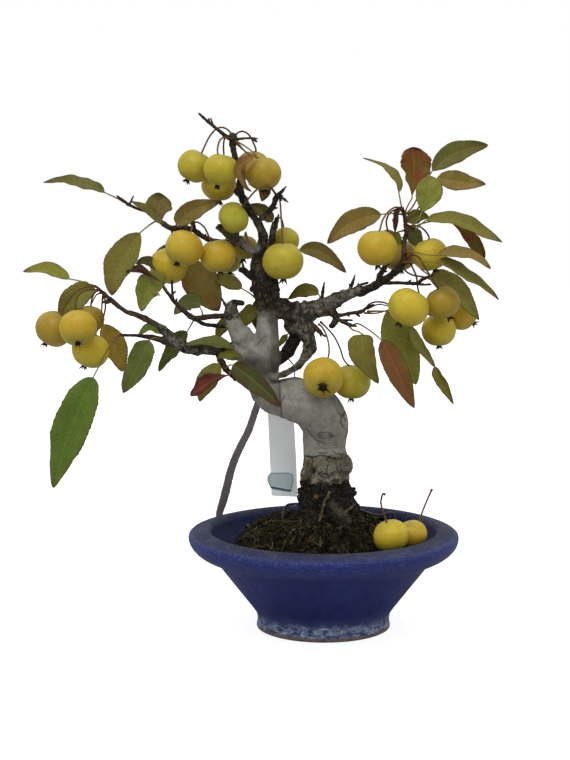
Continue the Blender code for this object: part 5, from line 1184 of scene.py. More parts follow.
TRUNK_MARKS = [
    spot(2, 112, 8, 6.5, srgb(178, 174, 158), 0.50, -1.4),
    swirl(2, 112.5, 9, 7.5, DARK_FOLD, 0.62, 0.8),
    swirl(15.5, 118, 4.5, 5, DARK_FOLD, 0.66, 0.6),
    spot(-10.5, 110, 3.2, 9, srgb(48, 40, 29), 0.65, 0.5),
    spot(14, 108, 4, 4, srgb(60, 53, 40), 0.60, 0.4),
    spot(-12, 103, 4, 2.6, HOLLOW, 0.85, 0.4),
    spot(-1, 102, 5, 1.8, HOLLOW, 0.80, 0.5),
    spot(8.6, 103.6, 4, 2.2, HOLLOW, 0.75, 0.5),
    spot(16, 102.6, 3.6, 2.6, HOLLOW, 0.85, 0.4),
    spot(-43, 222, 9, 3.6, srgb(70, 61, 50), 0.65),
    spot(-37, 217.5, 3.4, 5, srgb(66, 58, 47), 0.60),
    spot(-48.6, 218, 3, 4, srgb(86, 79, 67), 0.45),
    spot(-50, 267, 7, 4.4, srgb(150, 149, 142), 0.65),
    spot(-60.5, 273, 3.4, 3.6, HOLLOW, 0.75, 0.3),
    spot(-48.7, 163.5, 3, 2, srgb(88, 84, 74), 0.5),
    stroke(0.9, srgb(62, 58, 48), 0.7, 0.5, (-30.4, 156.7), (-29.6, 161), (-27.6, 164)),
    # Painted shade: these two spots darken the arch where it meets the riser, under the front limb.
    spot(-28, 172, 9, 3, srgb(98, 95, 84), 0.40),
    spot(-33, 164, 3, 9, srgb(92, 89, 78), 0.40),
    stroke(1.1, HOLLOW, 0.85, 0.9, (-13.6, 121.4), (-8.2, 120.6), (-1.6, 121.8), (4.6, 121)),
    stroke(1.1, HOLLOW, 0.80, 0.9, (3.6, 120.4), (9.4, 119.2), (14.2, 120.8), (19, 122.4)),
    # Painted shade: these five spots darken the riser towards its lower part and its right side.
    spot(-43, 184, 13, 9, srgb(80, 77, 66), 0.60),
    spot(-33.6, 190, 6, 13, srgb(64, 61, 51), 0.65),
    spot(-49, 190, 7, 6, srgb(88, 86, 76), 0.50),
    spot(-34.6, 214, 3.6, 12, srgb(76, 73, 64), 0.60),
    spot(-43, 204, 5, 7, srgb(96, 94, 84), 0.40),
    spot(16.5, 118, 4.5, 6, srgb(100, 88, 68), 0.55),
    stroke(1, DARK_FOLD, 0.9, 0.8, (-4.4, 108.6), (-1.4, 109.6), (2.6, 108.2)),
    stroke(0.8, DARK_FOLD, 0.8, 0.6, (-3.4, 123.6), (-0.6, 123), (2.4, 123.8)),
    stroke(0.8, DARK_FOLD, 0.8, 0.6, (6.2, 125.2), (9, 123.2), (12.4, 122.4)),
    stroke(0.9, DARK_FOLD, 0.7, 0.5, (-10.5, 121.5), (-8, 118.5), (-8.8, 112), (-6.4, 106.5)),
    stroke(0.9, DARK_FOLD, 0.7, 0.5, (2.4, 120.5), (3.6, 116.5), (1.6, 111.6), (3.4, 106.4)),
    stroke(0.7, DARK_FOLD, 0.6, 0.4, (8.4, 120.2), (11.2, 117), (12.6, 112), (10.4, 106.8)),
    spot(-10.6, 116, 2.4, 2.6, RUST_PEEL, 0.40, -0.2),
    spot(-7.2, 111, 1.5, 2.4, HOLLOW, 0.9, 1),
    stroke(2.4, HOLLOW, 0.7, 0.7, (-14, 99.6), (-4, 100.6), (6, 99.2), (18, 100.4)),
    ring(0.8, 135.9, 4.9, 2.4, SOFT_SCAR, 0.75, 0.25),
    ring(0.9, 135.9, 2.9, 1.3, SOFT_SCAR, 0.60, 0.20),
    spot(6.8, 135.6, 1.1, 0.8, DARK_FOLD, 0.6, 0.2),
    stroke(0.7, SOFT_SCAR, 0.6, 0.18, (-3.4, 132.6), (1.6, 131.9), (7.6, 132.9)),
    stroke(0.7, SOFT_SCAR, 0.55, 0.18, (-4.4, 131), (1.2, 130.4), (8.6, 131.2)),
    stroke(0.7, SOFT_SCAR, 0.55, 0.18, (-4.8, 129.2), (2, 128.8), (9.6, 129.6)),
    stroke(0.7, SOFT_SCAR, 0.50, 0.15, (-6.2, 127.4), (2.4, 127), (10, 127.8)),
    stroke(1.1, srgb(70, 66, 56), 0.75, 0.45, (-12.2, 140.4), (-8.6, 135.6), (-5.6, 132.4), (0.8, 130)),
    stroke(0.9, DARK_FOLD, 0.85, 0.5, (10.4, 152), (12.4, 148.6), (11.6, 145.4), (13.8, 142)),
    stroke(0.8, DARK_FOLD, 0.80, 0.4, (14.6, 153), (13.8, 149.4), (15.4, 146)),
    spot(13, 150.4, 1.2, 1.8, HOLLOW, 0.7, 0.6),
    spot(16.4, 155.5, 1.8, 3.4, HOLLOW, 0.8, 0.4),
    spot(17.6, 147.5, 1.3, 3.8, srgb(60, 54, 44), 0.7, 0.3),
    spot(-5.4, 92.7, 2.4, 2, RUST_PEEL, 0.8, -0.4),
    stroke(2.2, TAN_ROOT, 0.80, -1.2, (4, 96), (2.6, 92.6), (0.6, 88.6), (-1.6, 80), (-2.4, 74)),
    spot(3.8, 95.4, 1.9, 1.5, TAN_ROOT, 0.85, -1),
    stroke(1.8, TAN_ROOT, 0.80, -1, (15.4, 81.4), (18.6, 84), (22.4, 87)),
    stroke(6, srgb(78, 71, 54), 0.70, -1.6, (5.4, 88), (9.6, 83), (14.4, 78.6), (20, 75)),
    stroke(1.2, HOLLOW, 0.85, 0.9, (9, 80), (13.4, 75.6)),
    spot(14.4, 77, 2.6, 2.4, HOLLOW, 0.85, 0.8),
    stroke(1.5, srgb(86, 68, 44), 0.7, -0.2, (-30.4, 150), (-27.6, 147.4), (-24, 145.6), (-17.6, 141.4)),
    stroke(1.3, srgb(64, 62, 52), 0.6, 0.7, (-29.6, 150.6), (-30.8, 160), (-31.4, 178)),
    stroke(0.8, srgb(70, 68, 58), 0.7, 0.4, (-48, 198.4), (-45.2, 201.4), (-43.2, 204.2), (-40.2, 205.6)),
    stroke(0.8, srgb(80, 78, 68), 0.5, 0.3, (-34.6, 197), (-36.6, 201), (-36.4, 206)),
    spot(-6, 158, 7, 4, srgb(136, 140, 142), 0.30),
    spot(-20, 163, 7, 4, srgb(138, 141, 140), 0.30),
    spot(4.5, 146, 4.5, 4, srgb(124, 128, 126), 0.30),
    spot(-42.6, 228.4, 1.5, 1.6, srgb(104, 64, 44), 0.8, -0.5),
    spot(-39, 230.6, 1.6, 1.5, srgb(96, 58, 40), 0.8, -0.5),
    spot(-36.4, 227.6, 1.3, 1.4, srgb(60, 46, 34), 0.8, -0.5),
]


@dataclass
class BarkPainter:
    """Finds the bark's relief and its colour at any point of the tree from the routes of its limbs."""

    routes: dict[str, list[RoutePoint]]
    ragged_lookup: float = 2.2
    chunk: int = 4000
    edge_on: float = 0.05
    highest_on_back: float = 170.0

    def __post_init__(self) -> None:
        """Gather the samples along every limb."""
        samples = []
        for name, route in self.routes.items():
            along = 0.0
            before = None
            for x, z, near, radius in smooth_route(route, 6):
                centre = seen(x, z, near)
                along += (centre - before).length / MM if before else 0.0
                before = centre
                samples.append((centre, radius, along, bark_at(name, x, z).value))
        self.samples = samples

    def nearest(self, points: np.ndarray) -> np.ndarray:
        """The samples whose limb surface is nearest to points in metres."""
        centres = np.array([tuple(sample[0]) for sample in self.samples])
        radii = np.array([sample[1] for sample in self.samples]) * MM
        found = []
        for start in range(0, len(points), self.chunk):
            part = points[start:start + self.chunk]
            squares = np.sum(part ** 2, 1)[:, None] + np.sum(centres ** 2, 1) - 2.0 * part @ centres.T
            found.append(np.argmin(np.sqrt(np.maximum(squares, 0.0)) - radii, axis=1))
        return np.concatenate(found)

    def finish(self, mesh: bpy.types.Mesh, marks: Sequence[Mark]) -> None:
        """Move a bark mesh's vertices out and in, and colour them.

        Args:
            mesh: the mesh, whose vertices have their place.
            marks: the features of the trunk, and patches of painted shade on it.
        """
        count = len(mesh.vertices)
        places = np.empty(count * 3)
        mesh.vertices.foreach_get("co", places)
        places = places.reshape(-1, 3)
        normals = np.array([tuple(item.vector) for item in mesh.vertex_normals])
        points = places / MM
        low = fractal(points, 0.075, 2, 3.0)
        middle = fractal(points, 0.28, 3, 11.0)
        fine = fractal(points, 0.95, 3, 23.0)
        plates = cells(points, 0.36, 5.0)
        grains = cells(points, 0.85, 9.0)
        lookup = places + np.stack([middle, low, fine], 1) * self.ragged_lookup * MM * 0.7
        indices = self.nearest(lookup)
        table = np.array([(s[2], s[1], *s[3].pale, *s[3].dark, s[3].shade, s[3].lumps, s[3].grit, s[3].cracks,
                           s[3].folds) for s in self.samples])
        own = table[indices]
        along, radius, pale, dark = own[:, 0], own[:, 1], own[:, 2:5], own[:, 5:8]
        shade, lumps, grit, crack_depth, fold_depth = own[:, 8:13].T
        thick = np.clip(radius / 8.0, 0.25, 1.0)
        cracks = 1.0 - smoothstep(0.02, 0.16, plates + 0.10 * fine)
        pits = 1.0 - smoothstep(0.03, 0.22, grains)
        folds = np.abs(np.sin(along * 1.25 + 4.0 * middle + 2.0 * low))
        folds = 1.0 - smoothstep(0.0, 0.45, folds)
        height = (lumps * low + 0.35 * lumps * middle + grit * fine) * thick
        height -= (crack_depth * cracks + 0.5 * crack_depth * pits + fold_depth * folds) * thick
        rugged = np.clip(crack_depth * 2.5, 0, 1)
        knobs = smoothstep(0.10, 0.55, cells(points + 1.4 * np.stack([middle, low, fine], 1), 0.20, 31.0))
        height += 0.9 * lumps * (knobs - 0.5) * rugged * thick
        darkness = shade + (0.26 + 0.24 * rugged) * middle + 0.12 * fine + 0.34 * low * rugged
        darkness += 0.35 * cracks * rugged - 0.34 * (knobs - 0.5) * rugged
        darkness += 0.14 * pits * np.clip(crack_depth * 3.0, 0, 1)
        darkness += 0.40 * folds * np.clip(fold_depth * 2.0, 0, 1)
        darkness = np.clip(darkness, 0.0, 1.0)[:, None]
        colour = pale * (1.0 - darkness) + dark * darkness
        mossy = smoothstep(0.10, 0.45, low + 0.4 * fine) * smoothstep(100.0, 80.0, points[:, 2])
        colour = colour * (1 - 0.55 * mossy[:, None]) + np.array(srgb(52, 56, 24)) * 0.55 * mossy[:, None]
        eye = np.array(ELEVATION_EYE)
        sight = eye - places
        reach = sight / np.linalg.norm(sight, axis=1)[:, None]
        front = np.sum(reach * normals, axis=1)
        share = places[:, 1] / (places[:, 1] - eye[1])
        shown = (places + sight * share[:, None]) / MM
        for mark in marks:
            for side, flip in ((front > self.edge_on, 1.0), (front < -self.edge_on, -1.0)):
                place = shown[side]
                if flip < 0.0:
                    if mark.points[0][1] > self.highest_on_back:
                        continue
                    place = places[side] / MM * np.array([-1.0, 1.0, 1.0]) + np.array([2.0, 0.0, 0.0])
                weight = mark.weight(place[:, 0], place[:, 2], middle[side])
                height[side] -= mark.depth * weight
                weight = (weight * mark.strength)[:, None]
                colour[side] = colour[side] * (1 - weight) + np.array(mark.colour) * weight
        places += normals * height[:, None] * MM
        mesh.vertices.foreach_set("co", places.ravel())
        layer = mesh.attributes.new("bark", "FLOAT_COLOR", "POINT")
        values = np.concatenate([np.clip(colour, 0.003, 0.9), np.ones((count, 1))], 1)
        layer.data.foreach_set("color", values.ravel())
        mesh.update()


@dataclass
class Tree:
    """The trunk, its limbs, twigs, buds and roots."""

    voxel: float = 0.00055
    keep: float = 0.5
    thin: float = 2.7
    node_spacing: float = 7.5
    seed: int = 11

    def crooked(self, name: str, route: list[RoutePoint]) -> list[tuple[Vector, float]]:
        """A limb's route with the slight crookedness and the nodes of a real one.

        Args:
            name: the limb, which seeds its shape.
            route: its points.

        Returns:
            Centres and radii in metres.
        """
        chance = random.Random(f"{self.seed}{name}")
        fine = smooth_route(route, 8)
        thickest = max(point[3] for point in fine)
        trunk = name in TRUNK and "leader" not in name or name.startswith("root")
        sway = 0.0 if trunk else min(0.12 * thickest, 0.35)
        next_node = chance.uniform(2.0, self.node_spacing)
        nodes = []
        centres = [seen(*point[:3]) for point in fine]
        stations = walk(centres)[1]
        while next_node < stations[-1]:
            nodes.append((next_node, chance.uniform(0.10, 0.26)))
            next_node += chance.uniform(0.6, 1.4) * self.node_spacing * (0.7 + thickest / 8.0)
        phase = Vector((chance.uniform(0, 50), chance.uniform(0, 50), chance.uniform(0, 50)))
        result = []
        for centre, station, point in zip(centres, stations, fine):
            radius = point[3]
            if not trunk:
                swell = sum(size * math.exp(-((station - at) / (0.55 + 0.22 * radius)) ** 2) for at, size in nodes)
                radius *= 1.0 + swell - 0.05
            drift = noise.noise_vector(Vector((station * 0.16, 0.0, 0.0)) + phase)
            result.append((centre + drift * (sway * MM), radius * MM))
        start = result[0][0] + (result[0][0] - result[1][0]).normalized() * result[0][1] * 0.4
        end = result[-1][0] + (result[-1][0] - result[-2][0]).normalized() * result[-1][1] * 0.5
        return [(start, result[0][1] * 0.7), *result, (end, result[-1][1] * 0.55)]

    def swellings(self, shape: Shape) -> None:
        """Add the burls and knots to the thick limbs."""
        for x, z, near, radius, stretch in SWELLINGS.values():
            made = bmesh.ops.create_icosphere(shape, subdivisions=3, radius=radius * MM)
            bmesh.ops.scale(shape, vec=Vector(stretch), verts=made["verts"])
            bmesh.ops.translate(shape, vec=seen(x, z, near), verts=made["verts"])

    def remeshed(self, shape: Shape, name: str) -> bpy.types.Mesh:
        """Grow the overlapping limbs together into one fine skin."""
        mesh = meshed(name, shape)
        item = placed(name, mesh)
        remesh = item.modifiers.new("grown_together", "REMESH")
        remesh.mode = "VOXEL"
        remesh.voxel_size = self.voxel
        soften = item.modifiers.new("soften", "SMOOTH")
        soften.factor = 0.5
        soften.iterations = 4
        return bake(item)

    def lightened(self, mesh: bpy.types.Mesh, name: str) -> bpy.types.Mesh:
        """Take out the faces that a finished skin can spare.

        Args:
            mesh: the skin.
            name: its name.

        Returns:
            The lighter mesh, under the same name.
        """
        mesh.name = name + "_fine"
        item = placed(mesh.name, mesh)
        fewer = item.modifiers.new("fewer_faces", "DECIMATE")
        fewer.ratio = self.keep
        light = bake(item)
        light.name = name
        return light

    def add_buds(self, shape: Shape, routes: dict[str, list[tuple[Vector, float]]]) -> None:
        """Put pointed buds at the tips of the twigs and here and there along them."""
        chance = random.Random(self.seed)
        for route in routes.values():
            last = len(route) - 1
            seats = [(last, 0.0)]
            station = chance.randint(6, 16)
            while station < last - 3:
                seats.append((station, chance.uniform(0.6, 1.2)))
                station += chance.randint(8, 20)
            for index, lean in seats:
                centre, radius = route[index]
                ahead = (centre - route[index - 1][0]).normalized()
                aside = ahead.orthogonal().normalized()
                aside.rotate(Matrix.Rotation(chance.uniform(0, 2 * math.pi), 3, ahead))
                point = (ahead + aside * lean).normalized()
                length = chance.uniform(1.5, 2.6) * MM
                made = bmesh.ops.create_icosphere(shape, subdivisions=1, radius=1.0)
                turn = Vector((0, 0, 1)).rotation_difference(point).to_matrix().to_4x4()
                size = Matrix.Diagonal((length * 0.42, length * 0.42, length, 1.0))
                place = Matrix.Translation(centre + aside * (radius * 0.7 if lean else 0.0) + point * length * 0.4)
                bmesh.ops.transform(shape, matrix=place @ turn @ size, verts=made["verts"])

    def build(self, finish: Material) -> None:
        """Build the trunk piece and the twig piece."""
        noise.seed_set(self.seed)
        routes = {**TRUNK, **LIMBS}
        painter = BarkPainter(routes)
        shaped = {name: self.crooked(name, route) for name, route in routes.items()}
        thin = {name: route for name, route in shaped.items()
                if name not in TRUNK and max(point[3] for point in routes[name]) < self.thin}
        thick = [route for name, route in shaped.items() if name not in thin]
        shape = tubes(thick, 5)
        self.swellings(shape)
        trunk = self.remeshed(shape, "trunk_and_limbs")
        twigs = tubes(thin.values(), 3)
        self.add_buds(twigs, thin)
        twig_mesh = meshed("twigs_and_buds", twigs)
        for name, mesh, marks in (("trunk_and_limbs", trunk, TRUNK_MARKS), ("twigs_and_buds", twig_mesh, [])):
            mesh.name = name
            painter.finish(mesh, marks)
            if marks:
                mesh = self.lightened(mesh, name)
            mesh.materials.clear()
            mesh.materials.append(finish)
            mesh.shade_smooth()
            piece = placed(name, mesh)
            dress(piece, ["tree"])


# Fruit

@dataclass(frozen=True)
class FruitTone:
    """The colours of one fruit: its lit top, its eye and stalk ends, whose green also stands in as painted shade on
    its underside, and its blush.
    """

    sun: Colour
    green: Colour
    blush: Colour
    blush_share: float


class Ripeness(Enum):
    """How far the fruit have turned."""

    GOLD = FruitTone(srgb(198, 170, 42), srgb(160, 152, 50), srgb(188, 144, 36), 0.30)
    YELLOW = FruitTone(srgb(206, 184, 46), srgb(172, 166, 52), srgb(202, 162, 40), 0.22)
    GREENISH = FruitTone(srgb(184, 170, 46), srgb(150, 148, 48), srgb(186, 160, 44), 0.15)
    UNRIPE = FruitTone(srgb(178, 174, 52), srgb(150, 156, 54), srgb(184, 170, 50), 0.15)
    AMBER = FruitTone(srgb(172, 148, 38), srgb(140, 130, 44), srgb(156, 118, 34), 0.35)


FRUIT_BY_TONE = {
    Ripeness.GREENISH: "01 02 12 13 28",
    Ripeness.YELLOW: "03 09 17 21 22 24 29",
    # On 05 and 14, which hang behind other fruit, the darker AMBER tone is partly their own colour and partly painted
    # shade.
    Ripeness.AMBER: "04 05 14 15 18 20 23",
    Ripeness.UNRIPE: "06 11",
    Ripeness.GOLD: "10",
}
FRUIT_TONES = {label: tone for tone, labels in FRUIT_BY_TONE.items() for label in labels.split()}


# How much larger than usual a calyx is
WIDE_EYES = {"27": 1.7, "12": 1.15, "03": 1.15}


@dataclass
class Fruit:
    """One crabapple: flesh with both dimples, the dried calyx at its eye, and its stalk."""

    label: str
    spec: tuple
    squash: float = 0.93
    stalk_radius: float = 0.62
    sepals: int = 5
    stalk_dimple: float = 0.16
    eye_dimple: float = 0.09
    dimple_reach: float = 0.27

    def flesh(self, chance: random.Random, radius: float, axis: Vector, centre: Vector, tone: FruitTone) -> Shape:
        """The fruit's body, coloured.

        Args:
            chance: its own random numbers.
            radius: in millimetres.
            axis: from its middle to its eye.
            centre: its middle.
            tone: its colours.

        Returns:
            The bmesh.
        """
        shape = bmesh.new()
        bmesh.ops.create_uvsphere(shape, u_segments=44, v_segments=28, radius=1.0)
        tint = shape.verts.layers.float_color.new("tint")
        shift = Vector([chance.uniform(0, 40) for _ in range(3)])
        turn = Vector((0.0, 0.0, -1.0)).rotation_difference(axis).to_matrix()
        blush_side = Vector((chance.uniform(-0.7, 0.7), -0.6, chance.uniform(-0.1, 0.8))).normalized()
        for vert in shape.verts:
            unit = vert.co.copy()
            height = unit.z
            rim = math.hypot(unit.x, unit.y)
            dimple = self.stalk_dimple if height > 0 else self.eye_dimple
            fall = dimple * math.exp(-(rim / self.dimple_reach) ** 2)
            waist = 1.0 + 0.040 * noise.noise(unit * 1.3 + shift)
            lobes = 0.014 * math.cos(5 * math.atan2(unit.y, unit.x)) * math.exp(-((height + 0.9) / 0.22) ** 2)
            vert.co.x *= waist + lobes
            vert.co.y *= waist + lobes
            vert.co.z = (abs(height) * self.squash - fall) * (1.0 if height > 0 else -1.0)
            outward = turn @ unit
            patch = noise.fractal(unit * 2.2 + shift, 1.0, 2.1, 3)
            ends = max(0.0, (abs(height) - 0.62) / 0.38) if height > 0 else max(0.0, (abs(height) - 0.52) / 0.48)
            # Greener towards the eye and stalk ends and in random patches: the fruit's own colour. Greener towards
            # the underside, where outward.z is below zero: painted shade.
            colour = blend(tone.sun, tone.green, 0.80 * ends + 0.25 * max(0.0, -outward.z) + 0.25 * patch)
            warm = max(0.0, outward.dot(blush_side)) ** 2 * tone.blush_share * (1.1 + 0.9 * patch)
            colour = blend(colour, tone.blush, warm)
            # A dull olive laid on the underside, where outward.z is below zero, is painted shade; laid in random
            # patches it is the fruit's own colour.
            colour = blend(colour, srgb(150, 126, 44), 0.30 * max(0.0, -outward.z) + 0.35 * max(0.0, -patch))
            if rim < 0.16:
                colour = blend(colour, srgb(92, 78, 36), 0.55 * (1.0 - rim / 0.16))
            vert[tint] = (*colour, 1.0)
        place = Matrix.Translation(centre) @ turn.to_4x4() @ Matrix.Scale(radius * MM, 4)
        bmesh.ops.transform(shape, matrix=place, verts=shape.verts)
        return shape

    def calyx(self, chance: random.Random, radius: float, axis: Vector, centre: Vector) -> Shape:
        """The dried calyx: pointed sepals round a short tube, with withered threads inside."""
        shape = bmesh.new()
        eye = centre + axis * (radius * (self.squash - 0.10) * MM)
        turn = Vector((0, 0, 1)).rotation_difference(axis).to_matrix().to_4x4()
        spin = chance.uniform(0, 2 * math.pi)
        made = bmesh.ops.create_cone(shape, cap_ends=True, segments=8, radius1=1.45 * MM, radius2=1.75 * MM,
                                     depth=2.0 * MM)
        bmesh.ops.transform(shape, matrix=Matrix.Translation(eye + axis * 0.7 * MM) @ turn, verts=made["verts"])
        for k in range(self.sepals + 4):
            sepal = k < self.sepals
            length = (chance.uniform(2.6, 3.8) if sepal else chance.uniform(1.8, 2.6)) * MM
            lean = chance.uniform(0.35, 0.95) if sepal else chance.uniform(0.0, 0.4)
            made = bmesh.ops.create_cone(shape, cap_ends=True, segments=5, radius1=0.95 * MM if sepal else 0.24 * MM,
                                         radius2=0.16 * MM, depth=length)
            bmesh.ops.translate(shape, vec=(0, 0, length / 2), verts=made["verts"])
            flat = Matrix.Diagonal((1.0, 0.5, 1.0, 1.0))
            out = Matrix.Rotation(spin + 2 * math.pi * k / self.sepals + chance.uniform(-0.2, 0.2), 4, "Z")
            tilt = Matrix.Translation((0.0, 0.0, 1.0 * MM)) @ out @ Matrix.Translation(
                (0.75 * MM if sepal else 0.3 * MM, 0, 0)) @ Matrix.Rotation(lean, 4, "Y")
            bmesh.ops.transform(shape, matrix=Matrix.Translation(eye) @ turn @ tilt @ flat, verts=made["verts"])
        grown = Matrix.Translation(eye) @ Matrix.Scale(WIDE_EYES.get(self.label, 1.0), 4) @ Matrix.Translation(-eye)
        bmesh.ops.transform(shape, matrix=grown, verts=shape.verts)
        bmesh.ops.recalc_face_normals(shape, faces=shape.faces)
        paint(shape, "tint", lambda vert: blend(srgb(30, 24, 16), srgb(84, 68, 40),
                                                1.2 * max(0.0, noise.noise(vert.co / MM * 0.6))))
        return shape

    def stalk(self, chance: random.Random, radius: float, axis: Vector, centre: Vector) -> Shape:
        """The long stalk from its twig down into the fruit's dimple."""
        foot = centre - axis * (radius * (self.squash - 0.22) * MM)
        points = [tuple(seen(*point)) for point in self.spec[3]] + [tuple(foot)]
        fine = smooth_route(points, 5)
        count = len(fine)
        route = []
        for index, point in enumerate(fine):
            t = index / (count - 1)
            swell = 1.0 + 0.55 * math.exp(-(t / 0.07) ** 2) + 0.35 * math.exp(-((1 - t) / 0.08) ** 2)
            route.append((Vector(point), self.stalk_radius * MM * swell))
        shape = tubes([route], 2)
        top = Vector(points[0])
        length = max((Vector(points[-1]) - top).length, 1e-6)
        warm = chance.uniform(0.0, 1.0)
        upper = blend(srgb(104, 58, 38), srgb(84, 46, 34), warm)
        lower = blend(srgb(128, 112, 52), srgb(106, 66, 40), warm)
        paint(shape, "tint", lambda vert: blend(upper, lower, (vert.co - top).length / length))
        return shape

    def build(self, skin: Material, dry: Material) -> None:
        """Build the fruit as one piece that replaces its CAD solid."""
        (x, z, near), radius, (dx, dz), _ = self.spec
        chance = random.Random(f"fruit{self.label}")
        radius *= 1.0 - near / (-ELEVATION_EYE.y / MM)
        forward = math.sqrt(max(0.0, (radius * 0.96) ** 2 - dx * dx - dz * dz))
        axis = Vector((dx, -forward, dz)).normalized()
        centre = seen(x, z, near)
        tone = FRUIT_TONES.get(self.label, Ripeness.GOLD).value
        shape = self.flesh(chance, radius, axis, centre, tone)
        for part in (self.calyx(chance, radius, axis, centre), self.stalk(chance, radius, axis, centre)):
            for face in part.faces:
                face.material_index = 1
            append(shape, part)
        add_piece(f"crabapple_{self.label}", shape, [skin, dry], [f"apple_{self.label}"])


def append(target: Shape, extra: Shape) -> None:
    """Add one bmesh to another, attributes too, and free it."""
    mesh = meshed("part", extra)
    target.from_mesh(mesh)
    bpy.data.meshes.remove(mesh)


# Leaves

@dataclass(frozen=True)
class LeafTone:
    """The colours of one leaf: along the midrib, towards the margin, at the tip, and a patch of blush."""

    heart: Colour
    side: Colour
    tip: Colour
    blush: Colour
    blush_share: float = 0.3
    tip_share: float = 0.5


class Turning(Enum):
    """How far the leaves have turned."""

    GREEN = LeafTone(srgb(92, 122, 38), srgb(106, 126, 44), srgb(116, 112, 54), srgb(80, 96, 40), 0.3, 0.3)
    MOSS = LeafTone(srgb(94, 106, 44), srgb(98, 110, 46), srgb(88, 84, 38), srgb(104, 98, 42), 0.3, 0.4)
    FRESH = LeafTone(srgb(130, 134, 52), srgb(134, 138, 56), srgb(120, 110, 46), srgb(138, 130, 48), 0.3, 0.3)
    LIME = LeafTone(srgb(138, 138, 42), srgb(130, 134, 42), srgb(74, 48, 28), srgb(140, 128, 42), 0.3, 0.8)
    OLIVE = LeafTone(srgb(124, 120, 46), srgb(118, 117, 46), srgb(98, 68, 34), srgb(134, 114, 46), 0.4, 0.6)
    DULL = LeafTone(srgb(104, 102, 44), srgb(100, 104, 44), srgb(84, 56, 30), srgb(114, 94, 42), 0.4, 0.6)
    OCHRE = LeafTone(srgb(142, 124, 60), srgb(132, 120, 58), srgb(90, 54, 32), srgb(146, 108, 52), 0.5, 0.7)
    RUST = LeafTone(srgb(146, 134, 68), srgb(150, 140, 70), srgb(158, 100, 52), srgb(164, 106, 54), 0.7, 0.6)
    SPLIT = LeafTone(srgb(112, 96, 32), srgb(112, 94, 34), srgb(122, 64, 24), srgb(128, 66, 26), 0.9, 0.8)
    RED = LeafTone(srgb(128, 80, 44), srgb(106, 98, 42), srgb(92, 74, 36), srgb(132, 62, 38), 0.5, 0.3)
    BROWN = LeafTone(srgb(114, 102, 44), srgb(108, 102, 44), srgb(62, 38, 24), srgb(114, 82, 40), 0.5, 0.8)
    DRY = LeafTone(srgb(122, 92, 50), srgb(104, 76, 42), srgb(66, 44, 28), srgb(126, 80, 44), 0.5, 0.6)
    DEAD = LeafTone(srgb(72, 42, 28), srgb(60, 36, 24), srgb(42, 26, 18), srgb(88, 42, 26), 0.5, 0.7)
    DARK = LeafTone(srgb(78, 86, 38), srgb(70, 76, 36), srgb(86, 34, 24), srgb(84, 58, 32), 0.5, 0.9)
    AMBER = LeafTone(srgb(158, 134, 46), srgb(150, 128, 46), srgb(124, 98, 40), srgb(164, 126, 42), 0.4, 0.4)
    STRAW = LeafTone(srgb(150, 114, 64), srgb(138, 104, 58), srgb(112, 80, 46), srgb(156, 110, 60), 0.5, 0.5)
    PALE = LeafTone(srgb(146, 142, 66), srgb(138, 138, 64), srgb(118, 106, 52), srgb(150, 130, 60), 0.4, 0.4)
    BLOOD = LeafTone(srgb(124, 48, 34), srgb(70, 32, 24), srgb(50, 24, 18), srgb(84, 38, 28), 0.6, 0.9)
    GREY = LeafTone(srgb(116, 126, 70), srgb(108, 118, 62), srgb(96, 96, 50), srgb(122, 122, 62), 0.3, 0.3)


@dataclass(frozen=True)
class LeafLook:
    """How a blade departs from a plain one.

    Attributes:
        tone: its colours.
        peak: where along it is widest, 0 to 1.
        twist: degrees that it turns from base to tip.
        wave: millimetres that its margin waves.
        curl: millimetres that its tip bends away from the viewer.
        jag: share of its width that a torn or ragged margin comes in by.
    """

    tone: Turning = Turning.OLIVE
    peak: float = 0.44
    twist: float = 0.0
    wave: float = 0.7
    curl: float = 0.0
    jag: float = 0.08


def leaf_look(tone: str, *shape: float) -> LeafLook:
    """A look from the name of its colours and the numbers that follow them."""
    return LeafLook(Turning[tone], *shape)


# The arguments of leaf_look by leaf
LEAF_LOOKS = {
    "01": ("DULL", 0.45, 12, 1), "02": ("OLIVE", 0.52, 8, 0.6), "03": ("LIME", 0.45, 10, 0.5),
    "04": ("FRESH", 0.42, 0, 1.4, 0, 0.16), "05": ("GREEN", 0.4, 10, 1.8, 3, 0.12),
    "06": ("MOSS", 0.46, 15, 1.6, 0, 0.1), "07": ("RUST", 0.52, 0, 1.4, 0, 0.08), "08": ("DARK", 0.42, 5, 0.8),
    "09": ("OLIVE", 0.45, 10, 0.9), "10": ("OCHRE", 0.4, 0, 0.8), "11": ("BROWN", 0.45, 8, 0.6),
    "12": ("SPLIT", 0.74, -8, 2, 0, 0.2), "13": ("DULL", 0.45, 10, 0.9, 2), "14": ("OCHRE", 0.4, 6, 0.7, 2.5),
    "15": ("FRESH", 0.64, 6, 0.9), "16": ("OLIVE", 0.5, 12, 0.9), "17": ("OCHRE", 0.45, 8, 0.6),
    "18": ("OLIVE", 0.42, 10, 0.9), "19": ("OCHRE", 0.48, 4, 0.6), "20": ("OLIVE", 0.32, 6, 1),
    "21": ("RED", 0.45, 6, 1.2), "22": ("FRESH", 0.5, 4, 1.6), "23": ("PALE", 0.42, 14, 0.9),
}

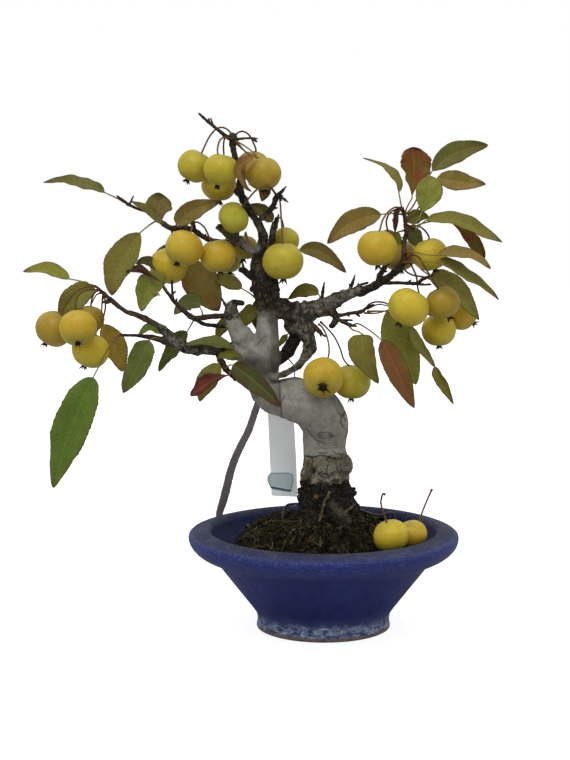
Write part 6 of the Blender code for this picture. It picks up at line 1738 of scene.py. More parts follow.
# Leaves too thin or too hidden for the CAD model: blade axis, width, roll, cup, petiole and look
SMALL_LEAVES = {
    "folded_upper": ([(-112, 284, 9), (-119, 288.5, 10), (-126, 294, 11), (-133, 299, 12)], 13, 60, 0.3,
        [(-110.5, 283.4, 3), (-112, 284, 9)], ("DULL", 0.45, 10)),
    "square_upper": ([(-113, 283.6, 0), (-114.5, 290, -4), (-113.5, 297, -9), (-110, 303, -15)], 21, 0, 0.15,
        [(-110.5, 283.4, 3), (-113, 283.6, 0)], ("BROWN", 0.62, 6, 1)),
    "behind_left": ([(-158, 238, 12), (-166, 236.5, 8), (-176, 229, 6), (-183, 217, 6)], 19, 0, 0.2,
        [(-155, 238, 22), (-158, 238, 12)], ("PALE", 0.5, 0, 1.2)),
    "curled_brown": ([(-112, 243, 22), (-119, 246.6, 23), (-127, 250, 24), (-137, 250.6, 24)], 9.5, 62, 0.45,
        [(-109, 238, 18.4), (-112, 243, 22)], ("DEAD", 0.72, 25, 1.4)),
    "behind_pair": ([(-114, 251, 8), (-119, 256, 5), (-124, 258, 5), (-130, 256, 6)], 9, 30, 0.2, [(-110, 246, 12),
        (-114, 251, 8)], ("DARK",)),
    "amber_hanging": ([(-153, 214, 10), (-148, 205, 10), (-143, 194, 10), (-140, 181, 11)], 19, 0, 0.15,
        [(-153, 234, 20), (-154, 224, 13), (-153, 214, 10)], ("AMBER", 0.5, 0, 1.3)),
    "over_left_limb": ([(-113, 208, 13), (-118, 211, 15), (-123, 210.6, 17), (-129, 206, 18)], 9, 40, 0.25,
        [(-110, 208, 11), (-113, 208, 13)], ("GREEN",)),
    "green_under_limb": ([(-95, 209, 0), (-101, 202, -3), (-108, 192, -3), (-115, 181, -1)], 14, 10, 0.2,
        [(-90, 218, 10), (-92, 214, 4), (-95, 209, 0)], ("MOSS", 0.42, 6, 1.2, 0, 0.18)),
    "grey_behind_twig": ([(-86, 226, 2), (-91, 229, 0), (-97, 227, 0), (-104, 221, 1)], 14, 20, 0.2,
        [(-84, 219.6, 9), (-84.6, 223, 5), (-86, 226, 2)], ("GREY",)),
    "below_leader": ([(-57, 239, -8), (-64, 242, -12), (-72, 245, -18), (-80, 247, -26)], 12, 25, 0.2,
        [(-47, 232, -2), (-52, 236, -5), (-57, 239, -8)], ("PALE",)),
    "beside_riser": ([(-46, 224.4, -10), (-51, 222, -10), (-56, 216, -10), (-58, 207, -10)], 13, 15, 0.2,
        [(-40, 226, -8), (-46, 224.4, -10)], ("OLIVE",)),
    "behind_riser": ([(-49, 226, -14), (-47.5, 222, -14), (-47, 218, -14), (-48, 213, -14)], 9, 15, 0.2,
        [(-42, 227, -8), (-49, 226, -14)], ("OLIVE",)),
    "green_flat": ([(-62.5, 196.6, 11), (-72, 200.4, 12), (-83, 201.4, 13), (-96.5, 199.6, 14)], 12, 48, 0.2,
        [(-67, 190, 8), (-63, 192, 10), (-62.5, 196.6, 11)], ("MOSS", 0.5)),
    "yellow_small": ([(-73.5, 191.4, 11), (-68, 193.4, 12), (-62, 193.6, 12), (-56.5, 190.6, 12)], 9, 40, 0.2,
        [(-72, 189, 8), (-73.5, 191.4, 11)], ("FRESH",)),
    "rust_fold": ([(-66, 178.6, 22), (-74, 176.6, 25), (-83, 171, 26), (-93, 164, 25)], 15, 35, 0.3,
        [(-66, 181, 10), (-65, 181, 18), (-66, 178.6, 22)], ("BLOOD", 0.68, 12, 1.4, 0, 0.15)),
    "behind_fork": ([(-66, 218, -4), (-69, 214, -5), (-72, 209, -5), (-74.5, 203, -4)], 9.5, 10, 0.2,
        [(-64, 222, 1), (-66, 218, -4)], ("OLIVE",)),
    "under_green_fruit": ([(-60, 273, 1), (-64, 277, 1), (-69, 280, 1), (-75, 281, 2)], 12, 20, 0.2, [(-57, 271, 0),
        (-60, 273, 1)], ("DARK",)),
    "behind_leader": ([(-36, 285, -8), (-40, 290, -9), (-45, 294, -10), (-51, 297, -10)], 11, 15, 0.2,
        [(-36, 278, 4), (-35.4, 282, -3), (-36, 285, -8)], ("BROWN",)),
    "dead_crown": ([(-47, 331, 30), (-53, 327, 32), (-57.4, 321, 33), (-55, 312, 33), (-50, 305.6, 32)], 7.5, 35,
        0.5, [(-61, 340, 10), (-55, 337, 22), (-47, 331, 30)], ("STRAW", 0.5, 30, 1.4)),
    "under_crown": ([(-39, 310, 8), (-40.4, 306.6, 8), (-41.6, 303, 8), (-43, 299, 8)], 9, 10, 0.2,
        [(-33.6, 304, 9), (-36, 308, 8), (-39, 310, 8)], ("DRY",)),
    "crotch_green": ([(-25.6, 207, -6), (-27.6, 204.4, -6), (-29.6, 201.6, -6), (-31.6, 198.4, -6)], 5, 10, 0.2,
        [(-22, 209, -6), (-25.6, 207, -6)], ("FRESH",)),
    "right_crotch": ([(-4, 235, -4), (-10, 237.4, -8), (-17, 236.6, -11), (-25, 231.6, -13)], 11, 15, 0.2,
        [(-1.6, 231, 3), (-4, 235, -4)], ("OLIVE",)),
    "right_narrow": ([(51, 305.6, 20), (49.6, 312, 18), (45, 318.6, 15), (38, 324, 12), (26, 328.6, 10)], 10, 56,
        0.25, [(54, 291, 20), (52.4, 298, 20), (51, 305.6, 20)], ("OLIVE", 0.4, 8)),
    "right_lobe": ([(84, 287, 30), (95, 279.6, 29), (104, 271, 28), (110.4, 259.6, 27)], 12, 25, 0.25,
        [(57, 279, 20), (68, 284, 27), (84, 287, 30)], ("SPLIT", 0.7, 10)),
    "right_behind": ([(57, 285, 12), (61, 288, 11), (66, 289.4, 11), (72, 288, 11)], 11, 15, 0.2, [(56, 280, 18),
        (57, 285, 12)], ("OLIVE",)),
    "right_grey": ([(57.6, 281, 12), (60.6, 277, 11), (64, 271.6, 10), (67.6, 264.6, 10)], 12, 5, 0.2,
        [(56, 281, 19), (57.6, 281, 12)], ("GREY",)),
    "right_pale": ([(50.6, 278, 12), (49.6, 273, 10), (49.6, 268, 9), (51, 261, 9)], 9, 5, 0.2, [(55, 279, 18),
        (50.6, 278, 12)], ("FRESH",)),
    "right_scale": ([(54.6, 283, 23), (57, 281.6, 25), (60, 280, 26), (63.4, 279.4, 26)], 5, 20, 0.4,
        [(56, 282, 20), (54.6, 283, 23)], ("DEAD", 0.5)),
    "right_dead": ([(54, 295, 23), (51, 290.6, 24), (50.6, 284.6, 25), (48.6, 276.6, 25)], 6.5, 60, 0.6,
        [(54.4, 293, 20), (54, 295, 23)], ("DEAD", 0.5, 40, 1.2)),
    "kinked_upper": ([(60, 213, 27), (64, 203.6, 27), (71, 193.6, 26), (77.4, 184, 26)], 9, 25, 0.25,
        [(30, 223, 17), (44, 223, 27), (54, 219, 28), (60, 213, 27)], ("PALE", 0.45, 14, 1)),
    "kinked_lower": ([(77, 184.6, 26), (80, 177.6, 26), (85, 169.6, 25), (90.4, 158, 24)], 8.5, 20, 0.3,
        [(76, 186, 26), (77, 184.6, 26)], ("OLIVE", 0.45, 10, 1)),
    "back_top": ([(-53, 331, -20), (-48, 328, -24), (-44, 322, -25), (-41, 313, -22)], 13, 10, 0.2, [(-61, 340, 6),
        (-57, 336, -10), (-53, 331, -20)], ("DULL",)),
    "back_middle": ([(-40, 268, -26), (-44, 260, -31), (-46, 250, -32), (-44, 240, -28)], 14, 10, 0.2,
        [(-36, 275, 2), (-37, 272, -14), (-40, 268, -26)], ("OCHRE",)),
    "back_left": ([(-100, 268, -24), (-108, 262, -28), (-112, 252, -28), (-110, 242, -25)], 16, 10, 0.2,
        [(-97, 280.8, -3), (-98, 276, -14), (-100, 268, -24)], ("GREEN",)),
    "back_far_left": ([(-162, 226, -4), (-168, 216, -8), (-168, 204, -9), (-162, 194, -6)], 16, 10, 0.2,
        [(-154, 236, 20), (-158, 234, 6), (-162, 226, -4)], ("GREEN",)),
    "back_right": ([(50, 274, -2), (44, 273, -8), (36, 269, -12), (28, 263, -12)], 14, 10, 0.2, [(55, 272, 18),
        (54, 274, 8), (50, 274, -2)], ("OCHRE",)),
    "back_right_low": ([(46, 226, 2), (50, 216, -4), (56, 204, -6), (60, 192, -4)], 17, 10, 0.2, [(30, 225, 16),
        (38, 228, 8), (46, 226, 2)], ("GREEN",)),
    "back_riser": ([(-42, 232, -18), (-44, 224, -24), (-43, 213, -25), (-40, 203, -22)], 15, 10, 0.2,
        [(-40, 236, -6), (-41, 236, -12), (-42, 232, -18)], ("GREEN",)),
}


@dataclass
class Leaf:
    """One leaf: a toothed, veined blade on a round petiole."""

    name: str
    axis: list[Place]
    width: float
    roll: float
    cup: float
    petiole: list[Place]
    look: LeafLook
    rows: int = 44
    cells_across: int = 12
    thickness: float = 0.00034
    tooth: float = 0.028
    vein_spacing: float = 4.1

    def half_width(self, t: float) -> float:
        """Half the blade's width in millimetres at a share t of its length."""
        power = math.log(0.5) / math.log(self.look.peak)
        share = max(0.0, math.sin(math.pi * t ** power)) ** 0.84 * (1.0 - 0.22 * t)
        return max(self.width * 0.55 * share, 0.22)

    def blade(self, chance: random.Random) -> Shape:
        """The blade, with its colours and the millimetres that its veins are drawn from."""
        steps = max(2, self.rows // (len(self.axis) - 1))
        centres = [Vector(point) for point in smooth_route([tuple(seen(*p)) for p in self.axis], steps)]
        count = len(centres)
        phases = [chance.uniform(0, 2 * math.pi) for _ in range(4)]
        lopsided = chance.uniform(-1.0, 1.0)
        frames = []
        ahead, stations = walk(centres)
        for index, (centre, along) in enumerate(zip(centres, ahead)):
            t = index / (count - 1)
            flat = along.cross((ELEVATION_EYE - centre).normalized()).normalized()
            turn = math.radians(self.roll + self.look.twist * (t - 0.4))
            side = Matrix.Rotation(turn, 3, along) @ flat
            frames.append((side, side.cross(along).normalized()))

        def place(row: int, across: float) -> Vector:
            t = row / (count - 1)
            side, face = frames[row]
            half = self.half_width(t)
            beside = abs(across)
            hand = 0 if across < 0 else 1
            reach = half * across * (1.0 + 0.08 * lopsided * (1.0 if across < 0 else -1.0))
            if beside > 0.99 and row % 2 and 0.05 < t < 0.96:
                reach *= 1.0 + self.tooth
            torn = noise.noise(Vector((t * 6.0, phases[hand] + across * 0.2, phases[2]))) + 0.5 * noise.noise(
                Vector((t * 21.0, phases[hand], across * 0.3)))
            reach *= 1.0 - self.look.jag * (1.0 + torn) * beside
            lift = half * beside ** 1.2 * self.cup * 1.5
            wave = self.look.wave * min(1.0, half / 5.0)
            lift += wave * math.sin(3.1 * math.pi * t + phases[hand]) * beside ** 2
            lift += 0.35 * wave * math.sin(8.3 * math.pi * t + phases[2 + hand]) * beside ** 2
            rise = (stations[row] - beside * half * 0.85) / self.vein_spacing
            lift -= 0.10 * math.cos(2 * math.pi * rise) * 4.0 * beside * (1.0 - beside) * min(1.0, half / 6.0)
            lift -= 0.20 * math.exp(-(beside / 0.10) ** 2) * min(1.0, half / 4.0)
            bend = -self.look.curl * max(0.0, (t - 0.75) / 0.25) ** 2
            return centres[row] + side * (reach * MM) + face * ((lift + bend) * MM)

        shape, back = ribbon(centres, place, self.cells_across, self.thickness)
        behind = set(back)
        spot = shape.verts.layers.float_vector["spot"]
        tint = shape.verts.layers.float_color.new("tint")
        blade = shape.verts.layers.float_color.new("blade")
        tone = self.look.tone.value
        shift = Vector([chance.uniform(0, 60) for _ in range(3)])
        blush_half = chance.choice((-1.0, 1.0))
        for vert in shape.verts:
            row, across, _ = vert[spot]
            t = row / (count - 1)
            half = self.half_width(t)
            beside = abs(across)
            patch = noise.fractal(vert.co / MM * 0.11 + shift, 1.0, 2.1, 3)
            small = noise.fractal(vert.co / MM * 0.5 + shift, 1.0, 2.1, 2)
            colour = blend(tone.heart, tone.side, beside + 0.3 * patch)
            warm = tone.blush_share * max(0.0, 0.45 + 0.9 * patch + 0.35 * across * blush_half)
            colour = blend(colour, tone.blush, warm)
            end = max(0.0, (t - 0.72) / 0.28) ** 1.4 + 0.35 * max(0.0, beside - 0.78) / 0.22
            colour = blend(colour, tone.tip, tone.tip_share * end * (1.0 + 0.8 * small))
            if t > 0.88:
                colour = blend(colour, srgb(56, 34, 22), (t - 0.88) / 0.07 * max(0.0, tone.tip_share - 0.15) * 1.2)
            vert[tint] = (*colour, 1.0)
            margin = half * (1.0 - beside)
            vert[blade] = (half * across, stations[int(row)], margin, 1.0 if vert in behind else 0.0)
        shape.verts.layers.float_vector.remove(spot)
        return shape

    def build(self, skin: Material, dry: Material, replaces: Sequence[str]) -> None:
        """Build the leaf as one piece."""
        chance = random.Random(f"leaf{self.name}")
        shape = self.blade(chance)
        into = seen(*[a + (b - a) * 0.12 for a, b in zip(self.axis[0], self.axis[1])])
        points = [tuple(seen(*point)) for point in self.petiole] + [tuple(into)]
        fine = smooth_route(points, 5)
        count = len(fine)
        route = [(Vector(point), (0.62 + 0.30 * math.exp(-(i / count / 0.12) ** 2) - 0.22 * i / count) * MM)
                 for i, point in enumerate(fine)]
        stem = tubes([route], 1)
        start = srgb(112, 74, 46)
        end = blend(self.look.tone.value.heart, srgb(140, 128, 76), 0.5)
        root = fine[0]
        length = max((Vector(points[-1]) - Vector(root)).length, 1e-6)
        paint(stem, "tint", lambda vert: blend(start, end, (vert.co - Vector(root)).length / length * 1.3))
        for face in stem.faces:
            face.material_index = 1
        append(shape, stem)
        add_piece(f"foliage_{self.name}", shape, [skin, dry], replaces)


@dataclass
class Foliage:
    """Every leaf: those of the CAD model and the ones too thin or too hidden for it."""

    def build(self, skin: Material, dry: Material) -> None:
        """Build the leaves."""
        for label, (axis, width, roll, cup, petiole) in LEAVES.items():
            Leaf(f"blade_{label}", axis, width, roll, cup, petiole, leaf_look(*LEAF_LOOKS[label])).build(
                skin, dry, [f"leaf_{label}"])
        for name, (axis, width, roll, cup, petiole, look) in SMALL_LEAVES.items():
            Leaf(name, axis, width, roll, cup, petiole, leaf_look(*look)).build(skin, dry, [])


# Pot

@dataclass
class Pot:
    """The turned bowl: foot ring, flared wall, rolled lip, drain holes and water notches."""

    steps: int = 180
    wall: float = 5.8
    low: tuple[float, float] = (50.0, 15.0)
    high: tuple[float, float] = (77.0, 50.0)
    drain_radius: float = 5.5
    drain_circle: float = 26.0

    def outer(self, z: float) -> float:
        """The wall's outer radius at a height, in millimetres."""
        (r0, z0), (r1, z1) = self.low, self.high
        return r0 + (r1 - r0) * (z - z0) / (z1 - z0)

    def inner(self, z: float) -> float:
        """The wall's inner radius at a height, in millimetres."""
        return self.outer(z) - self.wall

    def profile(self) -> list[tuple[float, float]]:
        """The turned outline from the middle of the underside, up the outside and down the inside."""
        foot = [(0.0, 0.0), (14.0, 0.0), (14.8, 0.3), (15.2, 1.2), (16.2, 3.3), (17.4, 3.5), (36.2, 3.5),
                (37.2, 3.1), (37.8, 2.0), (38.0, 0.7), (38.6, 0.0)]
        outside = [(46.0, 0.0), (46.8, 0.4), (47.1, 1.2), (46.9, 2.6), (46.5, 4.6), (46.5, 7.0), (46.9, 9.6),
                   (47.6, 11.6), (48.8, 13.2), (50.0, 15.0), (52.4, 18.1), (self.outer(24.0), 24.0),
                   (self.outer(32.0), 32.0), (self.outer(40.0), 40.0), (self.outer(46.0), 46.0), (76.2, 49.1),
                   (78.4, 50.1)]
        lip = [(82.0, 51.3), (85.2, 52.6), (88.2, 54.2), (90.8, 56.2), (92.8, 58.4), (94.2, 60.8), (94.9, 63.2),
               (95.0, 65.0), (94.6, 66.3), (93.4, 67.4), (91.4, 68.2), (88.6, 69.0), (85.6, 69.7), (83.2, 70.2),
               (81.6, 70.2), (80.3, 69.7), (79.3, 68.6), (78.7, 66.9), (78.2, 64.4), (77.7, 61.6)]
        inside = [(75.6, 57.4), (self.inner(54.0), 54.0), (self.inner(46.0), 46.0), (self.inner(34.0), 34.0),
                  (self.inner(24.0), 24.0), (45.4, 16.4), (43.4, 13.4), (40.6, 11.2), (37.0, 10.0), (0.0, 10.0)]
        return foot + outside + lip + inside

    def cutters(self) -> list[bpy.types.Object]:
        """Round cutters for the drain holes and blocks for the two water notches."""
        shapes = []
        for k in range(4):
            shape = bmesh.new()
            turn = math.radians(45.0 + 90.0 * k)
            bmesh.ops.create_cone(shape, cap_ends=True, segments=40, radius1=self.drain_radius * MM,
                                  radius2=self.drain_radius * MM, depth=18 * MM)
            middle = Vector((self.drain_circle * math.cos(turn), self.drain_circle * math.sin(turn), 6.0)) * MM
            bmesh.ops.translate(shape, vec=middle, verts=shape.verts)
            shapes.append(shape)
        for degrees in (60.0, 120.0):
            shape = bmesh.new()
            bmesh.ops.create_cube(shape, size=1.0)
            bmesh.ops.scale(shape, vec=Vector((14.0, 9.0, 4.8)) * MM, verts=shape.verts)
            bmesh.ops.bevel(shape, geom=list(shape.edges), offset=0.7 * MM, segments=3, profile=0.5,
                            affect="EDGES", material=-1)
            place = Matrix.Rotation(math.radians(degrees), 4, "Z") @ Matrix.Translation((42.4 * MM, 0, 0))
            bmesh.ops.transform(shape, matrix=place, verts=shape.verts)
            shapes.append(shape)
        items = []
        for shape in shapes:
            mesh = meshed("cutter", shape)
            item = placed("cutter", mesh)
            items.append(item)
        return items

    def build(self, glaze: Material) -> None:
        """Build the pot."""
        shape = turned(self.profile(), self.steps)
        for vert in shape.verts:
            point = vert.co / MM
            if point.z > 12.0:
                swing = 0.35 * noise.fractal(point * 0.02, 1.0, 2.0, 2)
                flat = Vector((vert.co.x, vert.co.y, 0.0))
                if flat.length > 0.03:
                    vert.co += flat.normalized() * swing * MM
        mesh = meshed("glazed_bowl", shape)
        item = placed("glazed_bowl", mesh)
        mesh = cut(item, self.cutters(), glaze)
        mesh.shade_smooth()
        mesh.set_sharp_from_angle(angle=math.radians(50.0))
        piece = placed("glazed_bowl", mesh)
        dress(piece, ["pot"])


def turned(profile: Sequence[tuple[float, float]], steps: int) -> Shape:
    """A closed solid of revolution from an outline that starts and ends on the Z axis.

    Args:
        profile: radius and height pairs in millimetres.
        steps: how many faces go round.

    Returns:
        The bmesh.
    """
    shape = bmesh.new()
    verts = [shape.verts.new((radius * MM, 0.0, z * MM)) for radius, z in profile]
    edges = [shape.edges.new(pair) for pair in zip(verts, verts[1:])]
    bmesh.ops.spin(shape, geom=verts + edges, cent=(0, 0, 0), axis=(0, 0, 1), dvec=(0, 0, 0),
                   angle=2 * math.pi, steps=steps, use_merge=True, use_duplicate=False)
    bmesh.ops.remove_doubles(shape, verts=shape.verts, dist=1e-6)
    bmesh.ops.recalc_face_normals(shape, faces=shape.faces)
    return shape


# Soil

@dataclass
class Soil:
    """The mound of dark loam and grit about the roots, with moss, clods and dry fibres on it."""

    pot: Pot
    steps: int = 210
    clods: int = 1300
    fibres: int = 210
    moss: int = 1500
    bottom: float = 12.2
    trough: float = 51.5
    chunk: int = 900
    seed: int = 5

    def lump(self, radius: float, turn: float) -> float:
        """Unevenness of the mound in millimetres."""
        share = min(radius / SOIL_MOUND[-1][0], 1.0)
        return 0.7 * share * (math.sin(3 * turn + 0.15 * radius) + 0.7 * math.sin(5 * turn - 0.23 * radius + 1.0))

    def level(self, radius: float) -> float:
        """The mound's height at a radius, in millimetres."""
        points = SOIL_MOUND + [(64.0, 53.1), (self.pot.inner(self.trough) - 1.2, self.trough)]
        for (r0, z0), (r1, z1) in zip(points, points[1:]):
            if radius <= r1:
                return z0 + (z1 - z0) * (radius - r0) / (r1 - r0)
        return points[-1][1]

    def surface(self, x: float, y: float) -> Vector:
        """The point of the soil's surface at a place in millimetres."""
        radius, turn = math.hypot(x, y), math.atan2(y, x)
        point = Vector((x, y, 0.0))
        rough = 1.5 * noise.fractal(point * 0.13, 1.0, 2.1, 3) + 0.8 * noise.fractal(point * 0.6, 0.9, 2.1, 3)
        edge = 1.0 - 0.7 * share_between(62.0, 68.0, radius)
        return Vector((x, y, self.level(radius) + self.lump(radius, turn) + rough * edge)) * MM

    def tone(self, place: Vector) -> Colour:
        """The colour of the loam or moss at a place in metres."""
        point = place / MM
        patch = noise.fractal(point * 0.09 + Vector((7, 3, 1)), 1.0, 2.1, 3)
        fine = noise.fractal(point * 0.9, 1.0, 2.1, 3)
        colour = blend(srgb(9, 8, 5), srgb(46, 38, 26), 0.30 + 0.9 * fine)
        colour = blend(colour, srgb(44, 46, 20), 1.5 * max(0.0, patch + 0.15) + 0.3 * fine)
        return blend(colour, srgb(112, 102, 76), 1.8 * max(0.0, fine - 0.42))

    def loam(self) -> Shape:
        """The body of the soil down to the drainage mesh."""
        rim = self.pot.inner(self.trough) - 1.2
        top = [(0.0, self.level(0.0))]
        radius = 1.1
        while radius < rim - 0.4:
            top.append((radius, self.level(radius)))
            radius += 1.05
        sides = [(rim, self.trough - 0.2), (self.pot.inner(50.0) - 0.9, 50.0), (self.pot.inner(30.0) - 0.9, 30.0),
                 (self.pot.inner(17.2) - 0.9, 17.2), (self.pot.inner(17.2) - 6.0, self.bottom), (0.0, self.bottom)]
        shape = turned(top + sides, self.steps)
        for vert in shape.verts:
            x, y, z = vert.co / MM
            if z > self.trough + 0.1:
                vert.co = self.surface(x, y)
        shape.normal_update()
        for vert in shape.verts:
            if vert.co.z > (self.trough + 0.1) * MM:
                crumb = noise.fractal(vert.co / MM * 0.85, 0.8, 2.2, 3)
                vert.co += vert.normal * (0.75 * crumb * MM)
        paint(shape, "tint", lambda vert: self.tone(vert.co))
        return shape

    def spots(self, chance: random.Random, count: int, reach: float) -> Iterable[Vector]:
        """Random places on the surface, clear of the trunk."""
        for _ in range(count):
            radius = reach * math.sqrt(chance.uniform(0.04, 1.0))
            turn = chance.uniform(-math.pi, math.pi)
            yield self.surface(radius * math.cos(turn), radius * math.sin(turn))

    def crumbs(self, chance: random.Random) -> Shape:
        """Clods and grit of every size, from peat to pumice."""
        whole = bmesh.new()
        shape = bmesh.new()
        tint = shape.verts.layers.float_color.new("tint")
        tones = [srgb(16, 13, 8), srgb(30, 25, 16), srgb(52, 42, 28), srgb(88, 78, 56), srgb(12, 10, 7),
                 srgb(128, 118, 92), srgb(58, 34, 22)]
        weights = [8, 7, 3, 1.6, 8, 1.0, 1.0]
        for spot_at in self.spots(chance, self.clods, 67.0):
            size = 0.4 + 1.5 * chance.random() ** 3
            made = bmesh.ops.create_icosphere(shape, subdivisions=1, radius=size * MM)
            stretch = Matrix.Diagonal([chance.uniform(0.6, 1.35) for _ in range(3)] + [1.0])
            turn = Matrix.Rotation(chance.uniform(0, 6.28), 4, Vector((chance.uniform(-1, 1), 1, 0.3)))
            bmesh.ops.transform(shape, matrix=Matrix.Translation(spot_at + Vector((0, 0, 0.25 * size * MM)))
                                @ turn @ stretch, verts=made["verts"])
            colour = chance.choices(tones, weights)[0]
            for vert in made["verts"]:
                vert[tint] = (*colour, 1.0)
            if len(shape.verts) > self.chunk:
                append(whole, shape)
                shape = bmesh.new()
                tint = shape.verts.layers.float_color.new("tint")
        append(whole, shape)
        return whole

    def straws(self, chance: random.Random) -> Shape:
        """Dry grass, needles and dead roots that lie on the soil."""
        routes = []
        for spot_at in self.spots(chance, self.fibres, 60.0):
            turn = chance.uniform(-math.pi, math.pi)
            length = chance.uniform(4.0, 15.0)
            bend = chance.uniform(-0.5, 0.5)
            thick = chance.uniform(0.16, 0.34)
            route = []
            for k in range(5):
                t = k / 4 - 0.5
                angle = turn + bend * t
                x = spot_at.x / MM + math.cos(angle) * length * t
                y = spot_at.y / MM + math.sin(angle) * length * t
                rise = 0.5 + chance.uniform(-0.2, 0.5) + 0.8 * max(0.0, t) * chance.uniform(0, 2)
                route.append((self.surface(x, y) + Vector((0, 0, rise * MM)), thick * MM * (1.1 - abs(t))))
            routes.append(route)
        shape = tubes(routes, 0)
        straw, root = srgb(116, 106, 76), srgb(38, 32, 21)
        paint(shape, "tint", lambda vert: blend(root, straw, 0.5 + 1.3 * noise.noise(vert.co / MM * 0.13)))
        return shape

    def tufts(self, chance: random.Random) -> Shape:
        """Tiny upright moss leaves in patches."""
        whole = bmesh.new()
        shape = bmesh.new()
        tint = shape.verts.layers.float_color.new("tint")
        for spot_at in self.spots(chance, self.moss, 56.0):
            if noise.noise(spot_at / MM * 0.11 + Vector((3, 8, 0))) < -0.05:
                continue
            for _ in range(3):
                height = chance.uniform(0.9, 2.2) * MM
                made = bmesh.ops.create_cone(shape, cap_ends=True, segments=4, radius1=0.36 * MM,
                                             radius2=0.05 * MM, depth=height)
                lean = Matrix.Rotation(chance.uniform(0.0, 0.9), 4,
                                       Vector((chance.uniform(-1, 1), chance.uniform(-1, 1), 0.0)))
                aside = Vector((chance.uniform(-1, 1), chance.uniform(-1, 1), 0.35)) * MM
                bmesh.ops.transform(shape, matrix=Matrix.Translation(spot_at + aside) @ lean, verts=made["verts"])
                colour = blend(srgb(26, 29, 11), srgb(104, 102, 56), chance.random() ** 3)
                for vert in made["verts"]:
                    vert[tint] = (*colour, 1.0)
            if len(shape.verts) > self.chunk:
                append(whole, shape)
                shape = bmesh.new()
                tint = shape.verts.layers.float_color.new("tint")
        append(whole, shape)
        return whole

    def build(self, earth: Material, litter: Material) -> None:
        """Build the soil and what lies on it."""
        chance = random.Random(self.seed)
        add_piece("loam_mound", self.loam(), [earth], ["soil"])
        add_piece("grit_and_clods", self.crumbs(chance), [earth])
        add_piece("dry_fibres", self.straws(chance), [litter])
        add_piece("moss_tufts", self.tufts(chance), [litter])


# Label, strap and wire

@dataclass
class Label:
    """The bare plant label, the small sticker on its lower end and the tie that it hangs on."""

    card_near: float = -25.0
    card_thick: float = 0.5
    sticker_near: float = -24.45
    sticker_thick: float = 0.25
    hole_radius: float = 2.0
    tie_radius: float = 0.45
    print_margin: float = 0.5
    print_width: float = 0.55

    def plate(self, outline: Sequence[tuple[float, float]], near: float, thick: float, corner: float) -> Shape:
        """A thin plate with rounded corners.

        Args:
            outline: the corners on the elevation.
            near: how far forward its front is.
            thick: in millimetres.
            corner: the radius of its corners in millimetres.

        Returns:
            The bmesh.
        """
        shape = bmesh.new()
        shape.faces.new([shape.verts.new(seen(x, z, near)) for x, z in outline])
        bmesh.ops.bevel(shape, geom=list(shape.verts), offset=corner * MM, segments=4, profile=0.5,
                        affect="VERTICES", material=-1)
        away = (seen(*outline[0], near - thick) - seen(*outline[0], near))
        skin = bmesh.ops.extrude_face_region(shape, geom=list(shape.faces))
        bmesh.ops.translate(shape, vec=away, verts=[v for v in skin["geom"] if isinstance(v, bmesh.types.BMVert)])
        bmesh.ops.recalc_face_normals(shape, faces=shape.faces)
        return shape

    def build(self, card: Material, mint: Material, ink: Material, cord: Material) -> None:
        """Build the three pieces."""
        shape = self.plate(LABEL_OUTLINE, self.card_near, self.card_thick, 1.2)
        mesh = meshed("bare_label", shape)
        item = placed("bare_label", mesh)
        hole = tubes([[(seen(*LABEL_HOLE, self.card_near - 3), self.hole_radius * MM),
                       (seen(*LABEL_HOLE, self.card_near + 3), self.hole_radius * MM)]], 6)
        mesh = cut(item, [placed("hole", meshed("hole", hole))], card)
        piece = placed("bare_label", mesh)
        dress(piece, ["label_tag"])
        sticker = self.plate(STICKER_OUTLINE, self.sticker_near, self.sticker_thick, 1.0)
        front = max(sticker.faces, key=lambda face: -face.normal.y * face.calc_area())
        bmesh.ops.inset_region(sticker, faces=[front], thickness=self.print_margin * MM)
        line = bmesh.ops.inset_region(sticker, faces=[front], thickness=self.print_width * MM)
        for face in line["faces"]:
            face.material_index = 1
        plain = add_piece("mint_sticker", sticker, [mint, ink], ["price_sticker"])
        plain.data.shade_flat()
        fine = smooth_route(TIE_ROUTE, 6)
        tie = tubes([[(seen(*point), self.tie_radius * MM) for point in fine]], 2)
        paint(tie, "tint", lambda vert: srgb(44, 40, 38))
        add_piece("tie_cord", tie, [cord], ["label_tie"])


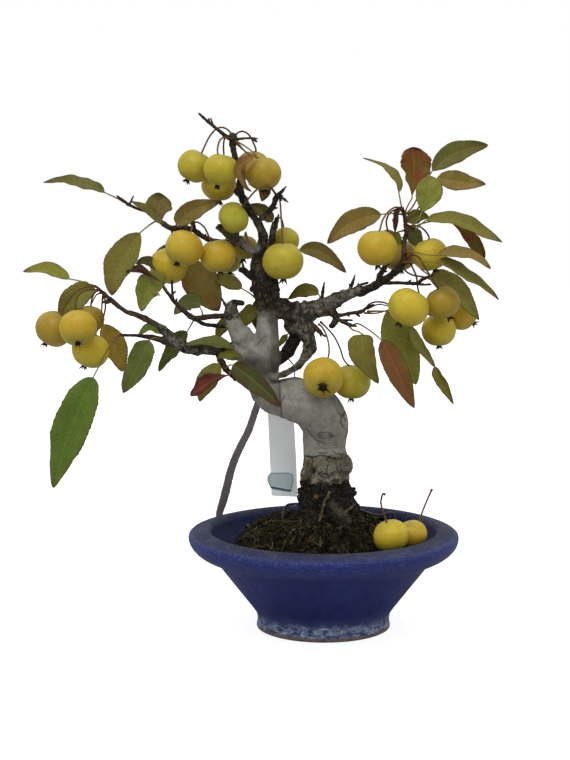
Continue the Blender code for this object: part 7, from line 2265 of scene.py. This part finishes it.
@dataclass
class Strap:
    """The flat woven strap from the riser's back to the pot's lip."""

    narrow: float = 4.4
    width: float = 6.6
    thickness: float = 0.0008
    turn: float = math.radians(141.8)
    rows_to_viewer: tuple[float, float] = (8.0, 24.0)
    rows_to_pot: tuple[float, float] = (48.0, 60.0)
    widest_row: float = 54.0

    def build(self, webbing: Material) -> None:
        """Build the strap."""
        hang = [tuple(seen(*point)) for point in STRAP_HANG]
        hook = [tuple(Vector((radius * math.cos(self.turn), radius * math.sin(self.turn), z)) * MM)
                for radius, z in STRAP_HOOK]
        centres = [Vector(point) for point in smooth_route(hang + hook, 5)]
        trunk = seen(-42.3, 175.0, -7.6)
        frames = []
        ahead, stations = walk(centres)
        for index, (centre, along) in enumerate(zip(centres, ahead)):
            from_trunk = Vector((centre.x - trunk.x, centre.y - trunk.y, 0.0)).normalized()
            from_pot = Vector((centre.x, centre.y, 0.0)).normalized()
            facing = from_trunk.lerp(Vector((-0.35, 0.94, 0.0)), share_between(*self.rows_to_viewer, index))
            outward = facing.lerp(from_pot, share_between(*self.rows_to_pot, index))
            outward = (outward - along * outward.dot(along)).normalized()
            frames.append((along.cross(outward), outward))

        def place(row: int, across: float) -> Vector:
            side, outward = frames[row]
            frayed = 1.0 + 0.035 * math.sin(row * 2.3) + 0.02 * math.sin(row * 5.1)
            wide = self.narrow + (self.width - self.narrow) * min(1.0, row / self.widest_row)
            return centres[row] + side * (across * wide * 0.5 * frayed * MM) + outward * (
                -0.12 * across * across * MM)

        shape, _ = ribbon(centres, place, 6, self.thickness)
        spot_layer = shape.verts.layers.float_vector["spot"]
        blade = shape.verts.layers.float_color.new("blade")
        for vert in shape.verts:
            row, across, _ = vert[spot_layer]
            vert[blade] = (across * self.width / 2, stations[int(row)], 0.0, 0.0)
        shape.verts.layers.float_vector.remove(spot_layer)
        add_piece("webbing_strap", shape, [webbing], ["guy_strap"])


@dataclass
class Wire:
    """The coated wire that ties the root ball down."""

    def build(self, coating: Material) -> None:
        """Build the wire."""
        fine = smooth_route(WIRE_ROUTE, 8)
        route = [(seen(x, z, near), radius * MM) for x, z, near, radius in fine]
        add_piece("coated_wire", tubes([route], 3), [coating], ["anchor_wire"])


# Studio

@dataclass(frozen=True)
class Studio:
    """A white world, a pale floor, one soft key light and the camera at the front."""

    tilt: float = 7.66
    lens: float = 89.3
    horizon: float = 0.46
    zenith: float = 1.10
    paper: float = 0.80
    key_power: float = 5.8
    key_size: float = 0.7

    def build(self) -> None:
        """Build the stage."""
        scene = bpy.context.scene
        scene.view_settings.view_transform = "Standard"
        world = bpy.data.worlds.new("white_studio")
        world.use_nodes = True
        graph = Graph(world.node_tree)
        backdrop = world.node_tree.nodes["Background"]
        backdrop.inputs["Color"].default_value = (1.0, 1.0, 1.0, 1.0)
        dome = graph.node("ShaderNodeBackground")
        height = graph.parts(graph.node("ShaderNodeTexCoord").outputs["Generated"])[2]
        graph.feed(dome.inputs["Color"], (1.0, 1.0, 1.0))
        graph.feed(dome.inputs["Strength"], graph.ramp(height, -0.1, 1.0, self.horizon, self.zenith))
        share = graph.node("ShaderNodeMixShader")
        graph.feed(share.inputs[0], graph.node("ShaderNodeLightPath").outputs["Is Camera Ray"])
        graph.feed(share.inputs[1], dome.outputs[0])
        graph.feed(share.inputs[2], backdrop.outputs[0])
        graph.feed(world.node_tree.nodes["World Output"].inputs["Surface"], share.outputs[0])
        scene.world = world
        paper, graph, shader = new_material("floor_white", 0.9, 0.0)
        shader.inputs["Base Color"].default_value = (0.55, 0.55, 0.55, 1.0)
        shader.inputs["Emission Color"].default_value = (1.0, 1.0, 1.0, 1.0)
        graph.feed(shader.inputs["Emission Strength"],
                   graph.times(graph.node("ShaderNodeLightPath").outputs["Is Camera Ray"], self.paper))
        shape = bmesh.new()
        bmesh.ops.create_circle(shape, cap_ends=True, segments=96, radius=3.0)
        mesh = meshed("floor", shape)
        mesh.materials.append(paper)
        floor = placed("floor", mesh)
        light = bpy.data.lights.new("key", "AREA")
        light.shape = "DISK"
        light.size = self.key_size
        light.energy = self.key_power
        key = placed("key", light)
        key.location = (-0.30, -0.75, 1.45)
        key.rotation_euler = (Vector((0.0, 0.0, 0.15)) - key.location).to_track_quat("-Z", "Y").to_euler()
        lens = bpy.data.cameras.new("front")
        lens.sensor_fit = "VERTICAL"
        lens.sensor_height = 36.0
        lens.lens = self.lens
        camera = placed("front", lens)
        camera.location = ELEVATION_EYE
        camera.rotation_euler = (math.radians(90.0 - self.tilt), 0.0, 0.0)
        scene.camera = camera


def main() -> None:
    """Build every part of the bonsai in order."""
    logging.basicConfig(level=logging.INFO, format="%(name)s %(message)s")
    effects = Effects()
    bark = BarkFinish().material(effects)
    leaf_skin = LeafFinish().material(effects)
    stalks = TintFinish("stalk_skin", 0.62, 1400.0, 0.00012, 0.35).material(effects)
    fruit_skin = FruitFinish().material(effects)
    glaze = GlazeFinish().material(effects)
    earth = TintFinish("damp_loam", 0.95, 900.0, 0.0006, 0.75, 0.08).material(effects)
    litter = TintFinish("dry_litter", 0.85, 1500.0, 0.0001, 0.30, 0.1).material(effects)
    cord = TintFinish("dark_twine", 0.80, 2600.0, 0.0002, 0.40).material(effects)
    # The last number of the card, mint and print finishes is the strength of their glow: painted light.
    card = CardFinish("pale_card", srgb(250, 253, 255), srgb(222, 228, 230), 0.5, 0.10).material(effects)
    mint = CardFinish("mint_paper", srgb(206, 224, 228), srgb(182, 198, 204), 0.6, 0.035).material(effects)
    ink = CardFinish("teal_print", srgb(132, 172, 174), srgb(112, 150, 154), 0.6, 0.03).material(effects)
    webbing = WebbingFinish().material(effects)
    coating = PlainFinish("dark_coating", srgb(42, 38, 36), srgb(92, 84, 72), 0.45).material(effects)
    plastic = PlainFinish("black_mesh", srgb(34, 34, 36), srgb(74, 70, 62), 0.55).material(effects)
    pot = Pot()
    pot.build(glaze)
    Soil(pot).build(earth, litter)
    Tree().build(bark)
    for label, spec in {**FRUIT, **FALLEN}.items():
        Fruit(label, spec).build(fruit_skin, stalks)
    Foliage().build(leaf_skin, stalks)
    Label().build(card, mint, ink, cord)
    Strap().build(webbing)
    Wire().build(coating)
    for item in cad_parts.values():
        if item.name.startswith("drainage_mesh"):
            item.data.materials.clear()
            item.data.materials.append(plastic)
    Studio().build()


if __name__ == "__main__":
    main()
